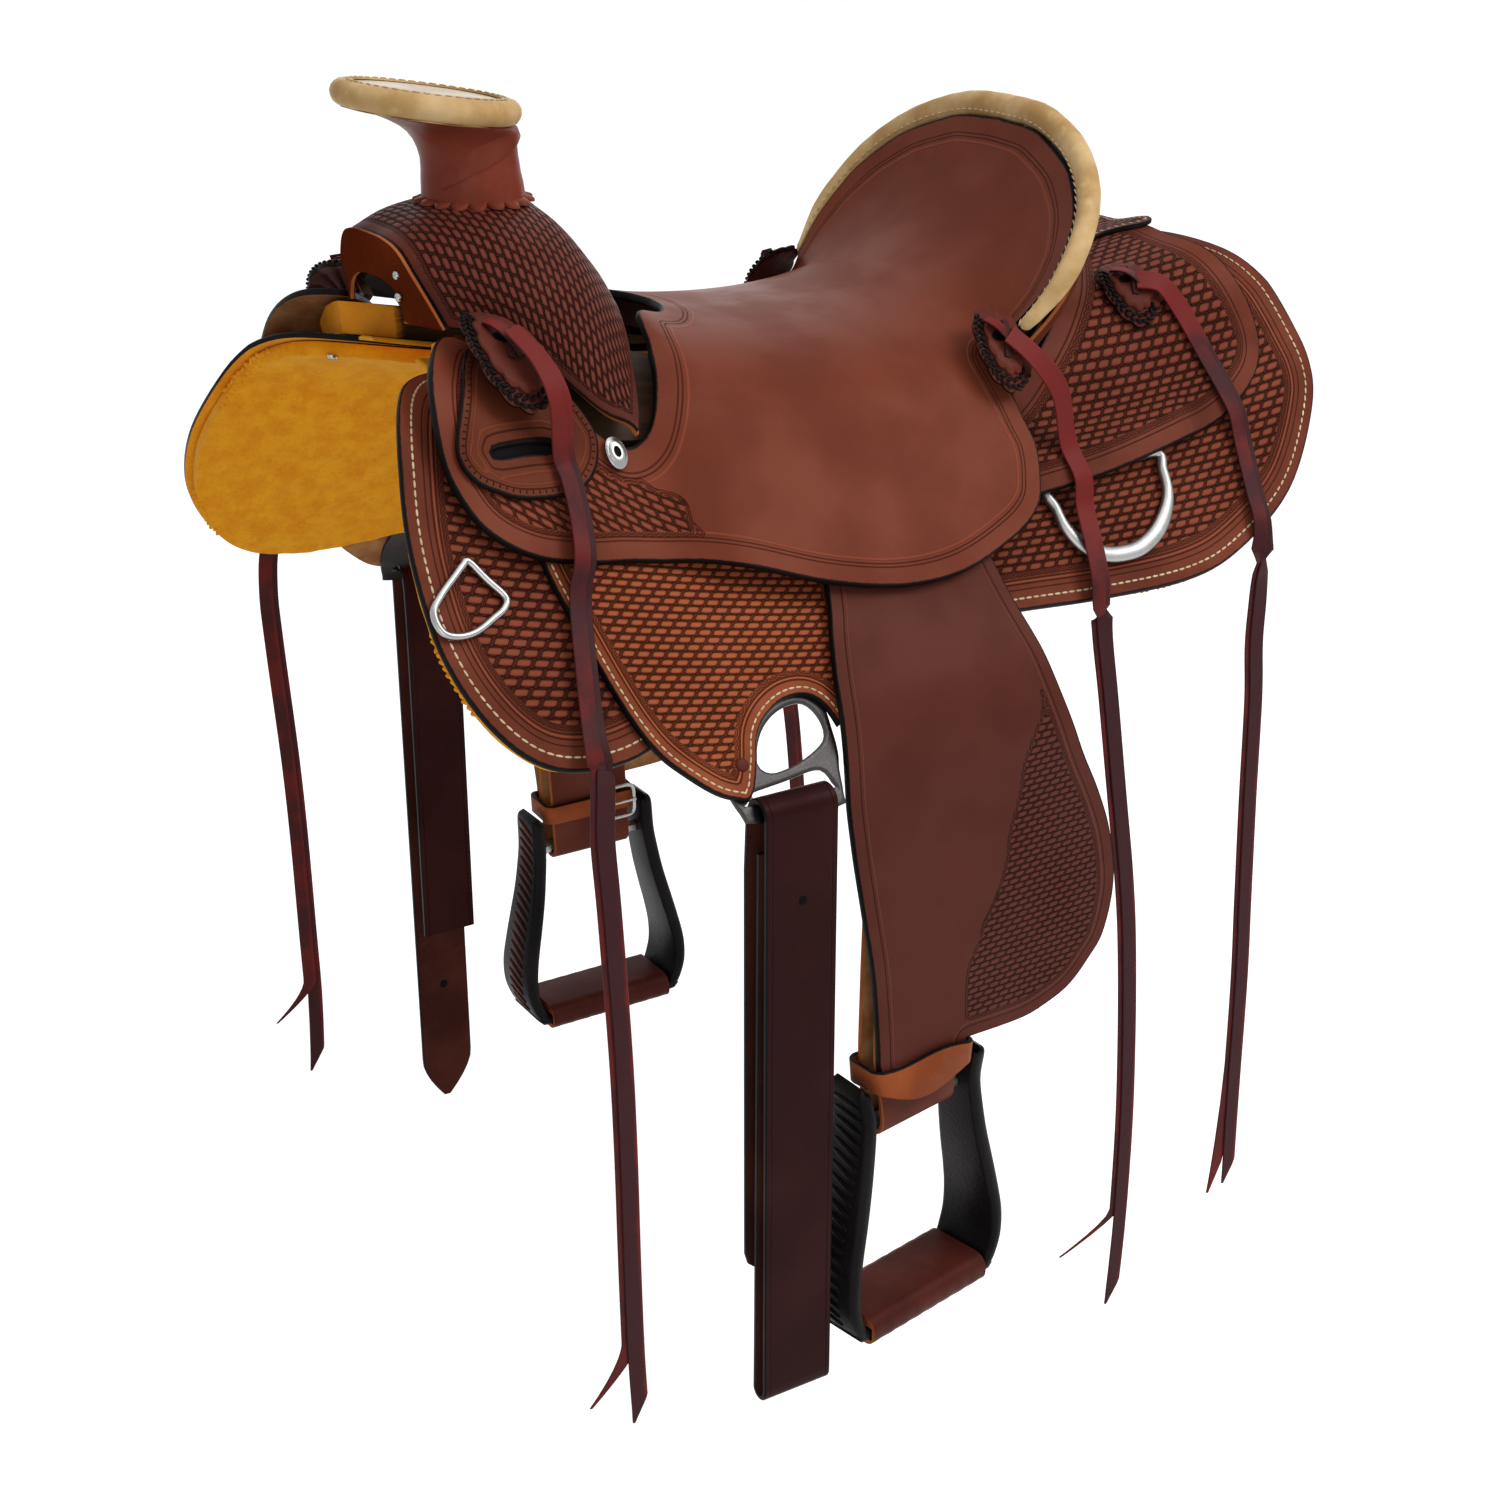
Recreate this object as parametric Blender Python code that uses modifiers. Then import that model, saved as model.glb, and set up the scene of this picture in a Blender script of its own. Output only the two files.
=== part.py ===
"""A western ranch saddle on its rack. Front (the horse's head) at -X, near side at -Y, up +Z. Z = 0 is the top of the rack under the seat.

Sizes below are millimetres; place() turns them into metres. Leather pieces are flat patterns, (x along the horse, t down the side), laid on a surface.
"""

import math

import bmesh
import bpy
from mathutils import Vector

for old in list(bpy.data.objects):
    bpy.data.objects.remove(old)

# Main sizes. A saddle is sold by its seat, so every other length follows SEAT, and the patterns below are drawn for a
# seat of DRAWN_SEAT.
SEAT = 381.0
DRAWN_SEAT = 381.0
MM = 0.001 * SEAT / DRAWN_SEAT

# Thicknesses of the hides and pads, and the air between two that only touch.
WOOL = 10.0
SKIRT_THICK = 4.0
SEAT_THICK = 4.5
STRAP_THICK = 3.6
LATIGO_THICK = 3.4
FENDER_THICK = 3.8
JOCKEY_THICK = 4.0
STRING_WIDTH, STRING_THICK = 15.0, 3.4
PLATE_THICK = 2.4
AIR = 1.0

# Straps, horn and stirrups.
LATIGO_WIDTH, BILLET_WIDTH = 50.5, 43.0
LEATHER_WIDTH = 68.0
HORN_CAP_RADIUS = 57.0
HORN_TILT = 9.0
STIRRUP_BOLT_RADIUS = 5.0
DEE_WIRE = 2.3
BUCKLE_WIRE = 1.9

NEAR, OFF = -1, 1
SIDES = (("near", NEAR), ("off", OFF))

parts = bpy.data.collections.new("western_ranch_saddle")
helpers = bpy.data.collections.new("saddle_pivots")
for made in (parts, helpers):
    bpy.context.scene.collection.children.link(made)

# Finish of each piece, by the first words of its name: colour as a screen shows it, roughness, metallic.
FINISHES = {
    "skirt_fleece": ((236, 168, 36), 0.95, 0.0),
    "skirt": ((106, 56, 44), 0.42, 0.0),
    "tree_bar": ((190, 150, 104), 0.6, 0.0),
    "seat_leather": ((118, 58, 38), 0.34, 0.0),
    "ground_seat": ((96, 52, 36), 0.6, 0.0),
    "cantle_back": ((120, 60, 40), 0.4, 0.0),
    "cantle_core": ((40, 28, 24), 0.7, 0.0),
    "cantle_binding": ((214, 178, 118), 0.5, 0.0),
    "rear_jockey": ((108, 56, 44), 0.42, 0.0),
    "rear_joiner": ((108, 56, 44), 0.42, 0.0),
    "swell_cover": ((100, 52, 44), 0.42, 0.0),
    "fork": ((60, 42, 34), 0.7, 0.0),
    "gullet_lining": ((130, 68, 46), 0.45, 0.0),
    "horn_wrap": ((116, 52, 40), 0.38, 0.0),
    "horn_cap_binding": ((214, 178, 118), 0.5, 0.0),
    "horn_cap": ((222, 200, 160), 0.4, 0.0),
    "rigging_leather": ((138, 76, 48), 0.42, 0.0),
    "rigging_plate": ((150, 150, 148), 0.3, 1.0),
    "near_latigo": ((52, 22, 26), 0.38, 0.0),
    "off_billet": ((52, 22, 26), 0.38, 0.0),
    "fender": ((92, 50, 42), 0.42, 0.0),
    "stirrup_leather": ((104, 56, 42), 0.5, 0.0),
    "hobble_strap": ((170, 94, 50), 0.45, 0.0),
    "hobble_buckle": ((196, 196, 192), 0.25, 1.0),
    "stirrup_tread": ((116, 56, 44), 0.38, 0.0),
    "stirrup_bolt": ((150, 150, 148), 0.35, 1.0),
    "stirrup": ((34, 31, 32), 0.4, 0.0),
    "front_dee": ((200, 200, 198), 0.25, 1.0),
    "rear_dee": ((176, 176, 174), 0.32, 1.0),
    "latigo_keeper": ((112, 58, 40), 0.42, 0.0),
    "rosette": ((62, 34, 34), 0.45, 0.0),
    "concho": ((205, 205, 200), 0.25, 1.0),
    "string": ((78, 38, 42), 0.55, 0.0),
}


def finish(name):
    """The piece's own material, from the longest name in FINISHES that its name starts with."""
    key = max((k for k in FINISHES if name.startswith(k)), key=len)
    colour, rough, metal = FINISHES[key]
    made = bpy.data.materials.new(name)
    made.use_nodes = True
    shader = made.node_tree.nodes["Principled BSDF"]
    linear = [c / 255 / 12.92 if c < 10.3 else ((c / 255 + 0.055) / 1.055) ** 2.4 for c in colour]
    shader.inputs["Base Color"].default_value = (*linear, 1.0)
    shader.inputs["Roughness"].default_value = rough
    shader.inputs["Metallic"].default_value = metal
    made.diffuse_color = (*linear, 1.0)
    return made


def keep(obj, sharp=38):
    """Puts a finished object in the saddle's collection, with its material, and shades its round faces smooth."""
    for other in list(obj.users_collection):
        other.objects.unlink(obj)
    parts.objects.link(obj)
    obj.data.materials.clear()
    obj.data.materials.append(finish(obj.name))
    if obj.type == "MESH":
        obj.data.shade_smooth()
        obj.data.set_sharp_from_angle(angle=math.radians(sharp))
    return obj


def ease(a, b, v):
    q = min(1.0, max(0.0, (v - a) / (b - a)))
    return q * q * (3 - 2 * q)


class Profile:
    """A curve in the YZ plane, bending outwards and down, from knots of (length along it, degrees below level)."""

    def __init__(self, knots, y=0.0, z=0.0):
        self.rows = []
        for (s0, a0), (s1, a1) in zip(knots, knots[1:]):
            a0, a1 = math.radians(a0), math.radians(a1)
            self.rows.append((s0, a0, (a1 - a0) / (s1 - s0), y, z))
            y, z, _ = self.step(self.rows[-1], s1)

    def step(self, row, s):
        s0, a0, k, y, z = row
        a = a0 + k * (s - s0)
        if abs(k) < 1e-7:
            return y + math.cos(a) * (s - s0), z - math.sin(a) * (s - s0), a
        return y + (math.sin(a) - math.sin(a0)) / k, z + (math.cos(a) - math.cos(a0)) / k, a

    def at(self, s):
        row = self.rows[0]
        for other in self.rows:
            if other[0] <= s:
                row = other
        return self.step(row, s)


BACK = Profile([(0, 0), (40, 9), (72, 14), (138, 53), (420, 53)])


def rocker(x):
    """The back rises towards the withers and the loins."""
    return (0.0004 if x < 30 else 0.0005) * (x - 30) ** 2


def fade(t):
    return 1 - 0.65 * min(1.0, max(0.0, (t - 111) / 189))


def bump(t):
    """How far the tree bar lifts what lies over it."""
    return 22 * (1 - ease(80, 140, t)) - 12 * (1 - ease(0, 48, t))


def drape(x, t, h, side=NEAR):
    y, z, a = BACK.at(abs(t))
    return Vector((x, side * (y + h * math.sin(a)), z + h * math.cos(a) + rocker(x) * fade(abs(t))))


def drape_on(side):
    return lambda x, t, h: drape(x, t, h, side)


def across(x, t, h):
    """The same surface with t signed: negative on the near side."""
    return drape(x, t, h, NEAR if t < 0 else OFF)


START = BACK.at(138)
HANG = Profile(
    [(118, 53), (275, 53), (340, 90), (900, 90)],
    START[0] + 21.1 * math.sin(START[2]) - 20 * math.cos(START[2]),
    START[1] + 21.1 * math.cos(START[2]) + 20 * math.sin(START[2]) + 1,
)


def laid_on(profile, side):
    def at(x, s, h):
        y, z, a = profile.at(s)
        return Vector((x, side * (y + h * math.sin(a)), z + h * math.cos(a)))

    return at


def place(name, points, faces):
    """A mesh object from millimetres, turned to face out."""
    volume = 0.0
    for face in faces:
        for b, c in zip(face[1:], face[2:]):
            volume += points[face[0]].dot(points[b].cross(points[c]))
    if volume < 0:
        faces = [face[::-1] for face in faces]
    mesh = bpy.data.meshes.new(name)
    mesh.from_pydata([tuple(p * MM) for p in points], [], faces)
    return keep(bpy.data.objects.new(name, mesh))


def curve(points, n=2, closed=True):
    """Points joined by a smooth curve. A third value of 1 makes a corner."""
    count = len(points)
    found = []
    for i in range(count if closed else count - 1):
        p1, p2 = points[i], points[(i + 1) % count]
        p0 = p1 if len(p1) > 2 else points[i - 1] if closed or i else p1
        p3 = p2 if len(p2) > 2 else points[(i + 2) % count] if closed or i + 2 < count else p2
        for k in range(n):
            u = k / n
            found.append(
                tuple(
                    0.5 * (2 * b + (c - a) * u + (2 * a - 5 * b + 4 * c - d) * u * u + (3 * b - a - 3 * c + d) * u**3)
                    for a, b, c, d in zip(p0[:2], p1[:2], p2[:2], p3[:2])
                )
            )
    return found if closed else found + [tuple(points[-1][:2])]


XS = [64.0 * k for k in range(-5, 6)]
TS = [0, 25, 50, 72, 85, 98, 111, 124, 138, 195, 265]


def flat(loops, xs, ts):
    """The flat pattern inside loops[0] and outside the others, cut on the lines xs and ts: points and triangles."""
    bm = bmesh.new()
    for loop in loops:
        ring = [bm.verts.new((x, t, 0)) for x, t in loop]
        if len(loops) == 1:
            bm.faces.new(ring)
        else:
            for a, b in zip(ring, ring[1:] + ring[:1]):
                bm.edges.new((a, b))
    if len(loops) > 1:
        bmesh.ops.triangle_fill(bm, use_beauty=True, edges=bm.edges[:])
    for axis, lines in ((0, xs), (1, ts)):
        for line in lines:
            at, to = Vector((0, 0, 0)), Vector((0, 0, 0))
            at[axis], to[axis] = line, 1
            every = bm.verts[:] + bm.edges[:] + bm.faces[:]
            bmesh.ops.bisect_plane(bm, geom=every, dist=0.02, plane_co=at, plane_no=to)
    bmesh.ops.remove_doubles(bm, verts=bm.verts[:], dist=0.02)
    bmesh.ops.triangulate(bm, faces=bm.faces[:])
    bmesh.ops.recalc_face_normals(bm, faces=bm.faces[:])
    bm.verts.index_update()
    points = [(v.co.x, v.co.y) for v in bm.verts]
    faces = [[v.index for v in f.verts] for f in bm.faces]
    bm.free()
    return points, faces


def walled(faces, n):
    """Faces over points 0..n-1, the same turned round over n..2n-1, and the walls between their edges."""
    edges = {(a, b) for f in faces for a, b in zip(f, f[1:] + f[:1])}
    walls = [[b, a, a + n, b + n] for a, b in edges if (b, a) not in edges]
    return faces + [[i + n for i in reversed(f)] for f in faces] + walls


def sheet(name, loops, at, low, high, xs=XS, ts=TS):
    """A leather piece: its pattern laid by at(x, t, h) between the heights low and high."""
    if isinstance(loops[0][0], (int, float)):
        loops = [loops]
    points, faces = flat(loops, xs, ts)
    low_at = low if callable(low) else lambda x, t: low
    high_at = high if callable(high) else lambda x, t: high
    solid = [at(x, t, high_at(x, t)) for x, t in points] + [at(x, t, low_at(x, t)) for x, t in points]
    return place(name, solid, walled(faces, len(points)))


def skin(name, points, faces, start, thick):
    """A shell under a surface of 3-D points: from start to start + thick beneath it, along the points' normals."""
    normals = [Vector((0, 0, 0)) for _ in points]
    for f in faces:
        for b, c in zip(f[1:], f[2:]):
            n = (points[b] - points[f[0]]).cross(points[c] - points[f[0]])
            for i in (f[0], b, c):
                normals[i] += n
    normals = [n.normalized() for n in normals]
    solid = [p - n * start for p, n in zip(points, normals)] + [p - n * (start + thick) for p, n in zip(points, normals)]
    return place(name, solid, walled(faces, len(points)))


def grid_faces(rows, cols):
    return [
        f
        for r in range(rows - 1)
        for c in range(cols - 1)
        for f in (
            [r * cols + c, r * cols + c + 1, (r + 1) * cols + c + 1],
            [r * cols + c, (r + 1) * cols + c + 1, (r + 1) * cols + c],
        )
    ]


def loft(name, rings, ends=True):
    """Rings of the same count joined in order, closed by end caps, or round into a loop."""
    count = len(rings[0])
    points = [Vector(p) for ring in rings for p in ring]
    faces = []
    last = len(rings) - 1 if ends else len(rings)
    for r in range(last):
        for c in range(count):
            a, b = r * count + c, r * count + (c + 1) % count
            q = ((r + 1) % len(rings)) * count
            faces.append([a, b, q + (c + 1) % count, q + c])
    if ends:
        faces.append(list(range(count))[::-1])
        faces.append([(len(rings) - 1) * count + c for c in range(count)])
    return place(name, points, faces)


def wire(name, path, radii, up, closed=False, n=8):
    """A round bar along points. up stays near the bar's side; radii is one radius or (across, along up) per point."""
    rings = []
    for i, p in enumerate(path):
        before = path[i - 1] if closed or i else path[i]
        after = path[(i + 1) % len(path)] if closed or i + 1 < len(path) else path[i]
        along = (after - before).normalized()
        out = up(p) if callable(up) else up
        across_ = along.cross(out).normalized()
        out = across_.cross(along).normalized()
        ra, rb = radii[i] if isinstance(radii, list) else radii if isinstance(radii, tuple) else (radii, radii)
        rings.append([p + across_ * ra * math.cos(v) + out * rb * math.sin(v) for v in (2 * math.pi * k / n for k in range(n))])
    return loft(name, rings, ends=not closed)


def both(points):
    """A pattern drawn for t > 0 from the middle line round to the middle line, and its mirror."""
    return [(x, -t) for x, t in points] + [(x, t) for x, t in reversed(points) if abs(t) > 0.01]


# Skirts and their sheepskin.
SKIRT = [
    (332, 4, 1), (347, 60), (357, 123), (364, 162), (354, 191), (316, 230), (260, 254), (213, 261), (139, 256), (61, 249),
    (-40, 248), (-110, 256), (-165, 272), (-218, 293), (-258, 296), (-286, 286), (-308, 261), (-321, 227), (-323, 186),
    (-318, 149), (-307, 113), (-289, 80), (-262, 55), (-225, 42), (-150, 34, 1), (180, 34, 1), (225, 20), (250, 4, 1),
]
FLEECE = [
    (328, 7, 1), (343, 60), (353, 123), (360, 161), (350, 189), (314, 227), (259, 251), (213, 258), (139, 253), (61, 246),
    (-40, 245), (-110, 253), (-165, 269), (-218, 290), (-257, 293), (-284, 283), (-305, 259), (-317, 226), (-319, 186),
    (-314, 151), (-303, 116), (-286, 83), (-260, 59), (-225, 46), (-150, 38, 1), (180, 38, 1), (226, 24), (251, 7, 1),
]
BAR = [(285, 32), (290, 75), (278, 110), (250, 118), (60, 112), (-60, 112), (-235, 118), (-258, 100), (-262, 62), (-235, 40), (-60, 34), (220, 32)]


def flared(points):
    """The off skirt's front corner hangs a little further forward and higher than the near one's."""
    found = []
    for x, t, *corner in points:
        k = ease(-150, -250, x)
        found.append((x - 12 * k * ease(95, 200, t), t - 13 * k * ease(170, 290, t), *corner))
    return found


for label, side in SIDES:
    shaped = flared if side == OFF else list
    sheet(f"skirt_fleece_{label}", curve(shaped(FLEECE)), drape_on(side), 0.0, WOOL)
    sheet(f"skirt_{label}", curve(shaped(SKIRT)), drape_on(side), WOOL + AIR, WOOL + AIR + SKIRT_THICK)
    sheet(f"tree_bar_{label}", curve(BAR, 1), drape_on(side), 15.8,
          lambda x, t: 15.3 + bump(t) * (0.95 - 0.65 * ease(-140, -110, x) * ease(135, 110, x)))


# Seat: one surface over the side jockeys, the ground seat and the dish of the cantle.
CENTRE = [(-118, 68), (-90, 58.5), (-50, 50.5), (0, 45.5), (40, 45), (75, 49), (105, 57)]
RIM_YZ = [(0, 165), (37, 163.5), (69, 156), (96, 145), (119, 129.5), (135, 111), (144, 88), (145, 73), (139, 55), (131, 40)]
END_X, END_T, RAWHIDE = 105.0, 98.0, 18.5


def over(knots, v):
    """Smooth height over knots of (place, height)."""
    v = min(knots[-1][0], max(knots[0][0], v))
    for i, (a, b) in enumerate(zip(knots, knots[1:])):
        if v <= b[0]:
            before = knots[max(0, i - 1)]
            after = knots[min(len(knots) - 1, i + 2)]
            m0 = (b[1] - before[1]) / (b[0] - before[0])
            m1 = (after[1] - a[1]) / (after[0] - a[0])
            w = b[0] - a[0]
            u = (v - a[0]) / w
            return (
                (2 * u**3 - 3 * u * u + 1) * a[1] + (u**3 - 2 * u * u + u) * w * m0
                + (3 * u * u - 2 * u**3) * b[1] + (u**3 - u * u) * w * m1
            )
    return knots[-1][1]


def seat_h(x, t):
    """Height of the seat leather's top over the back: low at the front, higher where the fender hangs under it."""
    return 26.0 + 12.6 * ease(-175, -105, x) + 0.85 * bump(t)


def seat_low(x, t):
    """The seat leather's top for x up to the ends of the cantle."""
    side, t = (NEAR if t < 0 else OFF), abs(t)
    plain = drape(x, t, seat_h(x, t), side)
    crown = ease(-152, -112, x)
    if t >= 125 or crown == 0:
        return plain
    low = drape(x, 125, seat_h(x, 125), side)
    slope = (drape(x, 124, seat_h(x, 124), side) - drape(x, 126, seat_h(x, 126), side)).normalized()
    top = Vector((x, 0, over(CENTRE, x)))
    a, b, c, d = top, Vector((x, low.y * 0.5, top.z)), low + slope * 44, low
    u = t / 125
    p = a * (1 - u) ** 3 + b * 3 * u * (1 - u) ** 2 + c * 3 * u * u * (1 - u) + d * u**3
    return plain.lerp(p, crown)


def rim(f):
    """The cantle's outer edge: f runs from -1 at the near end over the top at 0 to 1 at the off end."""
    knots = [(y, z) for y, z in RIM_YZ] + [(abs(seat_low(END_X, END_T).y), seat_low(END_X, END_T).z)]
    length = [0.0]
    for a, b in zip(knots, knots[1:]):
        length.append(length[-1] + math.dist(a, b))
    s = abs(f) * length[-1]
    y = over([(q, k[0]) for q, k in zip(length, knots)], s)
    z = over([(q, k[1]) for q, k in zip(length, knots)], s)
    x = 105.3 + 0.8625 * (z - 25) - 0.000946 * (z - 25) ** 2
    return Vector((x, y if f >= 0 else -y, z))


def dish_depth(f):
    return 150.0 * math.sqrt(max(0.0, 1 - f * f))


def dish(f, v, edge):
    """The dish's surface: v = 0 at the seat, 1 at edge mm inside the rim."""
    foot = seat_low(END_X, f * END_T)
    top = rim(f)
    mid = Vector((foot.x + 0.62 * (top.x - foot.x), foot.y + 0.45 * (top.y - foot.y), foot.z + 0.16 * (top.z - foot.z)))
    span = (top - mid).length
    v = v * (1 - edge / max(2.2 * edge, 2.0 * span))
    return foot * (1 - v) ** 2 + mid * 2 * v * (1 - v) + top * v * v


def seat_top(x, t):
    if x <= END_X or abs(t) >= END_T:
        return seat_low(x, t)
    f = t / END_T
    deep = dish_depth(f)
    return dish(f, min(1.0, (x - END_X) / deep) if deep > 1 else 0.0, RAWHIDE)


SEAT_SIDE = [
    (-77, 0), (-80, 12), (-93, 25), (-112, 30), (-121, 45), (-130, 72), (-141, 98), (-153, 116), (-170, 123), (-186, 117),
    (-213, 97), (-238, 78), (-252, 66), (-268, 76), (-285, 99), (-291, 125), (-288, 147), (-276, 168), (-250, 182),
    (-215, 186), (-186, 186), (-147, 190), (-109, 201), (-65, 215), (-16, 224), (30, 222), (76, 207), (99, 193),
    (109, 176), (115, 153), (112, 132), (107, 113), (105.5, 98.5),
]
DISH_EDGE = [(END_X + dish_depth(f), f * END_T) for f in (0.985, 0.94, 0.86, 0.74, 0.6, 0.42, 0.2, 0.0)]
SEAT_T = [s * t for t in (25, 50, 72, 85, 98, 111, 124, 138, 165, 195) for s in (-1, 1)] + [0]
points, faces = flat([both(SEAT_SIDE + DISH_EDGE)], [-240, -192, -150, -130, -112, -72, -36, 0, 36, 72, 105, 130, 160, 195, 228], SEAT_T)
surface = [seat_top(x, t) for x, t in points]
skin("seat_leather", surface, faces, 0.0, SEAT_THICK)
GROUND = [(-72, 0), (-75, 30), (-90, 50), (-95, 66), (-40, 82), (40, 84), (88, 74), (100, 40), (102, 0)]
points, faces = flat([both(GROUND)], [-72, -36, 0, 36, 72], SEAT_T)
skin("ground_seat", [seat_low(x, t) for x, t in points], faces, 5.8, 15.4)


# Cantle: core, back leather, rawhide binding.
FOOT_LINE = [(0, 229, 0), (0.25, 222, 34), (0.5, 203, 62), (0.72, 172, 84), (0.88, 142, 99), (1.0, 121, 108)]


def foot_line(f):
    x = over([(k[0], k[1]) for k in FOOT_LINE], abs(f))
    t = over([(k[0], k[2]) for k in FOOT_LINE], abs(f))
    return across(x, t if f >= 0 else -t, 22.4 + bump(t))


def rim_out(f):
    """Unit vectors at the rim: into the dish, and out of its face."""
    top = rim(f)
    inward = (dish(f, 0.86, RAWHIDE) - top).normalized()
    along = (rim(min(1, f + 0.02)) - rim(max(-1, f - 0.02))).normalized()
    face = along.cross(inward).normalized()
    return inward, (face if face.x < 0 else -face)


def cantle_back(f, v):
    """The outside of the cantle's back: v = 0 at the rear jockey, 1 under the rawhide."""
    inward, face = rim_out(f)
    edge = rim(f) + inward * 20.5 - face * 13.5
    out = Vector((1, 0.25 * (1 if f > 0 else -1) * min(1, abs(f) * 3), 0)) * 5 * math.sin(math.pi * v)
    return foot_line(f).lerp(edge, v) + out


FS = [0.92 * f for f in (-1, -0.93, -0.84, -0.72, -0.58, -0.43, -0.22, 0, 0.22, 0.43, 0.58, 0.72, 0.84, 0.93, 1)]
VS = [0.0, 0.25, 0.5, 0.75, 1.0]
back = [cantle_back(f, v) for v in VS for f in FS]
faces = grid_faces(len(VS), len(FS))
skin("cantle_back", back, [f[::-1] for f in faces], 0.0, 3.5)


def moved(points, faces, by):
    """The points pushed along their normals."""
    normals = [Vector((0, 0, 0)) for _ in points]
    for f in faces:
        n = (points[f[1]] - points[f[0]]).cross(points[f[2]] - points[f[0]])
        for i in f:
            normals[i] += n
    return [p + n.normalized() * by for p, n in zip(points, normals)]


CORE_V = [0.10, 0.3, 0.5, 0.7, 0.9]
CORE_F = [0.93 * f for f in FS]
front = moved([dish(f, v, RAWHIDE) for v in CORE_V for f in CORE_F], faces, 5.9)
rear = moved([cantle_back(f, v) for v in CORE_V for f in CORE_F], faces, -4.4)
if (front[40] - dish(CORE_F[10], CORE_V[2], RAWHIDE)).x < 0:
    front = moved([dish(f, v, RAWHIDE) for v in CORE_V for f in CORE_F], faces, -5.9)
    rear = moved([cantle_back(f, v) for v in CORE_V for f in CORE_F], faces, 4.4)
place("cantle_core", front + rear, walled(faces, len(front)))


rings = []
for k in range(-14, 15):
    f = math.copysign(abs(k / 14) ** 0.92, k) * 0.873 if k else 0.0
    inward, face = rim_out(f)
    thin = 1.0 - 0.52 * ease(0.70, 0.93, abs(f))
    mid = rim(f) + inward * 8.9 * thin - face * 5.6
    rings.append([mid + inward * 8.9 * thin * math.cos(v) + face * 8.0 * thin * math.sin(v) for v in (2 * math.pi * q / 10 for q in range(10))])
loft("cantle_binding", rings)


# Rear jockeys and the piece that joins them.
def rear_h(x, t):
    return 16.3 + bump(t) + 9.5 * ease(128, 168, t) * ease(90, 115, x) * ease(262, 236, x)


REAR = [
    (240, 4, 1), (290, 4, 1), (297, 30), (300, 62), (316, 100), (326, 130), (318, 152), (296, 166), (268, 174), (211, 179), (158, 182),
    (84, 183, 1), (84, 134, 1), (110, 122), (128, 114), (148, 103), (177, 86), (208, 62), (228, 32),
]
for label, side in SIDES:
    sheet(f"rear_jockey_{label}", curve(REAR), drape_on(side), rear_h, lambda x, t: rear_h(x, t) + JOCKEY_THICK,
          xs=[96, 114, 144, 192, 238, 263, 288], ts=[25, 50, 72, 85, 98, 111, 124, 138, 152, 168])
JOIN = [(240, 0), (243, 22), (252, 34), (270, 30), (292, 44), (303, 40), (300, 18), (304, 0)]
sheet("rear_joiner", both(JOIN), across, lambda x, t: 20.9 + bump(abs(t)), lambda x, t: 24.0 + bump(abs(t)), xs=[], ts=[-25, 0, 25])


# Fork: arches from the front edge to the rear edge, each from the top (y = 0) to the near bottom.
ARCHES = [
    [(-266, 0, 117), (-266, 20, 116.5), (-265, 38, 112), (-262, 52, 99), (-256, 61, 83), (-250, 65, 69)],
    [(-240, 0, 129), (-240, 26, 126.5), (-238, 50, 117), (-234, 70, 97), (-229, 79, 79), (-225, 85, 65)],
    [(-200, 0, 133), (-200, 32, 129), (-200, 62, 115), (-202, 87, 90), (-205, 102, 67), (-207, 109, 50)],
    [(-163, 0, 127), (-164, 36, 119), (-168, 72, 100), (-176, 103, 73), (-183, 123, 46), (-186, 133, 27)],
    [(-138, 0, 97), (-139, 38, 92), (-147, 76, 76), (-157, 108, 51), (-166, 130, 30), (-170, 140, 18)],
    [(-119, 0, 69), (-122, 36, 66), (-133, 72, 54), (-146, 104, 37), (-158, 131, 22), (-165, 143, 12)],
]


def arch(knots, n):
    """An arch as n points from the near bottom over the top to the off bottom."""
    found = []
    for k in range(n):
        f = abs(2 * k / (n - 1) - 1)
        p = [over([(i / 5, knot[axis]) for i, knot in enumerate(knots)], f) for axis in range(3)]
        found.append(Vector((p[0], p[1] * (-1 if k < (n - 1) / 2 else 1), p[2])))
    return found


COLS = 17
cover = [p for knots in ARCHES for p in arch(knots, COLS)]
faces = grid_faces(len(ARCHES), COLS)
faces = [f[::-1] for f in faces]
skin("swell_cover", cover, faces, 0.0, 4.0)


def on_bar(x, y, h):
    """Height of the layer h over the bar, straight above a place."""
    t = 0.0
    while drape(x, t, h + bump(max(48, t)), OFF).y < abs(y) and t < 200:
        t += 1
    return drape(x, t, h + bump(max(48, t)), OFF).z


outer, inner = [], []
for row, knots in enumerate(ARCHES[:5]):
    crown, foot = knots[0][2], knots[-1]
    for k, p in enumerate(arch(knots, COLS)):
        f = abs(2 * k / (COLS - 1) - 1)
        q = p + (Vector((p.x, 0, foot[2] - 10)) - p).normalized() * 7.6
        q.x = min(-150.0, max(-257.0, p.x))
        outer.append(q)
        y_in = p.y * 0.6
        low = on_bar(q.x, y_in, 18.4)
        inner.append(Vector((q.x, y_in, low + max(2.0, min(24.0, crown - 26 - low)) * (1 - f**2.4))))
place("fork", outer + inner, walled(grid_faces(5, COLS), len(outer)))
lining = []
for depth in (0.0, 0.5, 1.0):
    for k, p in enumerate(arch(ARCHES[0], COLS)):
        q = inner[k]
        lining.append(Vector((p.x - 0.6, p.y, p.z)).lerp(Vector((-263.5, q.y, q.z)), depth))
skin("gullet_lining", lining, grid_faces(3, COLS), -3.6, 3.4)


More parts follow.
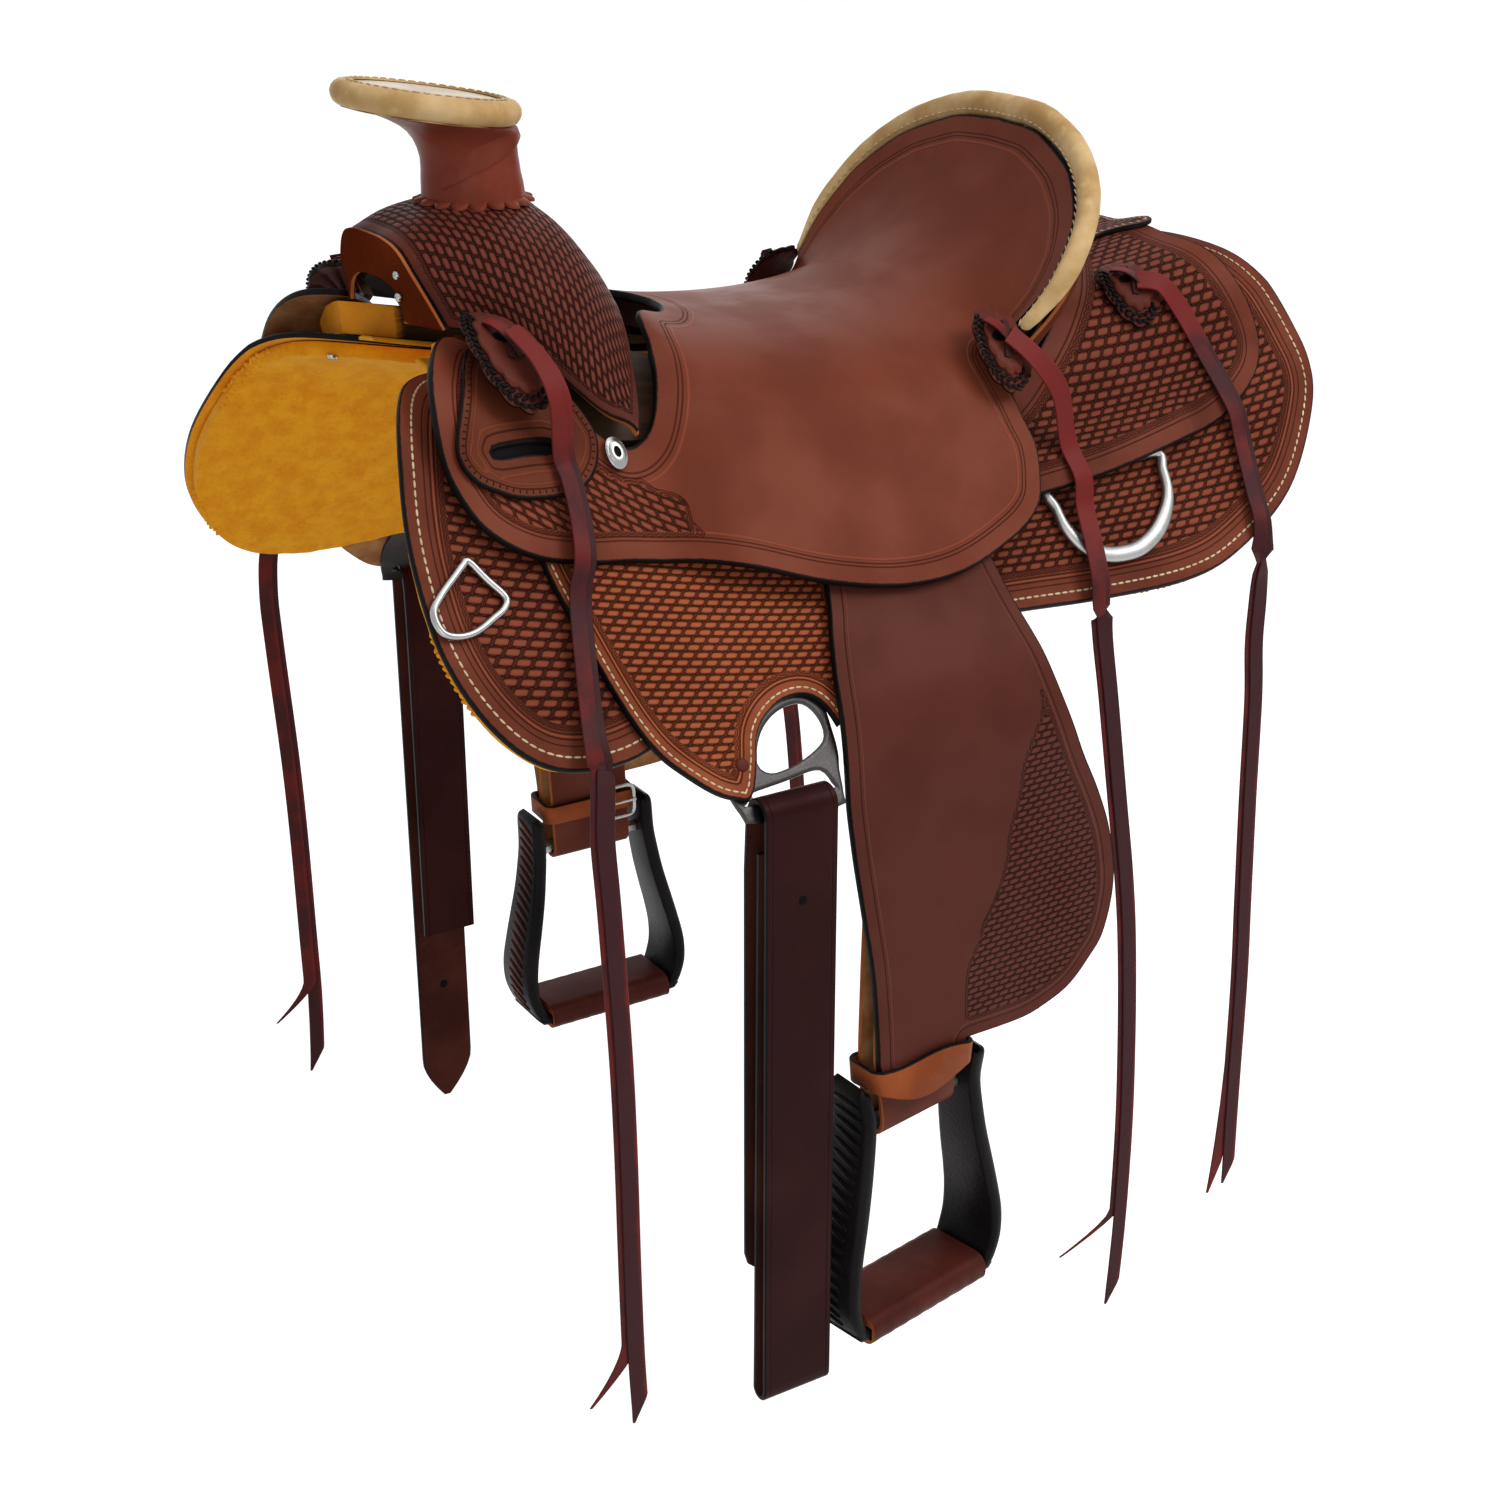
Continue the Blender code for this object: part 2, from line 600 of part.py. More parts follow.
# Horn.
def ring(x, z, r, tilt, n=16, squash=1.0):
    a = math.radians(tilt)
    return [
        Vector((x + r * math.cos(v) * math.cos(a), r * squash * math.sin(v), z - r * math.cos(v) * math.sin(a)))
        for v in (2 * math.pi * k / n for k in range(n))
    ]


def horn_foot():
    found = []
    for k in range(16):
        v = 2 * math.pi * k / 16
        x, y = -198 + 34 * math.cos(v), 33 * math.sin(v)
        found.append(Vector((x, y, 134.2 - 0.0036 * y * y - 0.12 * max(0, x + 200) - 0.10 * max(0, -200 - x))))
    return found


loft("horn_wrap", [
    ring(-198, 134.7, 2, 0), horn_foot(), ring(-198.5, 142, 31, 3), ring(-199.5, 154, 30, 4), ring(-202, 164, 31.5, 6), ring(-206.5, 171, 35.5, 8),
    ring(-213, 176, 42, 9), ring(-219.5, 179.4, 47, 9), ring(-221, 181.2, 47, 9),
])
TILT = math.radians(HORN_TILT)


def turned(name, profile, centre, tilt, n, closed):
    """A turned piece: a profile of (radius, height) swept round by a Screw modifier, then tilted and set in its place."""
    mesh = bpy.data.meshes.new(name)
    edges = [(i, i + 1) for i in range(len(profile) - 1)] + ([(len(profile) - 1, 0)] if closed else [])
    mesh.from_pydata([(r * MM, 0, h * MM) for r, h in profile], edges, [])
    obj = keep(bpy.data.objects.new(name, mesh))
    obj.location = centre * MM
    obj.rotation_euler = (0, tilt, 0)
    screw = obj.modifiers.new("turn", "SCREW")
    screw.axis = "Z"
    screw.steps = screw.render_steps = n
    screw.use_merge_vertices = True
    screw.merge_threshold = 0.00001
    screw.use_smooth_shade = True
    screw.use_normal_calculate = True
    return obj


CAP = Vector((-226, 0, 190))
R = HORN_CAP_RADIUS
turned("horn_cap", [(0, -6.6), (R - 9.5, -6.6), (R - 9.5, 4.6), (R - 13, 6.2), (0, 7.2)], CAP, TILT, 24, False)
turned("horn_cap_binding", [(R - 8.8, -6.8), (R - 5, -7.6), (R - 1.4, -4.6), (R, 0), (R - 1.4, 4.6), (R - 5.5, 7.2), (R - 8.8, 6.4)],
       CAP, TILT, 24, True)


# Rigging: leather over the skirt, steel plate, latigo and billet.
RIGGING = [
    (-243, 150, 1), (-244, 184), (-233, 227), (-221, 267), (-210, 291), (-197, 307), (-178, 324), (-160, 331, 1), (-154, 325, 1),
    (-146, 308), (-140, 293), (-129, 282), (-114, 275), (-99, 275), (-89, 283), (-84, 297, 1), (-60, 285, 1), (-50, 225), (-52, 150, 1),
]
PLATE = [
    (-166, 278, 1), (-172, 300), (-170, 322), (-165, 338), (-158, 344), (-100, 344), (-94, 338), (-91, 322), (-87, 306), (-86, 260, 1), (-110, 263), (-135, 270),
]
RING = [(-144, 309), (-138, 295), (-128, 285), (-115, 279), (-102, 278), (-95, 284), (-92, 294), (-95, 303), (-108, 310), (-124, 315), (-138, 316)]
SLOT = [(-159, 331), (-156, 326), (-130, 322.5), (-110, 319.5), (-102, 321), (-99, 328), (-102, 333), (-157, 333)]
for label, side in SIDES:
    sheet(f"rigging_leather_{label}", curve(RIGGING), drape_on(side), WOOL + 2 * AIR + SKIRT_THICK, WOOL + 2 * AIR + 2 * SKIRT_THICK, ts=TS + [330])
    sheet(f"rigging_plate_{label}", [curve(PLATE, 1), curve(RING, 1), curve(SLOT, 1)], drape_on(side), 12.9, 12.9 + PLATE_THICK, xs=[], ts=[300])

BOTTOM = drape(-130, 338.5, 14.1, OFF)


def ribbon(name, path, x0, x1, thick, side, turn=None):
    """A strap of one width whose middle follows (y, z) points, y measured outwards. turn moves each finished point."""
    rings = []
    for i, (y, z) in enumerate(path):
        a, b = path[max(0, i - 1)], path[min(len(path) - 1, i + 1)]
        d = 2 * math.hypot(b[0] - a[0], b[1] - a[1]) / thick
        ny, nz = (a[1] - b[1]) / d, (b[0] - a[0]) / d
        ring_ = [(x0, y - ny, z - nz), (x1, y - ny, z - nz), (x1, y + ny, z + nz), (x0, y + ny, z + nz)]
        rings.append([Vector((x, side * y, z)) for x, y, z in ring_])
    if turn:
        rings = [[turn(p) for p in ring_] for ring_ in rings]
    return loft(name, rings)


def bend(y, z, r, a0, a1, n=6):
    """Points of an arc round (y, z), from a0 to a1 degrees: 0 is outwards, 90 up."""
    return [(y + r * math.cos(math.radians(a0 + (a1 - a0) * k / n)), z + r * math.sin(math.radians(a0 + (a1 - a0) * k / n))) for k in range(n + 1)]


# Both hang round the plate's lower bar. The latigo is doubled: its long fall turns up again round a loop for the cinch.
y0, z0 = BOTTOM.y, BOTTOM.z
path = [(y0 - 13.6, z0 - 345), (y0 - 13.4, z0 - 40), (y0 - 11.6, z0 - 10)] + bend(y0, z0 - 0.5, 9.6, 160, 0, 6)
path += [(y0 + 9.6, z0 - 30), (y0 + 9.4, z0 - 404)] + bend(y0 + 3.6, z0 - 408, 5.8, -15, -165, 4) + [(y0 - 1.6, z0 - 380), (y0 + 1.0, z0 - 60), (y0 + 1.4, z0 - 24)]
ribbon("near_latigo", path, -155.5, LATIGO_WIDTH - 155.5, LATIGO_THICK, NEAR)
path = [(y0 - 11.6, z0 - 300), (y0 - 11.8, z0 - 40), (y0 - 10.6, z0 - 8)] + bend(y0, z0 - 0.5, 9.4, 160, 0, 6) + [(y0 + 9.0, z0 - 40), (y0 + 7.0, z0 - 400), (y0 + 7.0, z0 - 460)]
ribbon("off_billet", path, -153, BILLET_WIDTH - 153, STRAP_THICK, OFF)

# Fender, stirrup leather, hobble strap and stirrup, drawn in the near side's plane and turned a little below the strap.
FENDER = [
    (-54, 138, 1), (-66, 215), (-75, 246), (-84, 284), (-88, 330), (-83, 373), (-74, 423), (-66, 468), (-61, 524), (-61, 548, 1), (9, 548, 1), (9.5, 532, 1), (52, 531),
    (73, 526), (93, 517), (109, 501), (121, 483), (127, 448), (121, 410), (109, 378), (94, 347), (79, 309), (71, 275), (60, 224), (50, 138, 1),
]
HS = [160, 190, 215, 245, 275, 291, 308, 324, 340, 380, 430, 480]
FACE_Y, KNEE_Z = HANG.at(340)[0], HANG.at(340)[1]
PIN = Vector((-26, 0, -438.5))
PIN.y = FACE_Y + 1.8 - 8.6
YAW = {"near": 11.0, "off": 0.0}
LEAN = {"near": 0.0, "off": 0.04}


def placer(label, side):
    """Turns a point of the near side's plan, y outwards, into its place: the twist of the leather, the lean of its hang."""

    def turn(p):
        a = math.radians(YAW[label]) * ease(-388, -436, p.z)
        dx, dy = p.x - PIN.x, abs(p.y) - PIN.y
        x = PIN.x + dx * math.cos(a) + dy * math.sin(a)
        y = PIN.y - dx * math.sin(a) + dy * math.cos(a)
        return Vector((x + LEAN[label] * max(0.0, -p.z - 10), side * y, p.z))

    return turn


def band_ring(c, n=3):
    """A rounded rectangle in plan, as (x, y, outwards): half sizes and corner radius c, round the stirrup leathers."""
    hx, hy, r = c
    found = []
    for cx, cy, a0 in ((hx - r, hy - r, 0), (-hx + r, hy - r, 90), (-hx + r, -hy + r, 180), (hx - r, -hy + r, 270)):
        for k in range(n + 1):
            v = math.radians(a0 + 90 * k / n)
            found.append((cx + r * math.cos(v), cy + r * math.sin(v)))
    return found


def slab(name, stations, turn):
    """A U of boards: per station its middle (w, z), half thickness, half depth and the direction of its thickness."""
    rings = []
    for w, z, half, depth, (nw, nz) in stations:
        r = min(half, depth) * 0.45
        ring_ = []
        for a, b in ((1, -1), (1, 1), (-1, 1), (-1, -1)):
            for k in range(2):
                first = (k == 1) == (a * b < 0)
                p, q = (a * (half - (0 if first else r)), b * (depth - (r if first else 0)))
                ring_.append(turn(Vector((PIN.x + w + nw * p, PIN.y + q, z + nz * p))))
        rings.append(ring_)
    return loft(name, rings)


LEG = [(48.5, -409, 3.0, 14), (49, -412, 5.2, 16.5), (49.5, -436, 5.5, 17), (51.5, -454, 5.5, 18), (55, -476, 5.5, 19.5), (60, -499, 5.4, 21.5), (65, -521, 5.2, 23),
       (68.5, -541, 5.0, 24.5), (68.5, -558, 4.8, 25), (65.5, -570, 4.6, 25), (61, -579.5, 4.4, 24.5), (56, -583, 4.2, 24), (0, -583, 4.2, 24)]
for label, side in SIDES:
    turn = placer(label, side)
    at = laid_on(HANG, side)

    def leaned(x, s, h):
        p = at(x, s, h)
        return turn(Vector((p.x, abs(p.y), p.z)))

    low = 4.7 if side == NEAR else 4.4
    falls = [-384, -392, -400, -408, -416, -424, -432]
    sheet(f"fender_{label}", curve(FENDER), leaned, low, low + FENDER_THICK, xs=[-26, 0, 60], ts=HS + [340 + KNEE_Z - z for z in falls[:4]])
    path = [HANG.at(s)[:2] for s in (128, 275, 291, 308, 324, 340)]
    path = [(y + 1.8 * math.sin(HANG.at(s)[2]), z + 1.8 * math.cos(HANG.at(s)[2])) for (y, z), s in zip(path, (128, 275, 291, 308, 324, 340))]
    path += [(FACE_Y + 1.8, z) for z in falls] + bend(PIN.y, PIN.z + 1.2, 8.6, 0, -180, 6)
    path += [(FACE_Y - 15.4, z) for z in falls[::-1]] + [(FACE_Y - 14.4, -330), (FACE_Y - 12.2, -262)]
    ribbon(f"stirrup_leather_{label}", path, -60, LEATHER_WIDTH - 60, STRAP_THICK, side, lambda p: turn(Vector((p.x, abs(p.y), p.z))))
    mid_y = FACE_Y - 4.6
    inner_, outer_ = band_ring((37.9, 14.6, 5)), band_ring((40.9, 17.6, 8))
    solid = []
    for (x, y), (xo, yo) in zip(inner_, outer_):
        front = ease(-17, 17, y)
        wave = math.sin(math.pi * min(1, max(0, (x + 38) / 76)))
        top = -397.3 + front * (3 - 2.5 * math.sin(2 * math.pi * (x + 44) / 80))
        low = -413 - front * (-2 + 13 * wave)
        for px, py, pz in ((x, y, low), (xo, yo, low), (xo, yo, top), (x, y, top)):
            solid.append(turn(Vector((PIN.x + px, mid_y + py, pz))))
    loft(f"hobble_strap_{label}", [solid[i:i + 4] for i in range(0, len(solid), 4)], ends=False)
    frame = []
    for k in range(16):
        v = 2 * math.pi * k / 16
        w, z = 14 * math.copysign(abs(math.cos(v)) ** 0.5, math.cos(v)), 13.5 * math.copysign(abs(math.sin(v)) ** 0.5, math.sin(v))
        frame.append(turn(Vector((PIN.x + 22 + w, mid_y - 20.0, -405 + z))))
    wire(f"hobble_buckle_{label}", frame, BUCKLE_WIRE, Vector((0, side, 0)), closed=True, n=6)
    stations = []
    for flip in (-1, 1):
        rows = [(flip * w, z, t, d) for w, z, t, d in (LEG if flip < 0 else LEG[-2::-1])]
        stations += rows
    for i, (w, z, half, depth) in enumerate(stations):
        a, b = stations[max(0, i - 1)], stations[min(len(stations) - 1, i + 1)]
        d = math.hypot(b[0] - a[0], b[1] - a[1])
        stations[i] = (w, z, half, depth, ((b[1] - a[1]) / d, -(b[0] - a[0]) / d))
    slab(f"stirrup_{label}", stations, turn)
    outer_, inner_ = band_ring((27.0, 10.0, 8.5), 4), band_ring((24.5, 4.7, 0.8), 4)
    solid = []
    for w in (-54.5, 54.5):
        solid += [turn(Vector((PIN.x + w, PIN.y + x, -582 + y + (1.6 * (1 - (x / 27) ** 2) if y > 0 else 0)))) for x, y in outer_]
        solid += [turn(Vector((PIN.x + w, PIN.y + x, -583 + y))) for x, y in inner_]
    n = len(outer_)
    faces = []
    for k in range(n):
        m = (k + 1) % n
        faces += [[k, m, 2 * n + m, 2 * n + k], [n + m, n + k, 3 * n + k, 3 * n + m], [m, k, n + k, n + m], [2 * n + k, 2 * n + m, 3 * n + m, 3 * n + k]]
    place(f"stirrup_tread_{label}", solid, faces)
    ends = [turn(Vector((PIN.x + w, PIN.y, PIN.z))) for w in (-43.6, 43.6)]
    bm = bmesh.new()
    radius = STIRRUP_BOLT_RADIUS * MM
    bmesh.ops.create_cone(bm, cap_ends=True, segments=12, radius1=radius, radius2=radius, depth=(ends[1] - ends[0]).length * MM)
    mesh = bpy.data.meshes.new(f"stirrup_bolt_{label}")
    bm.to_mesh(mesh)
    bm.free()
    bolt = keep(bpy.data.objects.new(mesh.name, mesh))
    bolt.location = (ends[0] + ends[1]) / 2 * MM
    bolt.rotation_euler = (ends[1] - ends[0]).to_track_quat("Z", "Y").to_euler()


# Dees: loops of wire lying on the skirt, each turning about its straight bar.
FRONT_DEE = [(-290, 182), (-282, 191.5), (-273.5, 201), (-276, 207), (-284, 212), (-297, 219), (-309, 221.5), (-318, 219), (-320, 209), (-312, 199.5), (-301, 190), (-294, 184)]
REAR_DEE = [(126, 177), (170, 176), (216, 177), (217.5, 190), (216, 203), (210, 214), (198, 225), (182, 232), (168, 233), (152, 230), (138, 221), (129, 207), (126.5, 192)]
for label, side in SIDES:
    up = Vector((0, side * math.sin(math.radians(53)), math.cos(math.radians(53))))
    wire(f"front_dee_{label}", [drape(x, t, 18.0, side) for x, t in FRONT_DEE], DEE_WIRE, up, closed=True, n=8)
    fat = [(3.4 + 2.2 * ease(195, 228, t), 3.4) for x, t in REAR_DEE]
    wire(f"rear_dee_{label}", [drape(x, t, 19.2, side) for x, t in REAR_DEE], fat, up, closed=True, n=8)


# Rosettes, conchos, the latigo keeper and the saddle strings.
def disc(name, at, x0, t0, profile, n=32, scallop=0.0):
    """A round ornament bent onto its surface: profile of (radius, height over the surface) from the middle underneath round."""
    points, rows = [], []
    for r, h in profile:
        if r < 1e-6:
            rows.append([len(points)] * n)
            points.append(at(x0, t0, h))
            continue
        rows.append(list(range(len(points), len(points) + n)))
        for k in range(n):
            v = 2 * math.pi * k / n
            q = r - (scallop if k % 2 else 0)
            points.append(at(x0 + q * math.cos(v), t0 + q * math.sin(v), h))
    faces = []
    for a, b in zip(rows, rows[1:]):
        for k in range(n):
            f = [a[k], a[(k + 1) % n], b[(k + 1) % n], b[k]]
            f = [i for j, i in enumerate(f) if i not in f[:j]]
            if len(f) > 2:
                faces.append(f)
    return place(name, points, faces)


def over_seat(side):
    return lambda x, t, h: drape(x, t, seat_h(x, t) + h, side)


def rosette(r, low, under):
    """Two layers of leather; the knot behind them reaches down to the height under."""
    return [(0, under), (r - 7, low), (r, low), (r, low + 3.2), (r - 6.5, low + 3.6), (r - 7, low + 6.6), (0, low + 7)]


KEEPER = [
    (-262, 92), (-270, 106), (-283, 129), (-277, 142), (-264, 148), (-246, 151), (-216, 147), (-197, 135), (-190, 121), (-194, 111),
    (-205, 97), (-218, 82), (-236, 76), (-252, 82),
]
KEEPER_SLOT = [(-263, 133), (-266, 129), (-262, 126), (-240, 122), (-219, 121), (-215, 125), (-219, 128), (-240, 130)]
sheet("latigo_keeper", [curve(KEEPER), curve(KEEPER_SLOT, 1)], over_seat(NEAR), 1.0, 4.2, xs=[-240, -192], ts=[85, 98, 111, 124, 138])
for label, side in SIDES:
    disc(f"rosette_front_{label}", over_seat(side), -236, 93, rosette(25, 15.0, 4.2 if side == NEAR else 1.0), scallop=1.6)
    disc(f"rosette_mid_{label}", lambda x, t, h: drape(x, t, 38.6 + 0.85 * bump(t) + h, side), 104, 108, rosette(19, 11.0, 11.0), scallop=1.3)
    disc(f"rosette_rear_{label}", lambda x, t, h: drape(x, t, 20.3 + bump(t) + h, side), 236, 90, rosette(20, 1.6, 1.6), scallop=1.3)
    disc(f"concho_{label}", over_seat(side), -180, 127, [(0, 2.4), (8, 2.4), (8, 4.2), (5, 5.4), (0, 5.8)], n=16)


def strap(name, path, width, thick):
    """A flat string along (point, outward normal) pairs."""
    rings = []
    for i, (p, up) in enumerate(path):
        along = (path[min(len(path) - 1, i + 1)][0] - path[max(0, i - 1)][0]).normalized()
        side_ = along.cross(up).normalized()
        up = side_.cross(along).normalized()
        a, b = side_ * (width / 2), up * (thick / 2)
        rings.append([p - a - b, p + a - b, p + a + b, p - a + b])
    return loft(name, rings)


def string(name, side, over_drape, hanging, lift):
    """A saddle string: over the leather first, then straight down past the skirt's edge."""
    path = []
    for x, t in over_drape:
        here = lift(x, t)
        along = drape(x + 3, t, here, side) - drape(x - 3, t, here, side)
        down = drape(x, t + 3, lift(x, t + 3), side) - drape(x, t - 3, lift(x, t - 3), side)
        path.append((drape(x, t, here, side), (along.cross(down) * -side).normalized()))
    for x, y, z in hanging:
        path.append((Vector((x, side * y, z)), Vector((0, side, 0.0))))
    smooth = []
    n = 3
    for i in range(len(path) - 1):
        p0, p1, p2, p3 = (path[min(len(path) - 1, max(0, i + k))] for k in (-1, 0, 1, 2))
        for k in range(n):
            u = k / n
            smooth.append(tuple(
                0.5 * (2 * b + (c - a) * u + (2 * a - 5 * b + 4 * c - d) * u * u + (3 * b - a - 3 * c + d) * u**3)
                for a, b, c, d in zip(p0, p1, p2, p3)
            ))
    strap(name, smooth + [path[-1]], STRING_WIDTH, STRING_THICK)


FRONT_OVER = [(-236, 92), (-226, 104), (-221, 117), (-218, 130), (-217, 142), (-219, 165), (-224, 187), (-229, 205), (-239, 245), (-246, 278)]
MID_OVER = [(105, 107), (118, 117), (134, 131), (143, 156), (145, 180), (144, 197), (141, 218), (137, 242), (135, 259)]
REAR_OVER = [(236, 91), (252, 97), (266, 109), (277, 131), (284, 156), (287, 174), (287, 192), (283, 224), (280, 247)]


def front_lift(x, t):
    return 34.2 + 0.85 * bump(t) + 23.5 * (1 - ease(113, 132, t)) - 11.2 * ease(187, 203, t)


def mid_lift(x, t):
    """Over the rosette, the rear jockey and the dee, and down to the skirt's edge."""
    return 23.6 + bump(t) + 9.2 * ease(124, 154, t) + 36.0 * (1 - ease(124, 148, t)) - 7.0 * ease(183, 197, t) - 6.0 * ease(240, 257, t)


def rear_lift(x, t):
    return 23.0 + bump(t) + 9.0 * (1 - ease(97, 112, t)) - 3.6 * ease(177, 189, t)


for label, side in SIDES:
    string(f"string_front_{label}", side, FRONT_OVER, [(-253, 250, -150), (-256, 254, -185), (-254, 256, -230), (-249, 256, -322), (-247, 256, -391), (-246, 256, -485), (-244, 256, -592)], front_lift)
    string(f"string_mid_{label}", side, MID_OVER, [(138, 214, -154), (146, 214, -197), (159, 214, -272), (170, 214, -335), (177, 214, -391), (183, 214, -473), (186, 214, -557), (185, 214, -690)], mid_lift)
    string(f"string_rear_{label}", side, REAR_OVER, [(278, 209, -150), (277, 210, -185), (281, 210, -227), (284, 210, -304), (288, 210, -384), (292, 210, -467), (294, 210, -630)], rear_lift)


# Pivots: an empty on each joint's axis, and the moving pieces under it.
SWING_X = {"near": -13.6, "off": 0.1}


def hang(pivot, at, names, parent=None):
    """An empty at a point given in millimetres, as the parent of the pieces named. Nothing moves in the world."""
    empty = bpy.data.objects.new(pivot, None)
    empty.empty_display_size = 0.03
    helpers.objects.link(empty)
    here = at * MM
    if parent:
        empty.parent = parent[0]
        empty.location = here - parent[1]
    else:
        empty.location = here
    for name in names:
        obj = bpy.data.objects[name]
        obj.parent = empty
        obj.location = obj.location - here
    return empty, here


for label, side in SIDES:
    turn = placer(label, side)
    y, z, a = HANG.at(128)
    swing = Vector((SWING_X[label], side * (y + 1.8 * math.sin(a)), z + 1.8 * math.cos(a)))
    fender = hang(f"fender_swing_{label}", swing, [f"{n}_{label}" for n in ("fender", "stirrup_leather", "hobble_strap", "hobble_buckle")])
    hang(f"stirrup_hinge_{label}", turn(PIN.copy()), [f"{n}_{label}" for n in ("stirrup", "stirrup_tread", "stirrup_bolt")], fender)
    bar = (drape(-290, 182, 18.0, side) + drape(-273.5, 201, 18.0, side)) / 2
    hang(f"front_dee_hinge_{label}", bar, [f"front_dee_{label}"])
hang("latigo_hinge", Vector((-130, -y0, z0 - 0.5)), ["near_latigo"])
hang("billet_hinge", Vector((-130, y0, z0 - 0.5)), ["off_billet"])
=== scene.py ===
# %% [markdown]
# # A western ranch saddle, dressed over its solids
#
# The frame holds the saddle's solids and the way its stirrups, straps and dees move. This script gives each
# of them the surface of the real one: stamped and oiled leather, rawhide, sheepskin, steel and a great deal
# of stitching. Lengths are in millimetres until a mesh is made, because that is how a saddler thinks of
# them.

import math

import bpy
import numpy as np
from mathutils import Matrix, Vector, geometry


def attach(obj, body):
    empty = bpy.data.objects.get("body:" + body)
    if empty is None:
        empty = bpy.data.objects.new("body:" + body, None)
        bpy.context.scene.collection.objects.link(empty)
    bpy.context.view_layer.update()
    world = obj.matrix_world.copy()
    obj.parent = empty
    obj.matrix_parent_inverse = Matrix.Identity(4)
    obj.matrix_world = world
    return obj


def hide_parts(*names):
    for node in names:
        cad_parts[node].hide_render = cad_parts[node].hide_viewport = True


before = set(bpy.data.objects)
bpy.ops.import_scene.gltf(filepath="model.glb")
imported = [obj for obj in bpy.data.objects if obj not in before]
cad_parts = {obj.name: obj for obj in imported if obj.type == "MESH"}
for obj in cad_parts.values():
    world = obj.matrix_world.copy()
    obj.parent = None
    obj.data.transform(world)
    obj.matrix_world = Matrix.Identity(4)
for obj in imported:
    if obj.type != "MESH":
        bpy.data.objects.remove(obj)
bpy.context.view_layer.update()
MM = 0.001
NEAR, OFF = -1, 1
SIDES = (("near", NEAR), ("off", OFF))

# %% [markdown]
# ## Camera
#
# The photograph looks at the near side from in front and above. A long lens far away keeps the two sides
# almost the same size, so the camera stands back and its direction is given by two angles.

# %% Camera
LOOK = Vector((0, 0, -0.278))
AZIMUTH, ELEVATION, DISTANCE = math.radians(31.9), math.radians(22.9), 2.4 / 1.4
LENS, SENSOR = 57.6, 36.0
level = math.cos(ELEVATION)
forward = Vector((math.sin(AZIMUTH) * level, math.cos(AZIMUTH) * level, -math.sin(ELEVATION)))
camera_data = bpy.data.cameras.new("camera")
camera_data.lens, camera_data.sensor_width = LENS, SENSOR
camera = bpy.data.objects.new("camera", camera_data)
camera.location = LOOK - forward * DISTANCE
camera.rotation_euler = forward.to_track_quat("-Z", "Y").to_euler()
bpy.context.scene.collection.objects.link(camera)
bpy.context.scene.camera = camera
print("camera at", tuple(round(v, 3) for v in camera.location))


# %% [markdown]
# ## The back
#
# A saddler cuts a flat pattern and bends it over the tree. The script does the same: a pattern is drawn in
# x, along the horse, and t, down its side, and a function lays it on the back at a height. Across the back
# the surface is a curve whose slope is easy to give: level at the spine, then steeper down to a straight
# side.

# %% A curve given by its slope
def ease(a, b, v):
    """0 before a, 1 after b, and a smooth step between them."""
    q = min(1.0, max(0.0, (v - a) / (b - a)))
    return q * q * (3 - 2 * q)


class Profile:
    """A curve in the YZ plane from knots of (length along it, degrees below level)."""

    def __init__(self, knots, y=0.0, z=0.0):
        self.rows = []
        for (s0, a0), (s1, a1) in zip(knots, knots[1:]):
            a0, a1 = math.radians(a0), math.radians(a1)
            self.rows.append((s0, a0, (a1 - a0) / (s1 - s0), y, z))
            y, z, _ = self.step(self.rows[-1], s1)

    @staticmethod
    def step(row, s):
        s0, a0, turning, y, z = row
        a = a0 + turning * (s - s0)
        if abs(turning) < 1e-7:
            return y + math.cos(a) * (s - s0), z - math.sin(a) * (s - s0), a
        return y + (math.sin(a) - math.sin(a0)) / turning, z + (math.cos(a) - math.cos(a0)) / turning, a

    def at(self, s):
        """Y, Z and slope at a length along the curve."""
        started = [row for row in self.rows if row[0] <= s]
        return self.step(started[-1] if started else self.rows[0], s)


BACK = Profile([(0, 0), (40, 9), (72, 14), (138, 53), (420, 53)])
print("the back falls", round(-BACK.at(420)[1]), "mm over 420 mm of leather")


# %% [markdown]
# The back is a little hollow from end to end, and the tree bars lift what lies over them. Stirrup leathers
# hang a little further out, on a curve of their own that ends upright.

# %% Laying places on the back
def bump_of(t):
    """How far the tree bar lifts what lies over it."""
    return 22 * (1 - ease(80, 140, t)) - 12 * (1 - ease(0, 48, t))


def rise(x, t):
    """The back's rise towards the withers and the loins, most of it near the spine."""
    fade = 1 - 0.65 * min(1.0, max(0.0, (t - 111) / 189))
    return (0.0004 if x < 30 else 0.0005) * (x - 30) ** 2 * fade


def laid_on(profile, side):
    def at(x, s, h):
        y, z, a = profile.at(s)
        return Vector((x, side * (y + h * math.sin(a)), z + h * math.cos(a)))

    return at


def drape(x, t, h, side=NEAR):
    return laid_on(BACK, side)(x, abs(t), h) + Vector((0, 0, rise(x, abs(t))))


def drape_on(side):
    return lambda x, t, h: drape(x, t, h, side)


def across(x, t, h):
    """The same surface with t signed: negative on the near side."""
    return drape(x, t, h, NEAR if t < 0 else OFF)


y, z, a = BACK.at(138)
HANG = Profile(
    [(118, 53), (275, 53), (340, 90), (900, 90)],
    y + 21.1 * math.sin(a) - 20 * math.cos(a), z + 21.1 * math.cos(a) + 20 * math.sin(a) + 1)
print("fenders hang", round(HANG.at(340)[0]), "mm from the middle")


# %% [markdown]
# ## The seat's surface
#
# The seat is one surface: low over the front, crowned over the ground seat, and running up into the dish of
# the cantle. Its profiles are smooth curves through a few heights.

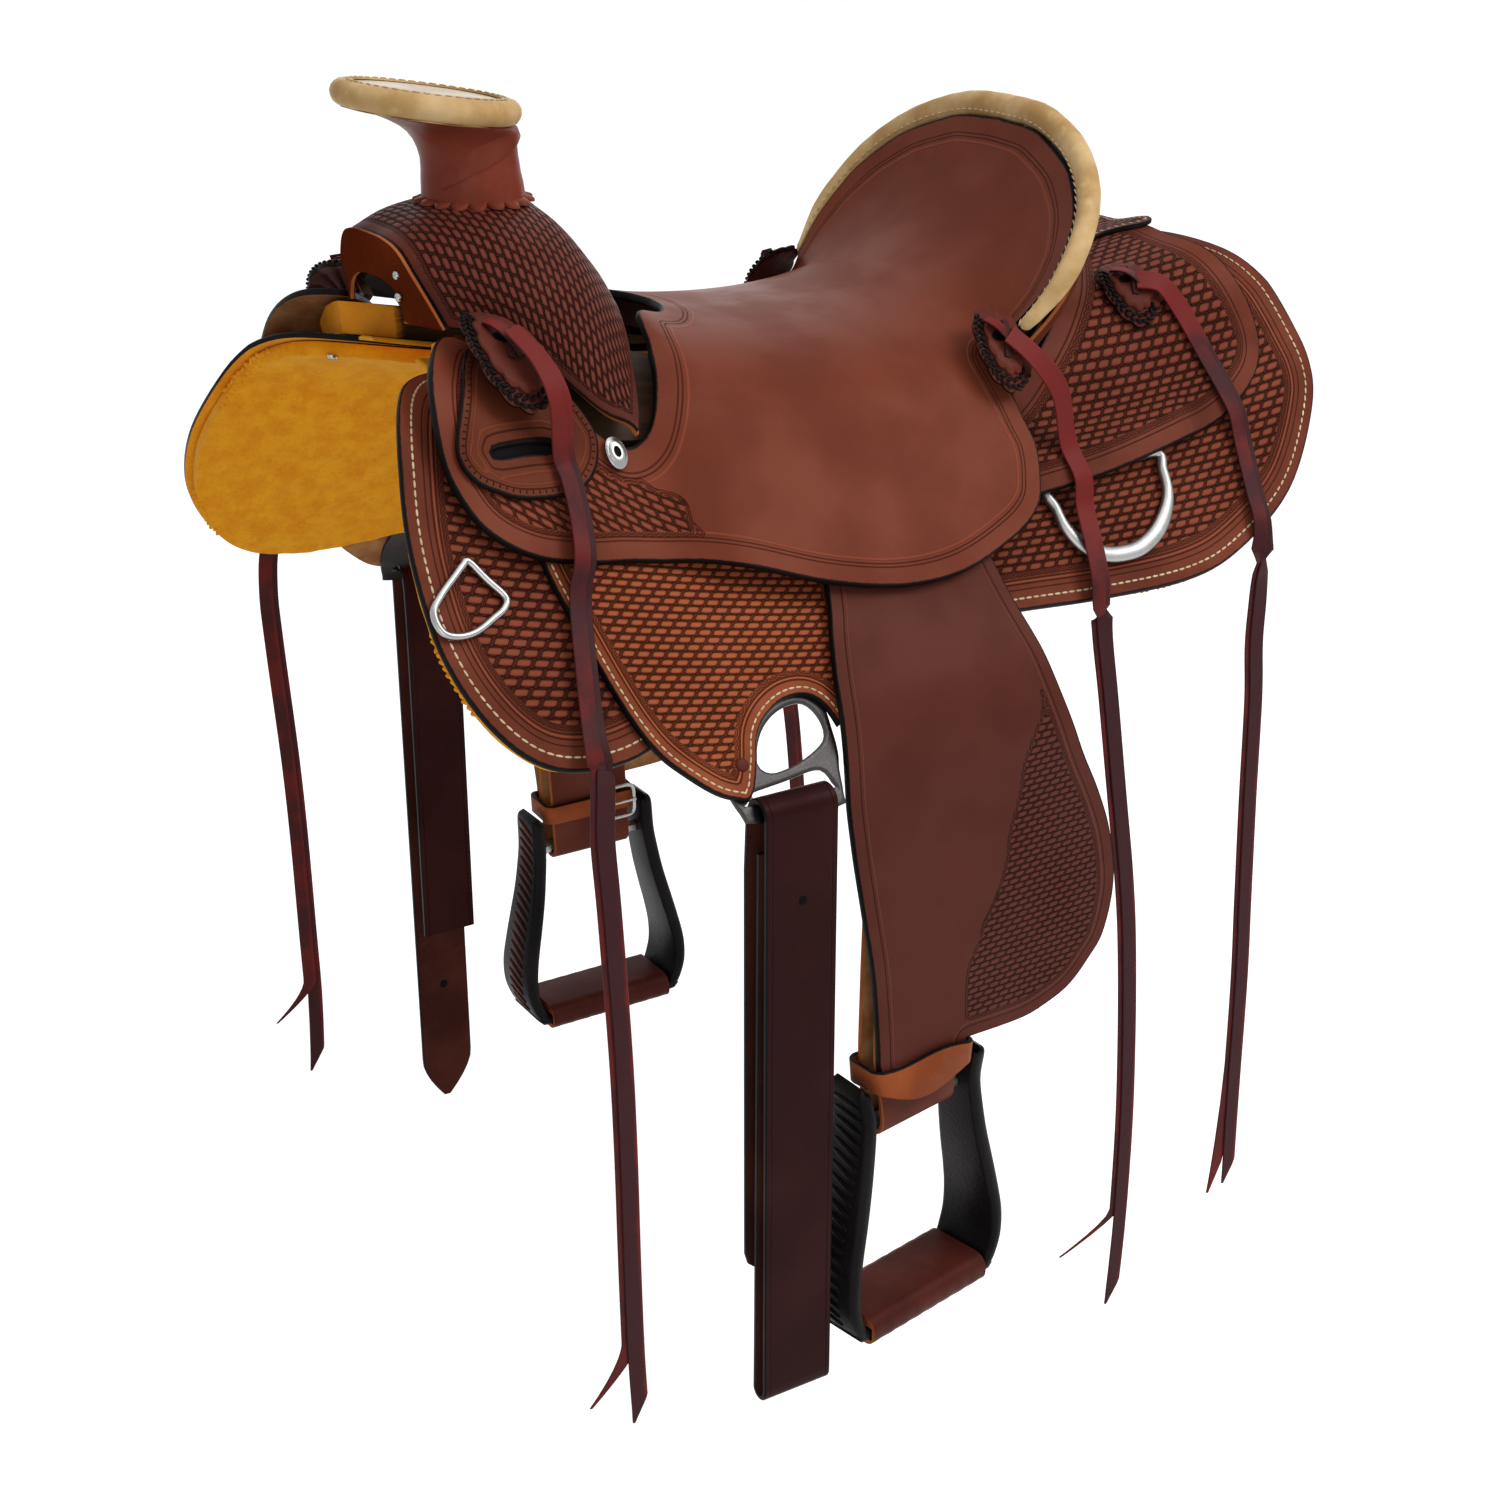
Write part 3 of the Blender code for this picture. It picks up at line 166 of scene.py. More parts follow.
# %% Seat heights
CENTRE = [(-118, 68), (-90, 58.5), (-50, 50.5), (0, 45.5), (40, 45), (75, 49), (105, 57)]
END_X, END_T, RAWHIDE = 105.0, 98.0, 18.5


def over(knots, v):
    """Smooth height over knots of (place, height)."""
    v = min(knots[-1][0], max(knots[0][0], v))
    for i, (a, b) in enumerate(zip(knots, knots[1:])):
        if v <= b[0]:
            before, after = knots[max(0, i - 1)], knots[min(len(knots) - 1, i + 2)]
            w = b[0] - a[0]
            m0 = w * (b[1] - before[1]) / (b[0] - before[0])
            m1 = w * (after[1] - a[1]) / (after[0] - a[0])
            u = (v - a[0]) / w
            return (
                (2 * u**3 - 3 * u * u + 1) * a[1] + (u**3 - 2 * u * u + u) * m0
                + (3 * u * u - 2 * u**3) * b[1] + (u**3 - u * u) * m1)
    return knots[-1][1]


def place_over(marks, places, v):
    """A smooth place through places of any number of values, each with its mark."""
    marks = list(marks)
    return [over(list(zip(marks, values)), v) for values in zip(*places)]


def seat_h(x, t):
    """How high the seat leather's top lies over the back, where nothing crowns it."""
    return 26.0 + 12.6 * ease(-175, -105, x) + 0.85 * bump_of(t)


def seat_low(x, t):
    """The seat up to the foot of the dish."""
    side, t = (NEAR if t < 0 else OFF), abs(t)
    plain = drape(x, t, seat_h(x, t), side)
    crown = ease(-152, -112, x)
    if t >= 125 or crown == 0:
        return plain
    low, above, below = (drape(x, s, seat_h(x, s), side) for s in (125, 124, 126))
    top = Vector((x, 0, over(CENTRE, x)))
    b, c = Vector((x, low.y * 0.5, top.z)), low + (above - below).normalized() * 44
    u = t / 125
    return plain.lerp(
        top * (1 - u) ** 3 + b * 3 * u * (1 - u) ** 2 + c * 3 * u * u * (1 - u) + low * u**3, crown)


print("seat at its lowest:", round(min(seat_low(x, 0).z for x in range(-110, 100, 5)), 1), "mm")

# %% [markdown]
# The cantle's rim is drawn as it looks from behind, and leans back more the higher it stands. The dish runs
# up to it from the seat in one hollow sweep.

# %% Rim and dish
end = seat_low(END_X, END_T)
RIM = [
    (0, 165), (37, 163.5), (69, 156), (96, 145), (119, 129.5), (135, 111), (144, 88), (145, 73), (139, 55),
    (131, 40),
    (abs(end.y), end.z),
]


def marks_of(points):
    """The length of a line up to each of its points."""
    marks = [0.0]
    for a, b in zip(points, points[1:]):
        marks.append(marks[-1] + math.dist(a, b))
    return marks


RIM_MARKS = marks_of(RIM)


def rim(f):
    """The cantle's outer edge: f runs from -1 at the near end over the top at 0 to 1 at the off end."""
    y, z = place_over(RIM_MARKS, RIM, abs(f) * RIM_MARKS[-1])
    return Vector((105.3 + 0.8625 * (z - 25) - 0.000946 * (z - 25) ** 2, y if f >= 0 else -y, z))


def dish_depth(f):
    return 150.0 * math.sqrt(max(0.0, 1 - f * f))


def dish(f, v, edge):
    """The dish's surface: v = 0 at the seat, 1 at edge mm inside the rim."""
    foot, top = seat_low(END_X, f * END_T), rim(f)
    mid = foot + Vector(share * (b - a) for share, a, b in zip((0.62, 0.45, 0.16), foot, top))
    v = v * (1 - edge / max(2.2 * edge, 2.0 * (top - mid).length))
    return foot * (1 - v) ** 2 + mid * 2 * v * (1 - v) + top * v * v


def seat_top(x, t):
    """The whole seat, dish and all."""
    if x <= END_X or abs(t) >= END_T:
        return seat_low(x, t)
    deep = dish_depth(t / END_T)
    return dish(t / END_T, min(1.0, (x - END_X) / deep) if deep > 1 else 0.0, RAWHIDE)


print("cantle rim stands", round(rim(0).z), "mm above the rack")


# %% [markdown]
# ## Outlines
#
# An outline is drawn with few points. A smooth curve goes through them, and stops being smooth at those
# marked as corners. For a mesh its points are then set an even gap apart.

# %% Smooth lines
def through(points, n, closed=False, corners=()):
    """A smooth line through places of any number of values, n steps between two of them."""
    p = [np.array(tuple(q), float) for q in points]
    count, found = len(p), []
    for i in range(count if closed else count - 1):
        j = (i + 1) % count
        before = i - 1 if (closed or i) and i not in corners else i
        after = (j + 1) % count if (closed or j < count - 1) and j not in corners else j
        a, b, c, d = (p[k] for k in (before, i, j, after))
        second, third = 2 * a - 5 * b + 4 * c - d, 3 * b - a - 3 * c + d
        found += [
            0.5 * (2 * b + (c - a) * u + second * u * u + third * u**3) for u in (k / n for k in range(n))]
    return found if closed else found + [p[-1]]


def curve(points, n=6, closed=True):
    """A flat outline's smooth line. A third value of 1 makes a corner."""
    corners = [i for i, p in enumerate(points) if len(p) > 2]
    return through([p[:2] for p in points], n, closed, corners)


def evenly(points, gap):
    """A closed line with its points a gap apart. Corners sharper than 35 degrees stay."""
    line = [Vector(p[:2]) for p in points]
    line = [p for i, p in enumerate(line) if (p - line[i - 1]).length > 1e-4]
    n = len(line)
    turns = [(line[i] - line[i - 1]).angle_signed(line[(i + 1) % n] - line[i], 0) for i in range(n)]
    keep = [i for i, turn in enumerate(turns) if abs(turn) > math.radians(35)] or [0]
    found = []
    for a, b in zip(keep, keep[1:] + [keep[0] + n]):
        run = [line[k % n] for k in range(a, b + 1)]
        marks = marks_of(run)
        steps = max(1, round(marks[-1] / gap))
        for k in range(steps):
            at = marks[-1] * k / steps
            j = min(max(i for i, m in enumerate(marks) if m <= at + 1e-9), len(run) - 2)
            found.append(run[j].lerp(run[j + 1], (at - marks[j]) / max(1e-9, marks[j + 1] - marks[j])))
    return np.array([tuple(p) for p in found])


circle = curve([(9, 0), (0, 9), (-9, 0), (0, -9)])
print("a circle of four points, made even:", len(evenly(circle, 3)), "points")


# %% [markdown]
# Tooling lines, stitching and the stamped field all run parallel to a piece's edge, so the next helpers
# measure flat places against a closed line: how far away it is, how far along it, and on which side.

# %% Measuring against an outline
def nearest(points, loop):
    """How far each point is from a closed line, and how far along it the nearest place is."""
    lengths = np.hypot(*(np.roll(loop, -1, axis=0) - loop).T)
    starts = np.concatenate([[0], np.cumsum(lengths)[:-1]])
    best, along = np.full(len(points), 1e9), np.zeros(len(points))
    for p, q, start, length in zip(loop, np.roll(loop, -1, axis=0), starts, lengths):
        d = q - p
        u = np.clip(((points - p) @ d) / max(1e-12, d @ d), 0, 1)
        gap = np.hypot(*(points - p - u[:, None] * d).T)
        nearer = gap < best
        best[nearer], along[nearer] = gap[nearer], (start + u * length)[nearer]
    return best, along


def inside(points, loop):
    """Which points a closed line goes round."""
    found = np.zeros(len(points), bool)
    x, y = points.T
    for (x0, y0), (x1, y1) in zip(loop, np.roll(loop, -1, axis=0)):
        if y0 != y1:
            found ^= ((y0 > y) != (y1 > y)) & (x < (x1 - x0) * (y - y0) / (y1 - y0) + x0)
    return found


def depth_in(points, loop):
    """How far each point is inside a closed line, negative outside it."""
    return nearest(points, loop)[0] * np.where(inside(points, loop), 1, -1)


def normals_beside(loop):
    """The unit normals of a closed flat line."""
    along = np.roll(loop, -1, axis=0) - np.roll(loop, 1, axis=0)
    return np.stack([-along[:, 1], along[:, 0]], 1) / np.hypot(*along.T)[:, None]


square = np.array([(0.0, 0.0), (10.0, 0.0), (10.0, 10.0), (0.0, 10.0)])
print("middle of a 10 mm square is", float(depth_in(np.array([(5.0, 5.0)]), square)[0]), "mm in")


# %% [markdown]
# ## From a pattern to a piece of leather
#
# Blender fills an outline best with a constrained triangulation: the outline and a few rows inside it are
# kept, and a grid of points fills the rest. Each point remembers its place on the flat pattern and its
# distance from the cut edge.

# %% Flat patterns
def pattern(outline, cutouts=(), step=5.0, rows=(0.9, 2.4, 5.5), gap=3.5):
    """Points (x, t, distance from the cut edge) and triangles of a flat piece."""
    loops = [evenly(loop, gap) for loop in [outline, *cutouts]]

    def on_leather(points):
        ok = inside(points, loops[0])
        for hole in loops[1:]:
            ok &= ~inside(points, hole)
        return ok

    def clear_of_edges(points, least):
        ok = on_leather(points)
        for loop in loops:
            ok &= nearest(points, loop)[0] > least
        return points[ok]

    xs, ts = (np.arange(a + step / 2, b, step) for a, b in zip(loops[0].min(0), loops[0].max(0)))
    grid = np.array([(x + k % 2 * step / 2, t) for k, t in enumerate(ts) for x in xs])
    free = [clear_of_edges(grid, rows[-1] + step * 0.45)]
    edges, start = [], 0
    for loop in loops:
        for row in rows:
            free += [clear_of_edges(loop + normals_beside(loop) * way * row, row * 0.97) for way in (-1, 1)]
        edges += [(start + i, start + (i + 1) % len(loop)) for i in range(len(loop))]
        start += len(loop)
    points = [Vector(p) for p in np.concatenate(loops + free)]
    verts, _, faces, *_ = geometry.delaunay_2d_cdt(points, edges, [], 0, 1e-4)
    flat = np.array([tuple(v) for v in verts])
    faces = np.array([f for f in faces if len(f) == 3])
    faces = faces[on_leather(flat[faces].mean(1))]
    (ax, ay), (bx, by), (cx, cy) = (flat[faces[:, i]].T for i in range(3))
    turned = (bx - ax) * (cy - ay) - (by - ay) * (cx - ax) < 0
    faces[turned] = faces[turned][:, ::-1]
    distance = np.min([nearest(flat, loop)[0] for loop in loops], axis=0)
    return np.column_stack([flat, distance]), faces


print("a 10 mm square of leather:", len(pattern(square)[1]), "triangles")


# %% [markdown]
# Every piece ends in the same way: a mesh in metres, its finishes, the body it rides on and the solids it
# stands for. Rings of points joined in order make most of the round things.

# %% Pieces
def outward(points, faces):
    """The faces turned so that they point out of the closed shape."""
    p = np.asarray([tuple(v) for v in points])
    volume = sum(float(p[f[0]] @ np.cross(p[b], p[c])) for f in faces for b, c in zip(f[1:], f[2:]))
    return faces if volume > 0 else [tuple(f)[::-1] for f in faces]


def loft(rings, ends=True):
    """Points and faces of rings joined in order, closed by their ends or joined last to first."""
    n, count = len(rings[0]), len(rings)
    points = [p for ring in rings for p in ring]
    faces = []
    for r in range(count - 1 if ends else count):
        q = (r + 1) % count
        faces += [(r * n + c, r * n + (c + 1) % n, q * n + (c + 1) % n, q * n + c) for c in range(n)]
    if ends:
        faces += [tuple(range(n))[::-1], tuple((count - 1) * n + c for c in range(n))]
    return points, outward(points, faces)


def piece(
        name, shape, finishes, body="saddle", slot="skirt_leather", node=None, which=None, numbers=None,
        sharp=42):
    """A finished piece from points in millimetres and faces. which lists each face's finish, or finds it
    from the face; numbers holds named values of the points, and node is the solid that it stands for."""
    points, faces = shape
    mesh = bpy.data.meshes.new(name)
    mesh.from_pydata(
        [tuple(v * MM for v in p) for p in points], [], [tuple(int(i) for i in f) for f in faces])
    for finish_ in finishes:
        mesh.materials.append(finish_)
    if callable(which):
        which = [which(f) for f in faces]
    if which is not None:
        mesh.polygons.foreach_set("material_index", np.asarray(which, np.int32))
    for key, values in (numbers or {}).items():
        values = np.asarray(values, np.float32)
        kind, field = ("FLOAT_VECTOR", "vector") if values.ndim > 1 else ("FLOAT", "value")
        mesh.attributes.new(key, kind, "POINT").data.foreach_set(field, values.ravel())
    mesh.shade_smooth()
    mesh.set_sharp_from_angle(angle=math.radians(sharp))
    return fitted(bpy.data.objects.new(name, mesh), body, slot, node)


def fitted(obj, body, slot, node=None):
    """What a piece moves with and the solid it stands for. slot is not used."""
    bpy.context.scene.collection.objects.link(obj)
    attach(obj, body)
    if node:
        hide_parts(node)
    return obj


def around(n):
    """n angles round a circle."""
    return [2 * math.pi * k / n for k in range(n)]


drum = loft([[(math.cos(v), math.sin(v), z) for v in around(8)] for z in (0, 1)])
print("a drum of 8 sides has", len(drum[1]), "faces")


# %% [markdown]
# A piece of leather has a finished top, a rough underside and a cut edge, and its top edge is rounded with a
# hand tool. The walls go where a triangle of the pattern has no neighbour.

# %% Closed leather
def rounding(distance, roll):
    """How far the rounded edge lies below the top."""
    q = np.clip(1 - (1 - distance / roll) ** 2, 0, 1)
    return np.where(distance < roll, roll * (1 - np.sqrt(q)), 0)


def closed_leather(
        name, upper, lower, faces, finishes, numbers, body="saddle", slot="skirt_leather", node=None):
    """A piece from its two faces. finishes are for its top, its underside and its edge."""
    n = len(upper)
    edges = {(int(a), int(b)) for f in faces for a, b in ((f[0], f[1]), (f[1], f[2]), (f[2], f[0]))}
    walls = sorted((b, a, a + n, b + n) for a, b in edges if (b, a) not in edges)
    every = [*faces, *(f[::-1] + n for f in faces), *walls]
    points = [*upper, *lower]
    at_edge = numbers["flat"][faces][:, :, 2].max(1) < 1.0
    which = [*np.where(at_edge, 2, 0), *[1] * len(faces), *[2] * len(walls)]
    doubled = {key: np.concatenate([values, values]) for key, values in numbers.items()}
    return piece(name, (points, outward(points, every)), finishes, body, slot, node, which, doubled)


def hide(name, surface, faces, numbers, finishes, thick, node, slot="skirt_leather", start=0.0, outer=1):
    """A hide start mm below a surface bent both ways, and thick mm down. outer is -1 where its faces look
    the other way."""
    p = np.array([tuple(v) for v in surface])
    n = np.zeros_like(p)
    crossed = np.cross(p[faces[:, 1]] - p[faces[:, 0]], p[faces[:, 2]] - p[faces[:, 0]])
    for k in range(3):
        np.add.at(n, faces[:, k], crossed)
    n *= outer / np.linalg.norm(n, axis=1)[:, None]
    drop = np.minimum(rounding(numbers["flat"][:, 2], 1.3), thick * 0.45)
    upper, lower = p - n * (start + drop)[:, None], p - n * (start + thick)
    return closed_leather(name, upper, lower, faces, finishes, numbers, slot=slot, node=node)


def leather_piece(
        name, outline, at, low, high, finishes, body="saddle", slot="skirt_leather", margin=None,
        field=None,
        cutouts=(), step=5.0, rows=(0.9, 2.4, 5.5), roll=1.3):
    """A pattern laid on a surface, between two heights. margin is how far the stamped field stays inside the
    edge, and field, a closed line, narrows it."""
    flat, faces = pattern(outline, cutouts, step, rows)
    places = flat[:, :2]
    limits = [] if margin is None else [flat[:, 2] - margin]
    if field is not None:
        limits.append(depth_in(places, evenly(field, 3.0)))
    upper, lower = [], []
    for x, t, drop in zip(*places.T, rounding(flat[:, 2], roll)):
        a, b = (at(x, t, h(x, t) if callable(h) else h) for h in (high, low))
        upper.append(a + (b - a).normalized() * min(drop, (b - a).length * 0.45))
        lower.append(b)
    numbers = {
        "flat": flat, "panel": np.min(limits, axis=0) if limits else np.full(len(flat), -50.0),
        "along": nearest(places, evenly(outline, 3.5))[1],
    }
    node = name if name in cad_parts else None
    return closed_leather("cut_" + name, upper, lower, faces, finishes, numbers, body, slot, node)


print("leather tools ready")


# %% [markdown]
# ## Finishes
#
# A finish in Blender is a tree of nodes. Most of these trees are sums, so a small class lets them be written
# as sums: it holds one node's output, and adding or multiplying two of them makes the node that does so.

# %% Node trees written as sums
def connect(value, socket):
    if isinstance(value, Value):
        socket.id_data.links.new(value.socket, socket)
    elif value is not None:
        socket.default_value = value


def node(kind, *inputs, tree=None, out=0, **settings):
    """A new node's output. An input is a number, a colour, another node's output, or None for its usual
    value."""
    made = (tree or next(v.tree for v in inputs if isinstance(v, Value))).nodes.new(kind)
    for key, value in settings.items():
        setattr(made, key, value)
    for value, socket in zip(inputs, made.inputs):
        connect(value, socket)
    return Value(made.outputs[out])


def maths(how, *values):
    return node("ShaderNodeMath", *values, operation=how)


class Value:
    """A node's output, for use in sums."""

    def __init__(self, socket):
        self.socket, self.tree = socket, socket.id_data

    def __add__(self, other):
        return maths("ADD", self, other)

    def __sub__(self, other):
        return maths("SUBTRACT", self, other)

    def __rsub__(self, other):
        return maths("SUBTRACT", other, self)

    def __mul__(self, other):
        return maths("MULTIPLY", self, other)

    def __truediv__(self, other):
        return maths("DIVIDE", self, other)

    def __pow__(self, other):
        return maths("POWER", self, other)

    def __abs__(self):
        return maths("ABSOLUTE", self)

    def most(self, other):
        return maths("MAXIMUM", self, other)


def ramp(value, a, b, to_a=0.0, to_b=1.0):
    """value run smoothly from a..b to to_a..to_b."""
    return node("ShaderNodeMapRange", value, a, b, to_a, to_b, interpolation_type="SMOOTHSTEP")


def mixed(factor, a, b):
    return node("ShaderNodeMix", factor, *[None] * 5, a, b, out=2, data_type="RGBA")


def noise(place, scale, detail=2.0, rough=0.5):
    return node("ShaderNodeTexNoise", place, None, scale, detail, rough)


def shade(r, g, b):
    """A colour as the eye reads it on a screen, 0 to 255, made linear for Blender."""
    parts = (r / 255, g / 255, b / 255)
    return (*(c / 12.92 if c <= 0.04045 else ((c + 0.055) / 1.055) ** 2.4 for c in parts), 1.0)


def tinted(tone, much):
    """A colour made brighter or darker."""
    return tuple(min(1.0, c * much) for c in tone[:3]) + (1.0,)


print("mid grey on a screen is", round(shade(128, 128, 128)[0], 3), "of the light")


# %% [markdown]
# Every leather on the saddle shares a few effects. Each is a node group that puts out heights and masks, and
# the materials mix them with their own colours. So the same stamp looks dark and oily on the skirt and
# bright on the rigging.

# %% Node groups
def group(name, takes, build):
    """A group with named inputs, each with its usual value or None for a place. build makes its named
    outputs."""
    tree = bpy.data.node_groups.new(name, "ShaderNodeTree")
    for key, value in takes.items():
        kind = "NodeSocketVector" if value is None else "NodeSocketFloat"
        connect(value, tree.interface.new_socket(key, in_out="INPUT", socket_type=kind))
    entering = tree.nodes.new("NodeGroupInput").outputs
    given = build(*(Value(entering[key]) for key in takes))
    for key in given:
        tree.interface.new_socket(key, in_out="OUTPUT", socket_type="NodeSocketFloat")
    leaving = tree.nodes.new("NodeGroupOutput").inputs
    for key, value in given.items():
        connect(value, leaving[key])
    return tree


def use(effect, **inputs):
    """A group placed in a material, as its named outputs."""
    placed = next(v.tree for v in inputs.values() if isinstance(v, Value)).nodes.new("ShaderNodeGroup")
    placed.node_tree = effect
    for key, value in inputs.items():
        connect(value, placed.inputs[key])
    return {socket.name: Value(socket) for socket in placed.outputs}


def grain_of(place, pores, mottle):
    fine = node("ShaderNodeTexVoronoi", place, None, pores) * 0.6 + noise(place, 260.0, 3.0, 0.6)
    return {"Height": fine, "Tone": ramp(noise(place, mottle, 4.0), 0.32, 0.68)}


def wear_of(place, scale, much):
    return {"Mask": ramp(noise(place, scale, 5.0, 0.65) + much * 0.4, 0.62, 0.82)}


GRAIN = group("leather grain", {"Place": None, "Pores": 900.0, "Mottle": 16.0}, grain_of)
WEAR = group("rubbed places", {"Place": None, "Scale": 40.0, "Much": 0.4}, wear_of)
print("grain and wear made: pores a millimetre apart, oil soaked in over a hand's width")


# %% [markdown]
# The basket stamp is a small steel tool with two curved feet. Struck in rows, each half a step along from
# the last, its marks read as strands woven over and under. In the group a strand is a rounded bar, and
# between two bars in a row the ribbed strand beneath shows. The pattern works in millimetres on the flat
# leather, so it bends with the piece.

# %% The basket stamp
def basket_of(place, long, high, lean):
    turned = node("ShaderNodeVectorRotate", place, (0, 0, 0), (0, 0, 1), lean)
    x, y = (node("ShaderNodeSeparateXYZ", turned, out=k) for k in (0, 1))
    rows = y / high
    in_row = maths("FRACT", rows) - 0.5
    in_bar = maths("FRACT", in_row * 0.3 + (maths("FLOOR", rows) * 0.5 + x / long)) - 0.5
    aside, upward = abs(in_bar), abs(in_row)
    dome = 1.0 - ((aside / 0.40) ** 6.0 + (upward / 0.37) ** 3.4)
    ribs = maths("COSINE", in_bar * 69.1) * 0.16 + 0.34
    from_next = ramp(aside, 0.14, 0.11) * ramp(upward, 0.30, 0.38)
    under = ribs * ramp(aside, 0.36, 0.39).most(from_next)
    height = (dome.most(0.0) ** 0.5).most(under)
    # Deep marks the low places, which the leathers darken as painted shade.
    return {"Height": height, "Deep": ramp(height, 0.72, 0.16)}


STAMP = group("basket stamp", {"Place": None, "Long": 12.0, "High": 6.5, "Lean": 0.0}, basket_of)
print("basket stamp:", len(STAMP.nodes), "nodes")


# %% [markdown]
# Tooled lines run beside every edge. The pieces carry their distance from the cut edge, so a line is only a
# narrow range of that distance. A border of small crescents, struck side by side, hides where the basket
# rows are cut off. The cut edge itself is dyed black, with a brush that wanders a little.

# %% Tooled lines, crescents and the dyed edge
def line_of(distance, at, width):
    return {"Mask": ramp(abs(distance - at) / width, 0.75, 0.25)}


def crescents_of(distance, along, step, deep):
    aside = (maths("FRACT", along / step) - 0.5) * step
    reach = maths("SQRT", aside**2.0 + (distance + 0.4) ** 2.0)
    band = ramp(distance, -0.3, 0.3) * ramp(deep - distance, -0.3, 0.3)
    return {"Height": maths("COSINE", reach * 4.4) * 0.5 + 0.5, "Mask": band}


def dye_of(distance, place, reach):
    return {"Mask": ramp(distance + (noise(place, 300.0) - 0.5) - reach, 0.3, -0.3)}


LINE = group("tooled line", {"Distance": 0.0, "At": 10.0, "Width": 1.0}, line_of)
CRESCENTS = group(
    "crescent border", {"Distance": 0.0, "Along": 0.0, "Step": 5.0, "Deep": 3.6}, crescents_of)
DYE = group("dyed edge", {"Distance": 0.0, "Place": None, "Reach": 1.6}, dye_of)
print("groups:", ", ".join(g.name for g in bpy.data.node_groups))


# %% [markdown]
# One function makes every tooled leather, and another the plain ones. They read the piece's own numbers:
# where a point lies on the flat pattern, how far in from the edge, how far inside the stamped field, and how
# far along the border.

# %% Making leathers
def finish(name, rough=0.5, metal=0.0, **sockets):
    """A plain material and its shader. In the sockets' names _ stands for a space."""
    made = bpy.data.materials.new(name)
    made.use_nodes = True
    shader = made.node_tree.nodes["Principled BSDF"]
    for key, value in {"Roughness": rough, "Metallic": metal, **sockets}.items():
        shader.inputs[key.replace("_", " ")].default_value = value
    return made, shader


def number(shader, key, out="Fac"):
    """A named value that the piece's points carry."""
    return node("ShaderNodeAttribute", tree=shader.id_data, out=out, attribute_name=key)


def here(shader):
    return node("ShaderNodeTexCoord", tree=shader.id_data, out="Object")


def give(shader, colour, rough, height, distance=MM):
    """Colour, roughness and relief, in millimetres, on the shader."""
    connect(colour, shader.inputs["Base Color"])
    connect(rough, shader.inputs["Roughness"])
    connect(node("ShaderNodeBump", 1.0, distance, None, height), shader.inputs["Normal"])


def line_mask(distance, at, width):
    return use(LINE, Distance=distance, At=at, Width=width)["Mask"]


def leather(
        name, light, dark, rough=0.42, stamp=None, border=None, bead=None, lines=(), dye=1.6, relief=0.8):
    """light and dark are the leather's two tones. stamp is (long, high, lean), and border is how wide the
    crescents outside the stamped field are. bead is a raised line's (place, width) outside the field. lines
    are (distance, width, depth) from the cut edge, and a line of negative depth is raised. Raised places
    (the stamp's tops, the bead and raised lines) are lightened as a painted highlight, and pressed places
    are darkened as painted shade."""
    light, dark = shade(*light), shade(*dark)
    made, shader = finish(
        name, rough, Coat_Roughness=0.3, Specular_IOR_Level=0.07, Specular_Tint=(1.0, 0.6, 0.45, 1.0))
    place, flat = here(shader), number(shader, "flat", "Vector")
    edge = node("ShaderNodeSeparateXYZ", flat, out=2)
    grain = use(GRAIN, Place=place)
    colour, height, painted_shade_hollows = mixed(grain["Tone"], dark, light), grain["Height"] * 0.05, []
    if stamp:
        field = number(shader, "panel")
        outside, within = field * -1.0, ramp(field, -0.2, 0.4)
        weave = use(STAMP, Place=flat, Long=stamp[0], High=stamp[1], Lean=stamp[2])
        # Painted shade: the stamp's hollows are darkened in colour.
        painted_shade_hollows.append(weave["Deep"] * within)
        height = (weave["Height"] - 0.9) * (within * relief) + height
        # Painted highlight: the stamp's raised tops are lightened in colour.
        painted_highlight_tops = (weave["Height"] - 0.72) * within
        colour = mixed(painted_highlight_tops.most(0.0) * 2.2, colour, tinted(light, 1.5))
        moons = use(CRESCENTS, Distance=outside, Along=number(shader, "along"), Deep=border)
        low = moons["Mask"] * (1.0 - moons["Height"])
        painted_shade_hollows.append(low * 0.8)
        height = height - low * 0.5
    if bead:
        at, width = bead
        # Painted highlight: the raised bead is lightened in colour; the grooves beside it are darkened as
        # painted shade.
        ridge = line_mask(outside, at, width)
        height = height + ridge * 0.5
        colour = mixed(ridge * 0.5, colour, tinted(light, 1.9))
        for beside in (at - width, at + width):
            groove = line_mask(outside, beside, 0.9)
            painted_shade_hollows.append(groove * 0.75)
            height = height - groove * 0.35
    # Pressed lines are darkened as painted shade; raised lines are lightened as a painted highlight.
    for at, width, depth in lines:
        cut = line_mask(edge, at, width)
        height = height - cut * depth
        if depth > 0:
            painted_shade_hollows.append(cut * 0.7)
        else:
            colour = mixed(cut * 0.4, colour, tinted(light, 1.8))
    deep = painted_shade_hollows[0]
    for other in painted_shade_hollows[1:]:
        deep = deep.most(other)
    # Everything pressed in is darkened here: painted shade.
    colour = mixed(deep, colour, tinted(dark, 0.2))
    colour = mixed(use(DYE, Distance=edge, Place=place, Reach=dye)["Mask"], colour, shade(18, 15, 15))
    shine = deep * 0.25 + ramp(grain["Tone"], 0.0, 1.0, rough + 0.07, rough - 0.05)
    give(shader, colour, shine, height)
    return made


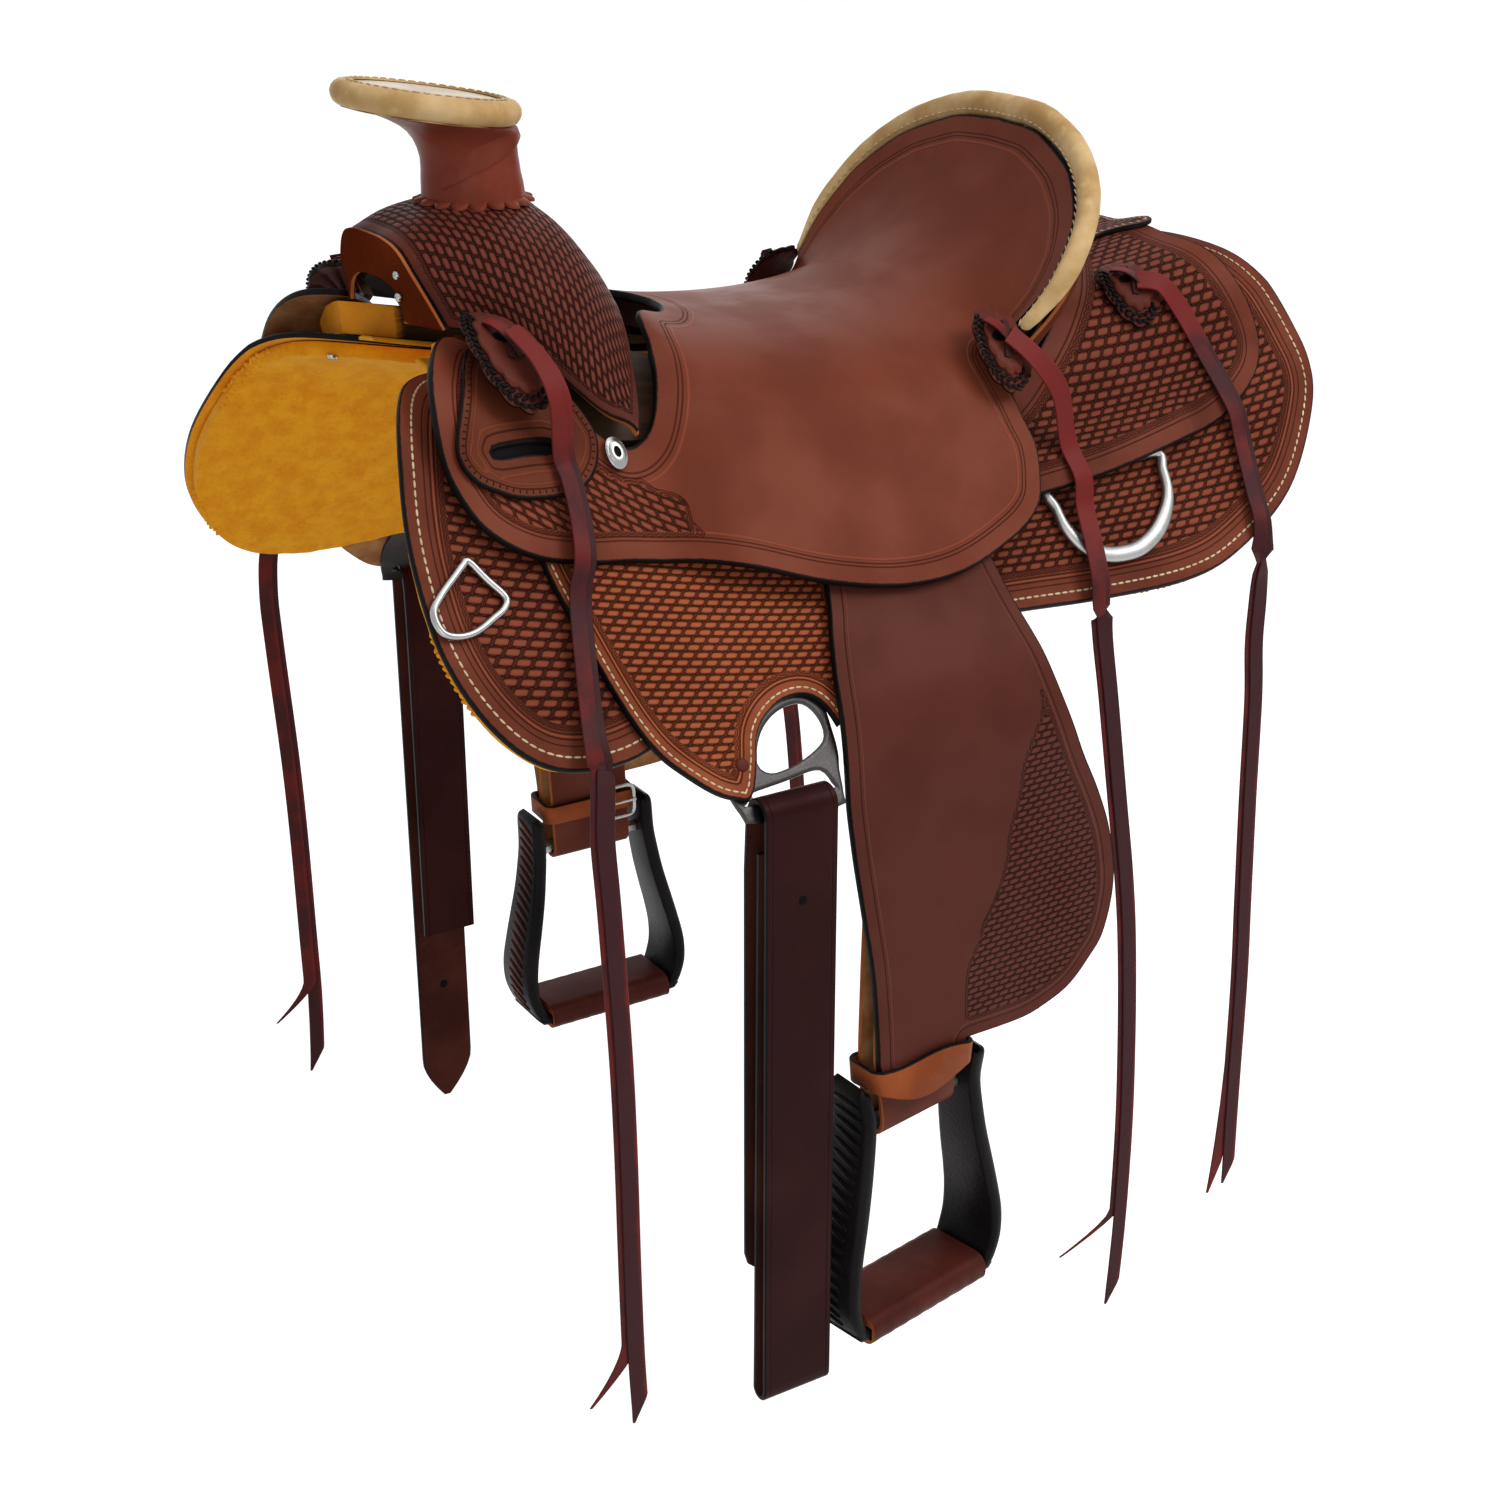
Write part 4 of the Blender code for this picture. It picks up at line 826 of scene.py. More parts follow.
def plain_leather(
    name, light, dark, rough=0.5, relief=0.08, mottle=16.0, coat=0.0, pores=900.0, shine=0.06):
    """A leather with nothing tooled on it, or the raw flesh side: only grain."""
    light, dark = shade(*light), shade(*dark)
    made, shader = finish(name, rough, Coat_Weight=coat, Coat_Roughness=0.3, Specular_IOR_Level=shine)
    place = here(shader)
    grain = use(GRAIN, Place=place, Mottle=mottle, Pores=pores)
    worn = use(WEAR, Place=place, Scale=60.0, Much=0.2)["Mask"]
    colour = mixed(worn * 0.25, mixed(grain["Tone"], dark, light), tinted(light, 1.6))
    give(
        shader, colour, ramp(grain["Tone"], 0.0, 1.0, rough + 0.06, rough - 0.06), grain["Height"] * relief)
    return made


print("leather makers ready")

# %% [markdown]
# The tooled leathers come from one tannery but not one hide: the rigging is the palest, the fenders the
# darkest. Their two tones were read off the photograph, and the stamp's size was counted in rows.

# %% Tooled leathers
SKIRT_LEATHER = leather(
    "skirt_leather", (124, 62, 44), (98, 47, 34), stamp=(11.0, 5.4, -0.1), border=3.6, bead=(6.4, 1.5),
    lines=((13.5, 0.8, 0.3),))
RIGGING_LEATHER = leather(
    "rigging_leather", (156, 82, 52), (128, 63, 40), rough=0.44, stamp=(9.6, 4.6, -0.12), border=3.2,
    bead=(4.6, 1.2),
    lines=((9.5, 0.8, 0.3),))
JOCKEY_LEATHER = leather(
    "jockey_leather", (114, 56, 41), (90, 43, 32), stamp=(10.4, 5.0, -0.1), border=3.6,
    lines=((11.5, 0.9, 0.35), (14.5, 0.8, 0.3)))
SEAT_LEATHER = leather(
    "seat_leather", (122, 60, 43), (108, 51, 36), rough=0.36, stamp=(9.6, 4.8, 0.5), border=3.2,
    lines=((12.0, 0.8, 0.35), (14.4, 0.8, 0.35), (17.5, 1.6, -0.35)))
SWELL_LEATHER = leather("swell_leather", (106, 53, 43), (84, 41, 34), stamp=(9.8, 4.8, 0.0), border=2.6)
FENDER_LEATHER = leather(
    "fender_leather", (94, 49, 41), (86, 43, 36), stamp=(8.4, 4.2, 0.0), border=2.8,
    lines=((9.0, 0.8, 0.3), (11.5, 1.2, -0.3)), relief=0.6)
KEEPER_LEATHER = leather(
    "keeper_leather", (104, 50, 33), (84, 39, 26), lines=((5.2, 0.8, 0.3), (8.0, 1.2, -0.3)))
STRAP_LEATHER = leather(
    "strap_leather", (50, 19, 20), (38, 13, 15), rough=0.38, lines=((4.0, 0.7, 0.2),), dye=1.0)
print(len(bpy.data.materials), "materials so far")

# %% [markdown]
# The rest is plain: cut edges, flesh sides, wraps, lace, rawhide and thread.

# %% Plain leathers, rawhide and thread
BLACK_EDGE = plain_leather("edge_black", (26, 21, 20), (12, 10, 10), 0.4, 0.12)
FLESH = plain_leather("flesh_side", (186, 138, 92), (150, 102, 62), 0.85, 0.2, mottle=50.0)
TAN_EDGE = plain_leather("edge_tan", (186, 106, 58), (150, 80, 42), 0.6, 0.15)
STRAP_BACK = plain_leather("strap_back", (84, 42, 34), (62, 30, 26), 0.7, 0.2)
HOBBLE_LEATHER = plain_leather("hobble_leather", (160, 84, 46), (138, 68, 36), 0.45)
TREAD_LEATHER = plain_leather("tread_leather", (92, 41, 33), (70, 30, 25), 0.38)
HORN_LEATHER = plain_leather("horn_leather", (132, 62, 46), (108, 48, 35), 0.38, 0.07)
CANTLE_LEATHER = plain_leather("cantle_back_leather", (106, 52, 36), (88, 42, 29), 0.4, 0.06)
GULLET_LEATHER = plain_leather("gullet_leather", (106, 44, 20), (90, 35, 14), 0.6, 0.07, shine=0.0)
STIRRUP_LEATHER = plain_leather("stirrup_black", (26, 23, 24), (13, 11, 12), 0.4, 0.2, pores=500.0)
ROSETTE_LEATHER = plain_leather("rosette_leather", (106, 50, 39), (84, 39, 31), 0.42, 0.1)
LACE_LEATHER = plain_leather("lace_black", (24, 20, 20), (12, 10, 10), 0.4, 0.05)
LACE_BROWN = plain_leather("lace_brown", (86, 38, 30), (60, 27, 23), 0.42, 0.05)
# Black for the keeper's stamped border, and painted shade in slots, slits, punched holes and the concho's
# hollow.
SHADE_AND_BORDER_BLACK = plain_leather("shade_and_border_black", (18, 14, 14), (8, 7, 7), 0.7)
STRING_EDGE = plain_leather("string_edge", (60, 26, 26), (40, 17, 18), 0.6)
# The ground seat shows only in a shadowed gap, so its leather is coloured dark: painted shade.
SHADED_GROUND_LEATHER = plain_leather("shaded_ground_seat_leather", (52, 28, 20), (36, 20, 15), 0.6)
RAW = plain_leather("rawhide", (222, 188, 136), (190, 150, 96), 0.45, 0.12, mottle=34.0, pores=420.0)
CAP_TOP = plain_leather(
    "cap_top", (206, 182, 146), (176, 148, 108), 0.22, 0.1, mottle=30.0, coat=0.4, pores=300.0)
THREAD = plain_leather("thread_cream", (226, 208, 172), (206, 184, 144), 0.7, 0.05, mottle=60.0)
print(len(bpy.data.materials), "materials so far")

# %% [markdown]
# A saddle string is dark on its grain side and red on its flesh side, and it shows both as it twists. The
# piece says where with a number of its own. The sheepskin is a gold that comes from three noises: curls,
# clumps and wide patches.

# %% Strings and sheepskin
FACE, INNER = shade(66, 34, 37), shade(118, 41, 38)
STRING_LEATHER, shader = finish("string_leather", 0.48, Specular_IOR_Level=0.08)
grain = use(GRAIN, Place=here(shader), Mottle=40.0)
uneven = (grain["Tone"] - 0.5) * 0.35 + number(shader, "red")
grained = mixed(grain["Tone"] * 0.3, FACE, tinted(FACE, 0.6))
give(shader, mixed(ramp(uneven, 0.15, 0.85), grained, INNER), None, grain["Height"] * 0.12)

WOOL, shader = finish(
    "sheepskin_gold", 0.95, Specular_IOR_Level=0.05, Sheen_Weight=0.6, Sheen_Roughness=0.5,
    Sheen_Tint=(1.0, 0.72, 0.2, 1.0))
curls, clumps, patches = (
    noise(here(shader), *sizes) for sizes in ((420.0, 4.0, 0.7), (70.0, 3.0, 0.6), (9.0, 2.0)))
colour = mixed(ramp(clumps, 0.3, 0.7), shade(240, 152, 18), shade(255, 180, 34))
colour = mixed(ramp(patches, 0.35, 0.7) * 0.4, colour, shade(246, 166, 34))
colour = mixed(ramp(curls, 0.5, 0.28) * 0.35, colour, shade(206, 112, 8))
give(shader, colour, None, curls * 0.5 + clumps, 1.2 * MM)
print("strings are two-toned and the wool is gold")


# %% [markdown]
# Metal is a mirror with fine scratches, and they only change how sharp its reflections are. Brushed steel
# has them drawn out one way. Wood is drawn out along the bar. Where the tree bars end the gold wool is glued
# over them.

# %% Metal and wood
def metal(name, tone, rough, scratch=0.08, brushed=(1.0, 1.0, 1.0)):
    made, shader = finish(name, rough, 1.0)
    fine = noise(node("ShaderNodeMapping", here(shader), None, None, brushed), 900.0, 3.0, 0.6)
    colour = mixed(ramp(noise(here(shader), 60.0, 3.0), 0.3, 0.7), tone, tinted(tone, 0.86))
    give(shader, colour, fine * (scratch * 3) + (rough - scratch), fine * 0.02)
    return made


def wood(name, light, dark, wrapped=False):
    """Wood, with the wool over its front end where it is wrapped."""
    made, shader = finish(name, 0.6, Specular_IOR_Level=0.2)
    lengthways = node("ShaderNodeMapping", here(shader), None, None, (0.12, 1.0, 1.0))
    rings, fibres = noise(lengthways, 110.0, 4.0, 0.65), noise(lengthways, 900.0)
    colour = mixed(ramp(rings, 0.35, 0.65), dark, light)
    if wrapped:
        fore = fibres * 0.006 + node("ShaderNodeSeparateXYZ", here(shader))
        colour = mixed(
            ramp(fore, -0.226, -0.233), colour, mixed(rings, shade(206, 122, 14), shade(250, 166, 30)))
    give(shader, colour, None, fibres * 0.1 + rings * 0.15)
    return made


NICKEL = metal("nickel", (0.36, 0.36, 0.35, 1.0), 0.22)
STEEL = metal("brushed_steel", (0.40, 0.40, 0.39, 1.0), 0.34, 0.12, (0.2, 2.0, 2.0))
PLATE_STEEL = metal("plate_steel", (0.055, 0.05, 0.05, 1.0), 0.3, 0.12)
# The tree bars, fork and cantle core lie in deep shadow, so their wood is coloured dark: painted shade. The
# gold wool at the bars' front ends is real.
SHADED_TREE_WOOD = wood("tree_wood", shade(74, 50, 34), shade(48, 32, 22), wrapped=True)
SHADE_DARK_WOOD = wood("shade_dark_wood", shade(34, 24, 20), shade(20, 14, 12))
print(len(bpy.data.materials), "materials in all but the stirrup straps and the floor")


# %% [markdown]
# ## Saddle strings
#
# Six leather strings hang from the rosettes. Each is cut from latigo leather 15 mm wide: it comes up through
# a slit, lies over the jockey, falls past the skirt and ends in two tapering tails. A route is drawn in two
# parts: (x, t) over the leather, and (x, y, z) where it hangs free. Its height over the back follows what
# lies under it.

# %% Routes of the strings
FRONT_OVER = [
    (-236, 92), (-226, 104), (-221, 117), (-218, 130), (-217, 142), (-219, 165), (-224, 187), (-229, 205),
    (-239, 245), (-246, 278),
]
MID_OVER = [
    (105, 107), (118, 117), (134, 131), (143, 156), (145, 180), (144, 197), (141, 218), (137, 242),
    (135, 259),
]
REAR_OVER = [
    (236, 91), (252, 97), (266, 109), (277, 131), (284, 156), (287, 174), (287, 192), (283, 224),
    (280, 247),
]
FRONT_FALL = [
    (-253, 250, -150), (-256, 254, -185), (-254, 256, -230), (-249, 256, -322), (-247, 256, -391),
    (-246, 256, -485), (-244, 256, -592),
]
MID_FALL = [
    (138, 214, -154), (146, 214, -197), (159, 214, -272), (170, 214, -335), (177, 214, -391),
    (183, 214, -473), (186, 214, -557), (185, 214, -690),
]
REAR_FALL = [
    (278, 209, -150), (277, 210, -185), (281, 210, -227), (284, 210, -304), (288, 210, -384),
    (292, 210, -467), (294, 210, -630),
]


def front_lift(x, t):
    return 34.2 + 0.85 * bump_of(t) + 23.5 * (1 - ease(113, 132, t)) - 11.2 * ease(187, 203, t)


def mid_lift(x, t):
    """Over the rosette, the rear jockey and the dee, and down to the skirt's edge."""
    over_all = 23.6 + bump_of(t) + 9.2 * ease(124, 154, t) + 36.0 * (1 - ease(124, 148, t))
    return over_all - 7.0 * ease(183, 197, t) - 6.0 * ease(240, 257, t)


def rear_lift(x, t):
    return 23.0 + bump_of(t) + 9.0 * (1 - ease(97, 112, t)) - 3.6 * ease(177, 189, t)


def route(side, over_leather, fall, lift):
    """The middle of a string, and the way its grain side faces."""
    points, ups = [], []
    for x, t in over_leather:
        h = lift(x, t)
        points.append(drape(x, t, h, side))
        along = drape(x + 3, t, h, side) - drape(x - 3, t, h, side)
        down = drape(x, t + 3, lift(x, t + 3), side) - drape(x, t - 3, lift(x, t - 3), side)
        ups.append((along.cross(down) * -side).normalized())
    points += [Vector((x, side * y, z)) for x, y, z in fall]
    ups += [Vector((0, side, 0))] * len(fall)
    points, ups = ([Vector(p) for p in through(line, 6)] for line in (points, ups))
    for _ in range(12):
        before, after = [ups[0], *ups[:-1]], [*ups[1:], ups[-1]]
        ups = [(a + b * 2 + c).normalized() for a, b, c in zip(before, ups, after)]
    return points, ups


middle, _ = route(NEAR, MID_OVER, MID_FALL, mid_lift)
print("the middle string runs", round(marks_of(middle)[-1]), "mm")


# %% [markdown]
# A string is slit into two tails below the skirt. Both tails are whole strips here: the upper one carries
# the knot, and the under one lies behind it and shows where they part.

# %% Cut the strings
WIDTH, THICK = 15.0, 3.0
SECTION = (
    (-1, -0.5), (-0.93, -1), (0.4, -1), (0.93, -1), (1, -0.5), (1, 0.5), (0.93, 1), (0.4, 1), (-0.93, 1),
    (-1, 0.5),
)
TAILS = (("tied_", 5.9, 1.6, 0.75, 18, 0.0), ("under_", 5.2, -2.3, -0.75, 26, 0.4))


def tail_rows(points, ups, sideways, lifted, end_z):
    """Places along a tail, closer at its tip: its middle, the way across it, the way up and how far along it
    is."""
    rows = []
    for i, (p, mark) in enumerate(zip(points, marks_of(points))):
        if p.z < end_z + 1 and i > 20:
            break
        along = (points[min(len(points) - 1, i + 1)] - points[max(0, i - 1)]).normalized()
        aside = along.cross(ups[i]).normalized()
        up = aside.cross(along).normalized()
        if aside.x < 0:
            aside = -aside
        rows.append((p + aside * sideways + up * lifted, aside, up, mark))
    p, aside, up, mark = rows[-1]
    if end_z < p.z - 0.5:
        rows.append((Vector((p.x, p.y, end_z)), aside, up, mark + p.z - end_z))
    dense = []
    for a, b in zip(rows, rows[1:]):
        steps = 5 if b[3] > rows[-1][3] - 40 else 1
        dense += [
            (*(v.lerp(w, k / steps) for v, w in zip(a[:3], b[:3])), a[3] + (b[3] - a[3]) * k / steps)
            for k in range(steps)]
    return dense + [rows[-1]]


def string(name, side, over_leather, fall, lift, split, ends, red_top):
    """split is where, in z, the two tails part; ends are their tips (x, z), the front one's first; red_top
    is how much of its length, from the rosette, shows red."""
    points, ups = route(side, over_leather, fall, lift)
    tails = []
    for (kind, half, sideways, lifted, taper, least_red), (end_x, end_z) in zip(TAILS, ends):
        rows = tail_rows(points, ups, sideways, lifted, end_z)
        last, swing = rows[-1][3], end_x - rows[-1][0].x
        rings, red = [], []
        for p, aside, up, mark in rows:
            apart = min(1.0, max(0.0, (split - p.z) / (split - end_z)))
            narrow = max(0.0, 1 - (last - mark) / taper) * (2 * half - 1.4)
            p = p + Vector((swing * apart**1.5, 0, 0))
            reach = half - narrow
            rings.append([p + aside * min(u * half, reach) + up * v * THICK / 4 for u, v in SECTION])
            top_red = 1 - ease(red_top * 0.45, red_top, mark)
            edge_red = ease(last - 480, last - 300, mark) * 1.1
            red += [max(top_red, max(0.0, u - 0.3) * edge_red, least_red) for u, v in SECTION]
        node_ = name if not tails else None
        tails.append(piece(
            kind + name, loft(rings), [STRING_LEATHER, STRING_EDGE], slot="strap_leather", node=node_,
            which=lambda f: len(f) > 4, numbers={"red": red}))
    path = [tuple(p * MM) for p in points]
    length = marks_of(points)[-1]
    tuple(path[0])
    return length


FRONT_TIPS = {"near": (-531, ((-241, -592), (-271, -570))), "off": (-510, ((-247, -591), (-273, -540)))}
MID_TIPS, REAR_TIPS = ((184, -690), (138, -633)), ((297, -625), (283, -630))
for label, side in SIDES:
    lengths = (
        string(f"string_front_{label}", side, FRONT_OVER, FRONT_FALL, front_lift, *FRONT_TIPS[label], 105),
        string(f"string_mid_{label}", side, MID_OVER, MID_FALL, mid_lift, -609, MID_TIPS, 230),
        string(f"string_rear_{label}", side, REAR_OVER, REAR_FALL, rear_lift, -520, REAR_TIPS, 90),
    )
    print(f"{label} strings:", ", ".join(f"{v:.0f} mm" for v in lengths))

# %% [markdown]
# ## Skirts, jockeys and rigging
#
# The patterns are those of the solids, drawn for one side. What differs between the sides is the front
# corner of the skirt. The rear joiner crosses the spine, so its pattern is drawn once and mirrored.

# %% Patterns of the skirts
SKIRT = [
    (332, 4, 1), (347, 60), (357, 123), (364, 162), (354, 191), (316, 230), (260, 254), (213, 261),
    (139, 256), (61, 249), (-40, 248), (-110, 256), (-165, 272), (-218, 293), (-258, 296), (-286, 286),
    (-308, 261), (-321, 227), (-323, 186), (-318, 149), (-307, 113), (-289, 80), (-262, 55), (-225, 42),
    (-150, 34, 1), (180, 34, 1), (225, 20), (250, 4, 1),
]
FLEECE = [
    (328, 7, 1), (343, 60), (353, 123), (360, 161), (350, 189), (314, 227), (259, 251), (213, 258),
    (139, 253), (61, 246), (-40, 245), (-110, 253), (-165, 269), (-218, 290), (-257, 293), (-284, 283),
    (-305, 259), (-317, 226), (-319, 186), (-314, 151), (-303, 116), (-286, 83), (-260, 59), (-225, 46),
    (-150, 38, 1), (180, 38, 1), (226, 24), (251, 7, 1),
]
RIGGING = [
    (-243, 150, 1), (-244, 184), (-233, 227), (-221, 267), (-210, 291), (-197, 307), (-178, 324),
    (-160, 331, 1), (-154, 325, 1), (-146, 308), (-140, 293), (-129, 282), (-114, 275), (-99, 275),
    (-89, 283), (-84, 297, 1), (-60, 285, 1), (-50, 225), (-52, 150, 1),
]
REAR = [
    (240, 4, 1), (290, 4, 1), (297, 30), (300, 62), (316, 100), (326, 130), (318, 152), (296, 166),
    (268, 174), (211, 179), (158, 182), (84, 183, 1), (84, 134, 1), (110, 122), (128, 114), (148, 103),
    (177, 86), (208, 62), (228, 32),
]
JOINER = [(240, 0), (243, 22), (252, 34), (270, 30), (292, 44), (303, 40), (300, 18), (304, 0)]


def both(points):
    """A pattern drawn from the middle line round to the middle line, and its mirror."""
    return [(x, -t) for x, t in points] + [(x, t) for x, t in reversed(points) if abs(t) > 0.01]


def flared(points):
    """The off skirt's front corner hangs a little further forward and higher than the near one's."""
    found = []
    for x, t, *corner in points:
        k = ease(-150, -250, x)
        found.append((x - 12 * k * ease(95, 200, t), t - 13 * k * ease(170, 290, t), *corner))
    return found


def flared_on(label, points):
    return curve(flared(points) if label == "off" else points)


joiner = curve([(x, t, 1) if t == 0 else (x, t) for x, t in both(JOINER)])
print("patterns of", len(SKIRT), "places for a skirt and", len(REAR), "for a rear jockey")


# %% [markdown]
# From the horse outwards come the skirt, the rigging leather in front and the rear jockey behind. The jockey
# climbs over the skirt's thickness and the dee's, so its height is not even.

# %% Cut skirts, rigging and jockeys
def rear_h(x, t):
    return 16.3 + bump_of(t) + 9.5 * ease(128, 168, t) * ease(90, 115, x) * ease(262, 236, x)


def above(height, more):
    return lambda x, t: height(x, t) + more


def joiner_h(x, t):
    return 20.9 + bump_of(abs(t))


for label, side in SIDES:
    at = drape_on(side)
    leather_piece(
        f"skirt_{label}", flared_on(label, SKIRT), at, 11.0, 15.0, [SKIRT_LEATHER, WOOL, BLACK_EDGE],
        margin=25.0)
    leather_piece(
        f"rigging_leather_{label}", curve(RIGGING), at, 16.0, 20.0, [RIGGING_LEATHER, FLESH, BLACK_EDGE],
        margin=15.0)
    leather_piece(
        f"rear_jockey_{label}", curve(REAR), at, rear_h, above(rear_h, 4.0),
        [JOCKEY_LEATHER, FLESH, BLACK_EDGE],
        margin=19.0)
leather_piece(
    "rear_joiner", joiner, across, joiner_h, above(joiner_h, 3.1), [SWELL_LEATHER, FLESH, BLACK_EDGE],
    margin=7.0,
    step=4.0)
print("skirts, rigging and jockeys cut")

# %% [markdown]
# ## Seat
#
# One hide runs from the front jockeys over the ground seat and up the cantle. Its pattern has a gap for the
# fork to rise through, and its thickness goes down along the surface's own normals, since the hide bends
# both ways here. The stamped field stays inside the scroll that is carved on the front jockeys.

# %% Seat leather
SEAT_SIDE = [
    (-80, 12), (-93, 25), (-112, 30), (-121, 45), (-130, 72), (-141, 98), (-153, 116), (-170, 123),
    (-186, 117), (-213, 97), (-238, 78), (-252, 66), (-268, 76), (-285, 99), (-291, 125), (-288, 147),
    (-276, 168), (-250, 182), (-215, 186), (-186, 186), (-147, 190), (-109, 201), (-65, 215), (-16, 224),
    (30, 222), (76, 207), (99, 193), (109, 176), (115, 153), (112, 132), (107, 113), (105.5, 98.5),
]
SEAT_SCROLL = [
    (-178, 118), (-172, 132), (-166, 142), (-158, 148), (-149, 151), (-146, 158), (-147, 166), (-141, 176),
    (-132, 182), (-122, 186),
]
dish_edge = [(END_X + dish_depth(f), f * END_T) for f in (0.985, 0.94, 0.86, 0.74, 0.6, 0.42, 0.2, 0.0)]
half_edge = curve(SEAT_SIDE, 5, closed=False) + dish_edge[:-1]
half_edge = [p for i, p in enumerate(half_edge) if i == 0 or math.dist(p, half_edge[i - 1]) > 0.5]
seat_line = both([(-77.0, 0.0), *half_edge, dish_edge[-1]])
jockey = curve(
    [(-186, 117, 1), *SEAT_SCROLL, (-122, 230, 1), (-330, 230, 1), (-330, 60, 1), (-252, 60, 1)], 5)
flat, faces = pattern(seat_line, step=4.4)
places = flat[:, :2]
mirrored = [(x, -t) for x, t in jockey]
on_jockeys = np.max([depth_in(places, evenly(field, 3.0)) for field in (jockey, mirrored)], axis=0)
numbers = {
    "flat": flat, "panel": np.minimum(flat[:, 2] - 17.5, on_jockeys),
    "along": nearest(places, evenly(seat_line, 3.5))[1],
}
hide(
    "seat_hide", [seat_top(x, t) for x, t in places], faces, numbers, [SEAT_LEATHER, FLESH, BLACK_EDGE],
    4.5,
    "seat_leather", "seat_leather")
print("seat leather:", len(flat), "points")


# %% [markdown]
# ## Cantle
#
# The back of the cantle is one bent leather between the rear jockeys and the rawhide, seen from its smooth
# side. Sheets like this one, the swell cover and the gullet's lining are grids: a function gives the place
# for a row and a column.

# %% Cantle back
CANTLE_FOOT = {
    0: (229, 0), 0.25: (222, 34), 0.5: (203, 62), 0.72: (172, 84), 0.88: (142, 99), 1.0: (121, 108)}


def foot_line(f):
    x, t = place_over(CANTLE_FOOT, CANTLE_FOOT.values(), abs(f))
    return across(x, t if f >= 0 else -t, 22.4 + bump_of(t))


def rim_out(f):
    """Unit vectors at the rim: into the dish, and out of its face."""
    inward = (dish(f, 0.86, RAWHIDE) - rim(f)).normalized()
    along = (rim(min(1, f + 0.02)) - rim(max(-1, f - 0.02))).normalized()
    face = along.cross(inward).normalized()
    return inward, (face if face.x < 0 else -face)


def cantle_back(v, g):
    f = (2 * g - 1) * 0.92
    inward, face = rim_out(f)
    edge = rim(f) + inward * 20.5 - face * 13.5
    out = Vector((1, 0.25 * (1 if f > 0 else -1) * min(1, abs(f) * 3), 0)) * 5 * math.sin(math.pi * v)
    return foot_line(f).lerp(edge, v) + out


def grid_of(rows, cols, point):
    """Points and triangles of a grid, and flat places on it, measured from its middle column."""
    surface = [point(r / (rows - 1), c / (cols - 1)) for r in range(rows) for c in range(cols)]
    corners = [r * cols + c for r in range(rows - 1) for c in range(cols - 1)]
    faces = [f for a in corners for f in ((a, a + 1, a + cols + 1), (a, a + cols + 1, a + cols))]
    p = np.array([tuple(v) for v in surface]).reshape(rows, cols, 3)
    u, v = np.zeros((rows, cols)), np.zeros((rows, cols))
    u[:, 1:] = np.cumsum(np.linalg.norm(np.diff(p, axis=1), axis=2), axis=1)
    v[1:] = np.cumsum(np.linalg.norm(np.diff(p, axis=0), axis=2), axis=0)
    edge = np.min([v, v[-1] - v, u, u[:, -1:] - u], axis=0)
    u -= u[:, cols // 2][:, None]
    return surface, np.array(faces), np.stack([u.ravel(), v.ravel(), edge.ravel()], 1)


surface, faces, flat = grid_of(17, 65, cantle_back)
hide(
    "cantle_back_hide", surface, faces, {"flat": flat}, [FLESH, CANTLE_LEATHER, TAN_EDGE], 3.5,
    "cantle_back",
    "seat_leather", outer=-1)
print("cantle back:", len(flat), "points")

# %% [markdown]
# The rawhide is a roll that is thick at the top and thins towards its two ends, with its inner lip stitched
# down on the dish. It was shrunk on wet, so it is never quite even: two slow waves run along it.

# %% Cantle rawhide
rings, lip, lip_up = [], [], []
for k in range(-48, 49):
    f = math.copysign(abs(k / 48) ** 0.92, k) * 0.873
    inward, face = rim_out(f)
    thin = 1.0 - 0.52 * ease(0.70, 0.93, abs(f))
    mid = rim(f) + inward * 8.9 * thin - face * 5.6
    wave = thin * (1 + 0.012 * math.sin(k * 1.7) + 0.008 * math.sin(k * 0.63 + 1))
    rings.append([
        mid + inward * 8.9 * wave * math.cos(v) * (1.0 + 0.07 * max(0.0, math.cos(v)) ** 6)
        + face * 8.0 * wave * math.sin(v) for v in around(24)])
    lip.append(mid + inward * 6.6 * thin + face * (5.76 * thin + 0.35))
    lip_up.append((face + inward * 0.7).normalized())
piece("cantle_rawhide", loft(rings), [RAW], slot="rawhide", node="cantle_binding", sharp=60)
rawhide_stitches = [(lip, lip_up)]
print("cantle bound over", round(marks_of(lip)[-1]), "mm")

# %% [markdown]
# ## Fork, gullet and horn
#
# The swell cover is stretched over the fork. Its points are interpolated through the same arches as the
# solid, closely enough for the light to run smoothly over it.

# %% Swell cover
ARCHES = [
    [(-266, 0, 117), (-266, 20, 116.5), (-265, 38, 112), (-262, 52, 99), (-256, 61, 83), (-250, 65, 69)],
    [(-240, 0, 129), (-240, 26, 126.5), (-238, 50, 117), (-234, 70, 97), (-229, 79, 79), (-225, 85, 65)],
    [(-200, 0, 133), (-200, 32, 129), (-200, 62, 115), (-202, 87, 90), (-205, 102, 67), (-207, 109, 50)],
    [(-163, 0, 127), (-164, 36, 119), (-168, 72, 100), (-176, 103, 73), (-183, 123, 46), (-186, 133, 27)],
    [(-138, 0, 97), (-139, 38, 92), (-147, 76, 76), (-157, 108, 51), (-166, 130, 30), (-170, 140, 18)],
    [(-119, 0, 69), (-122, 36, 66), (-133, 72, 54), (-146, 104, 37), (-158, 131, 22), (-165, 143, 12)],
]
FIFTHS = [i / 5 for i in range(6)]


def arch_point(knots, g):
    """g runs from 0 at the near foot over the top to 1 at the off foot."""
    x, y, z = place_over(FIFTHS, knots, abs(2 * g - 1))
    return Vector((x, -y if g < 0.5 else y, z))


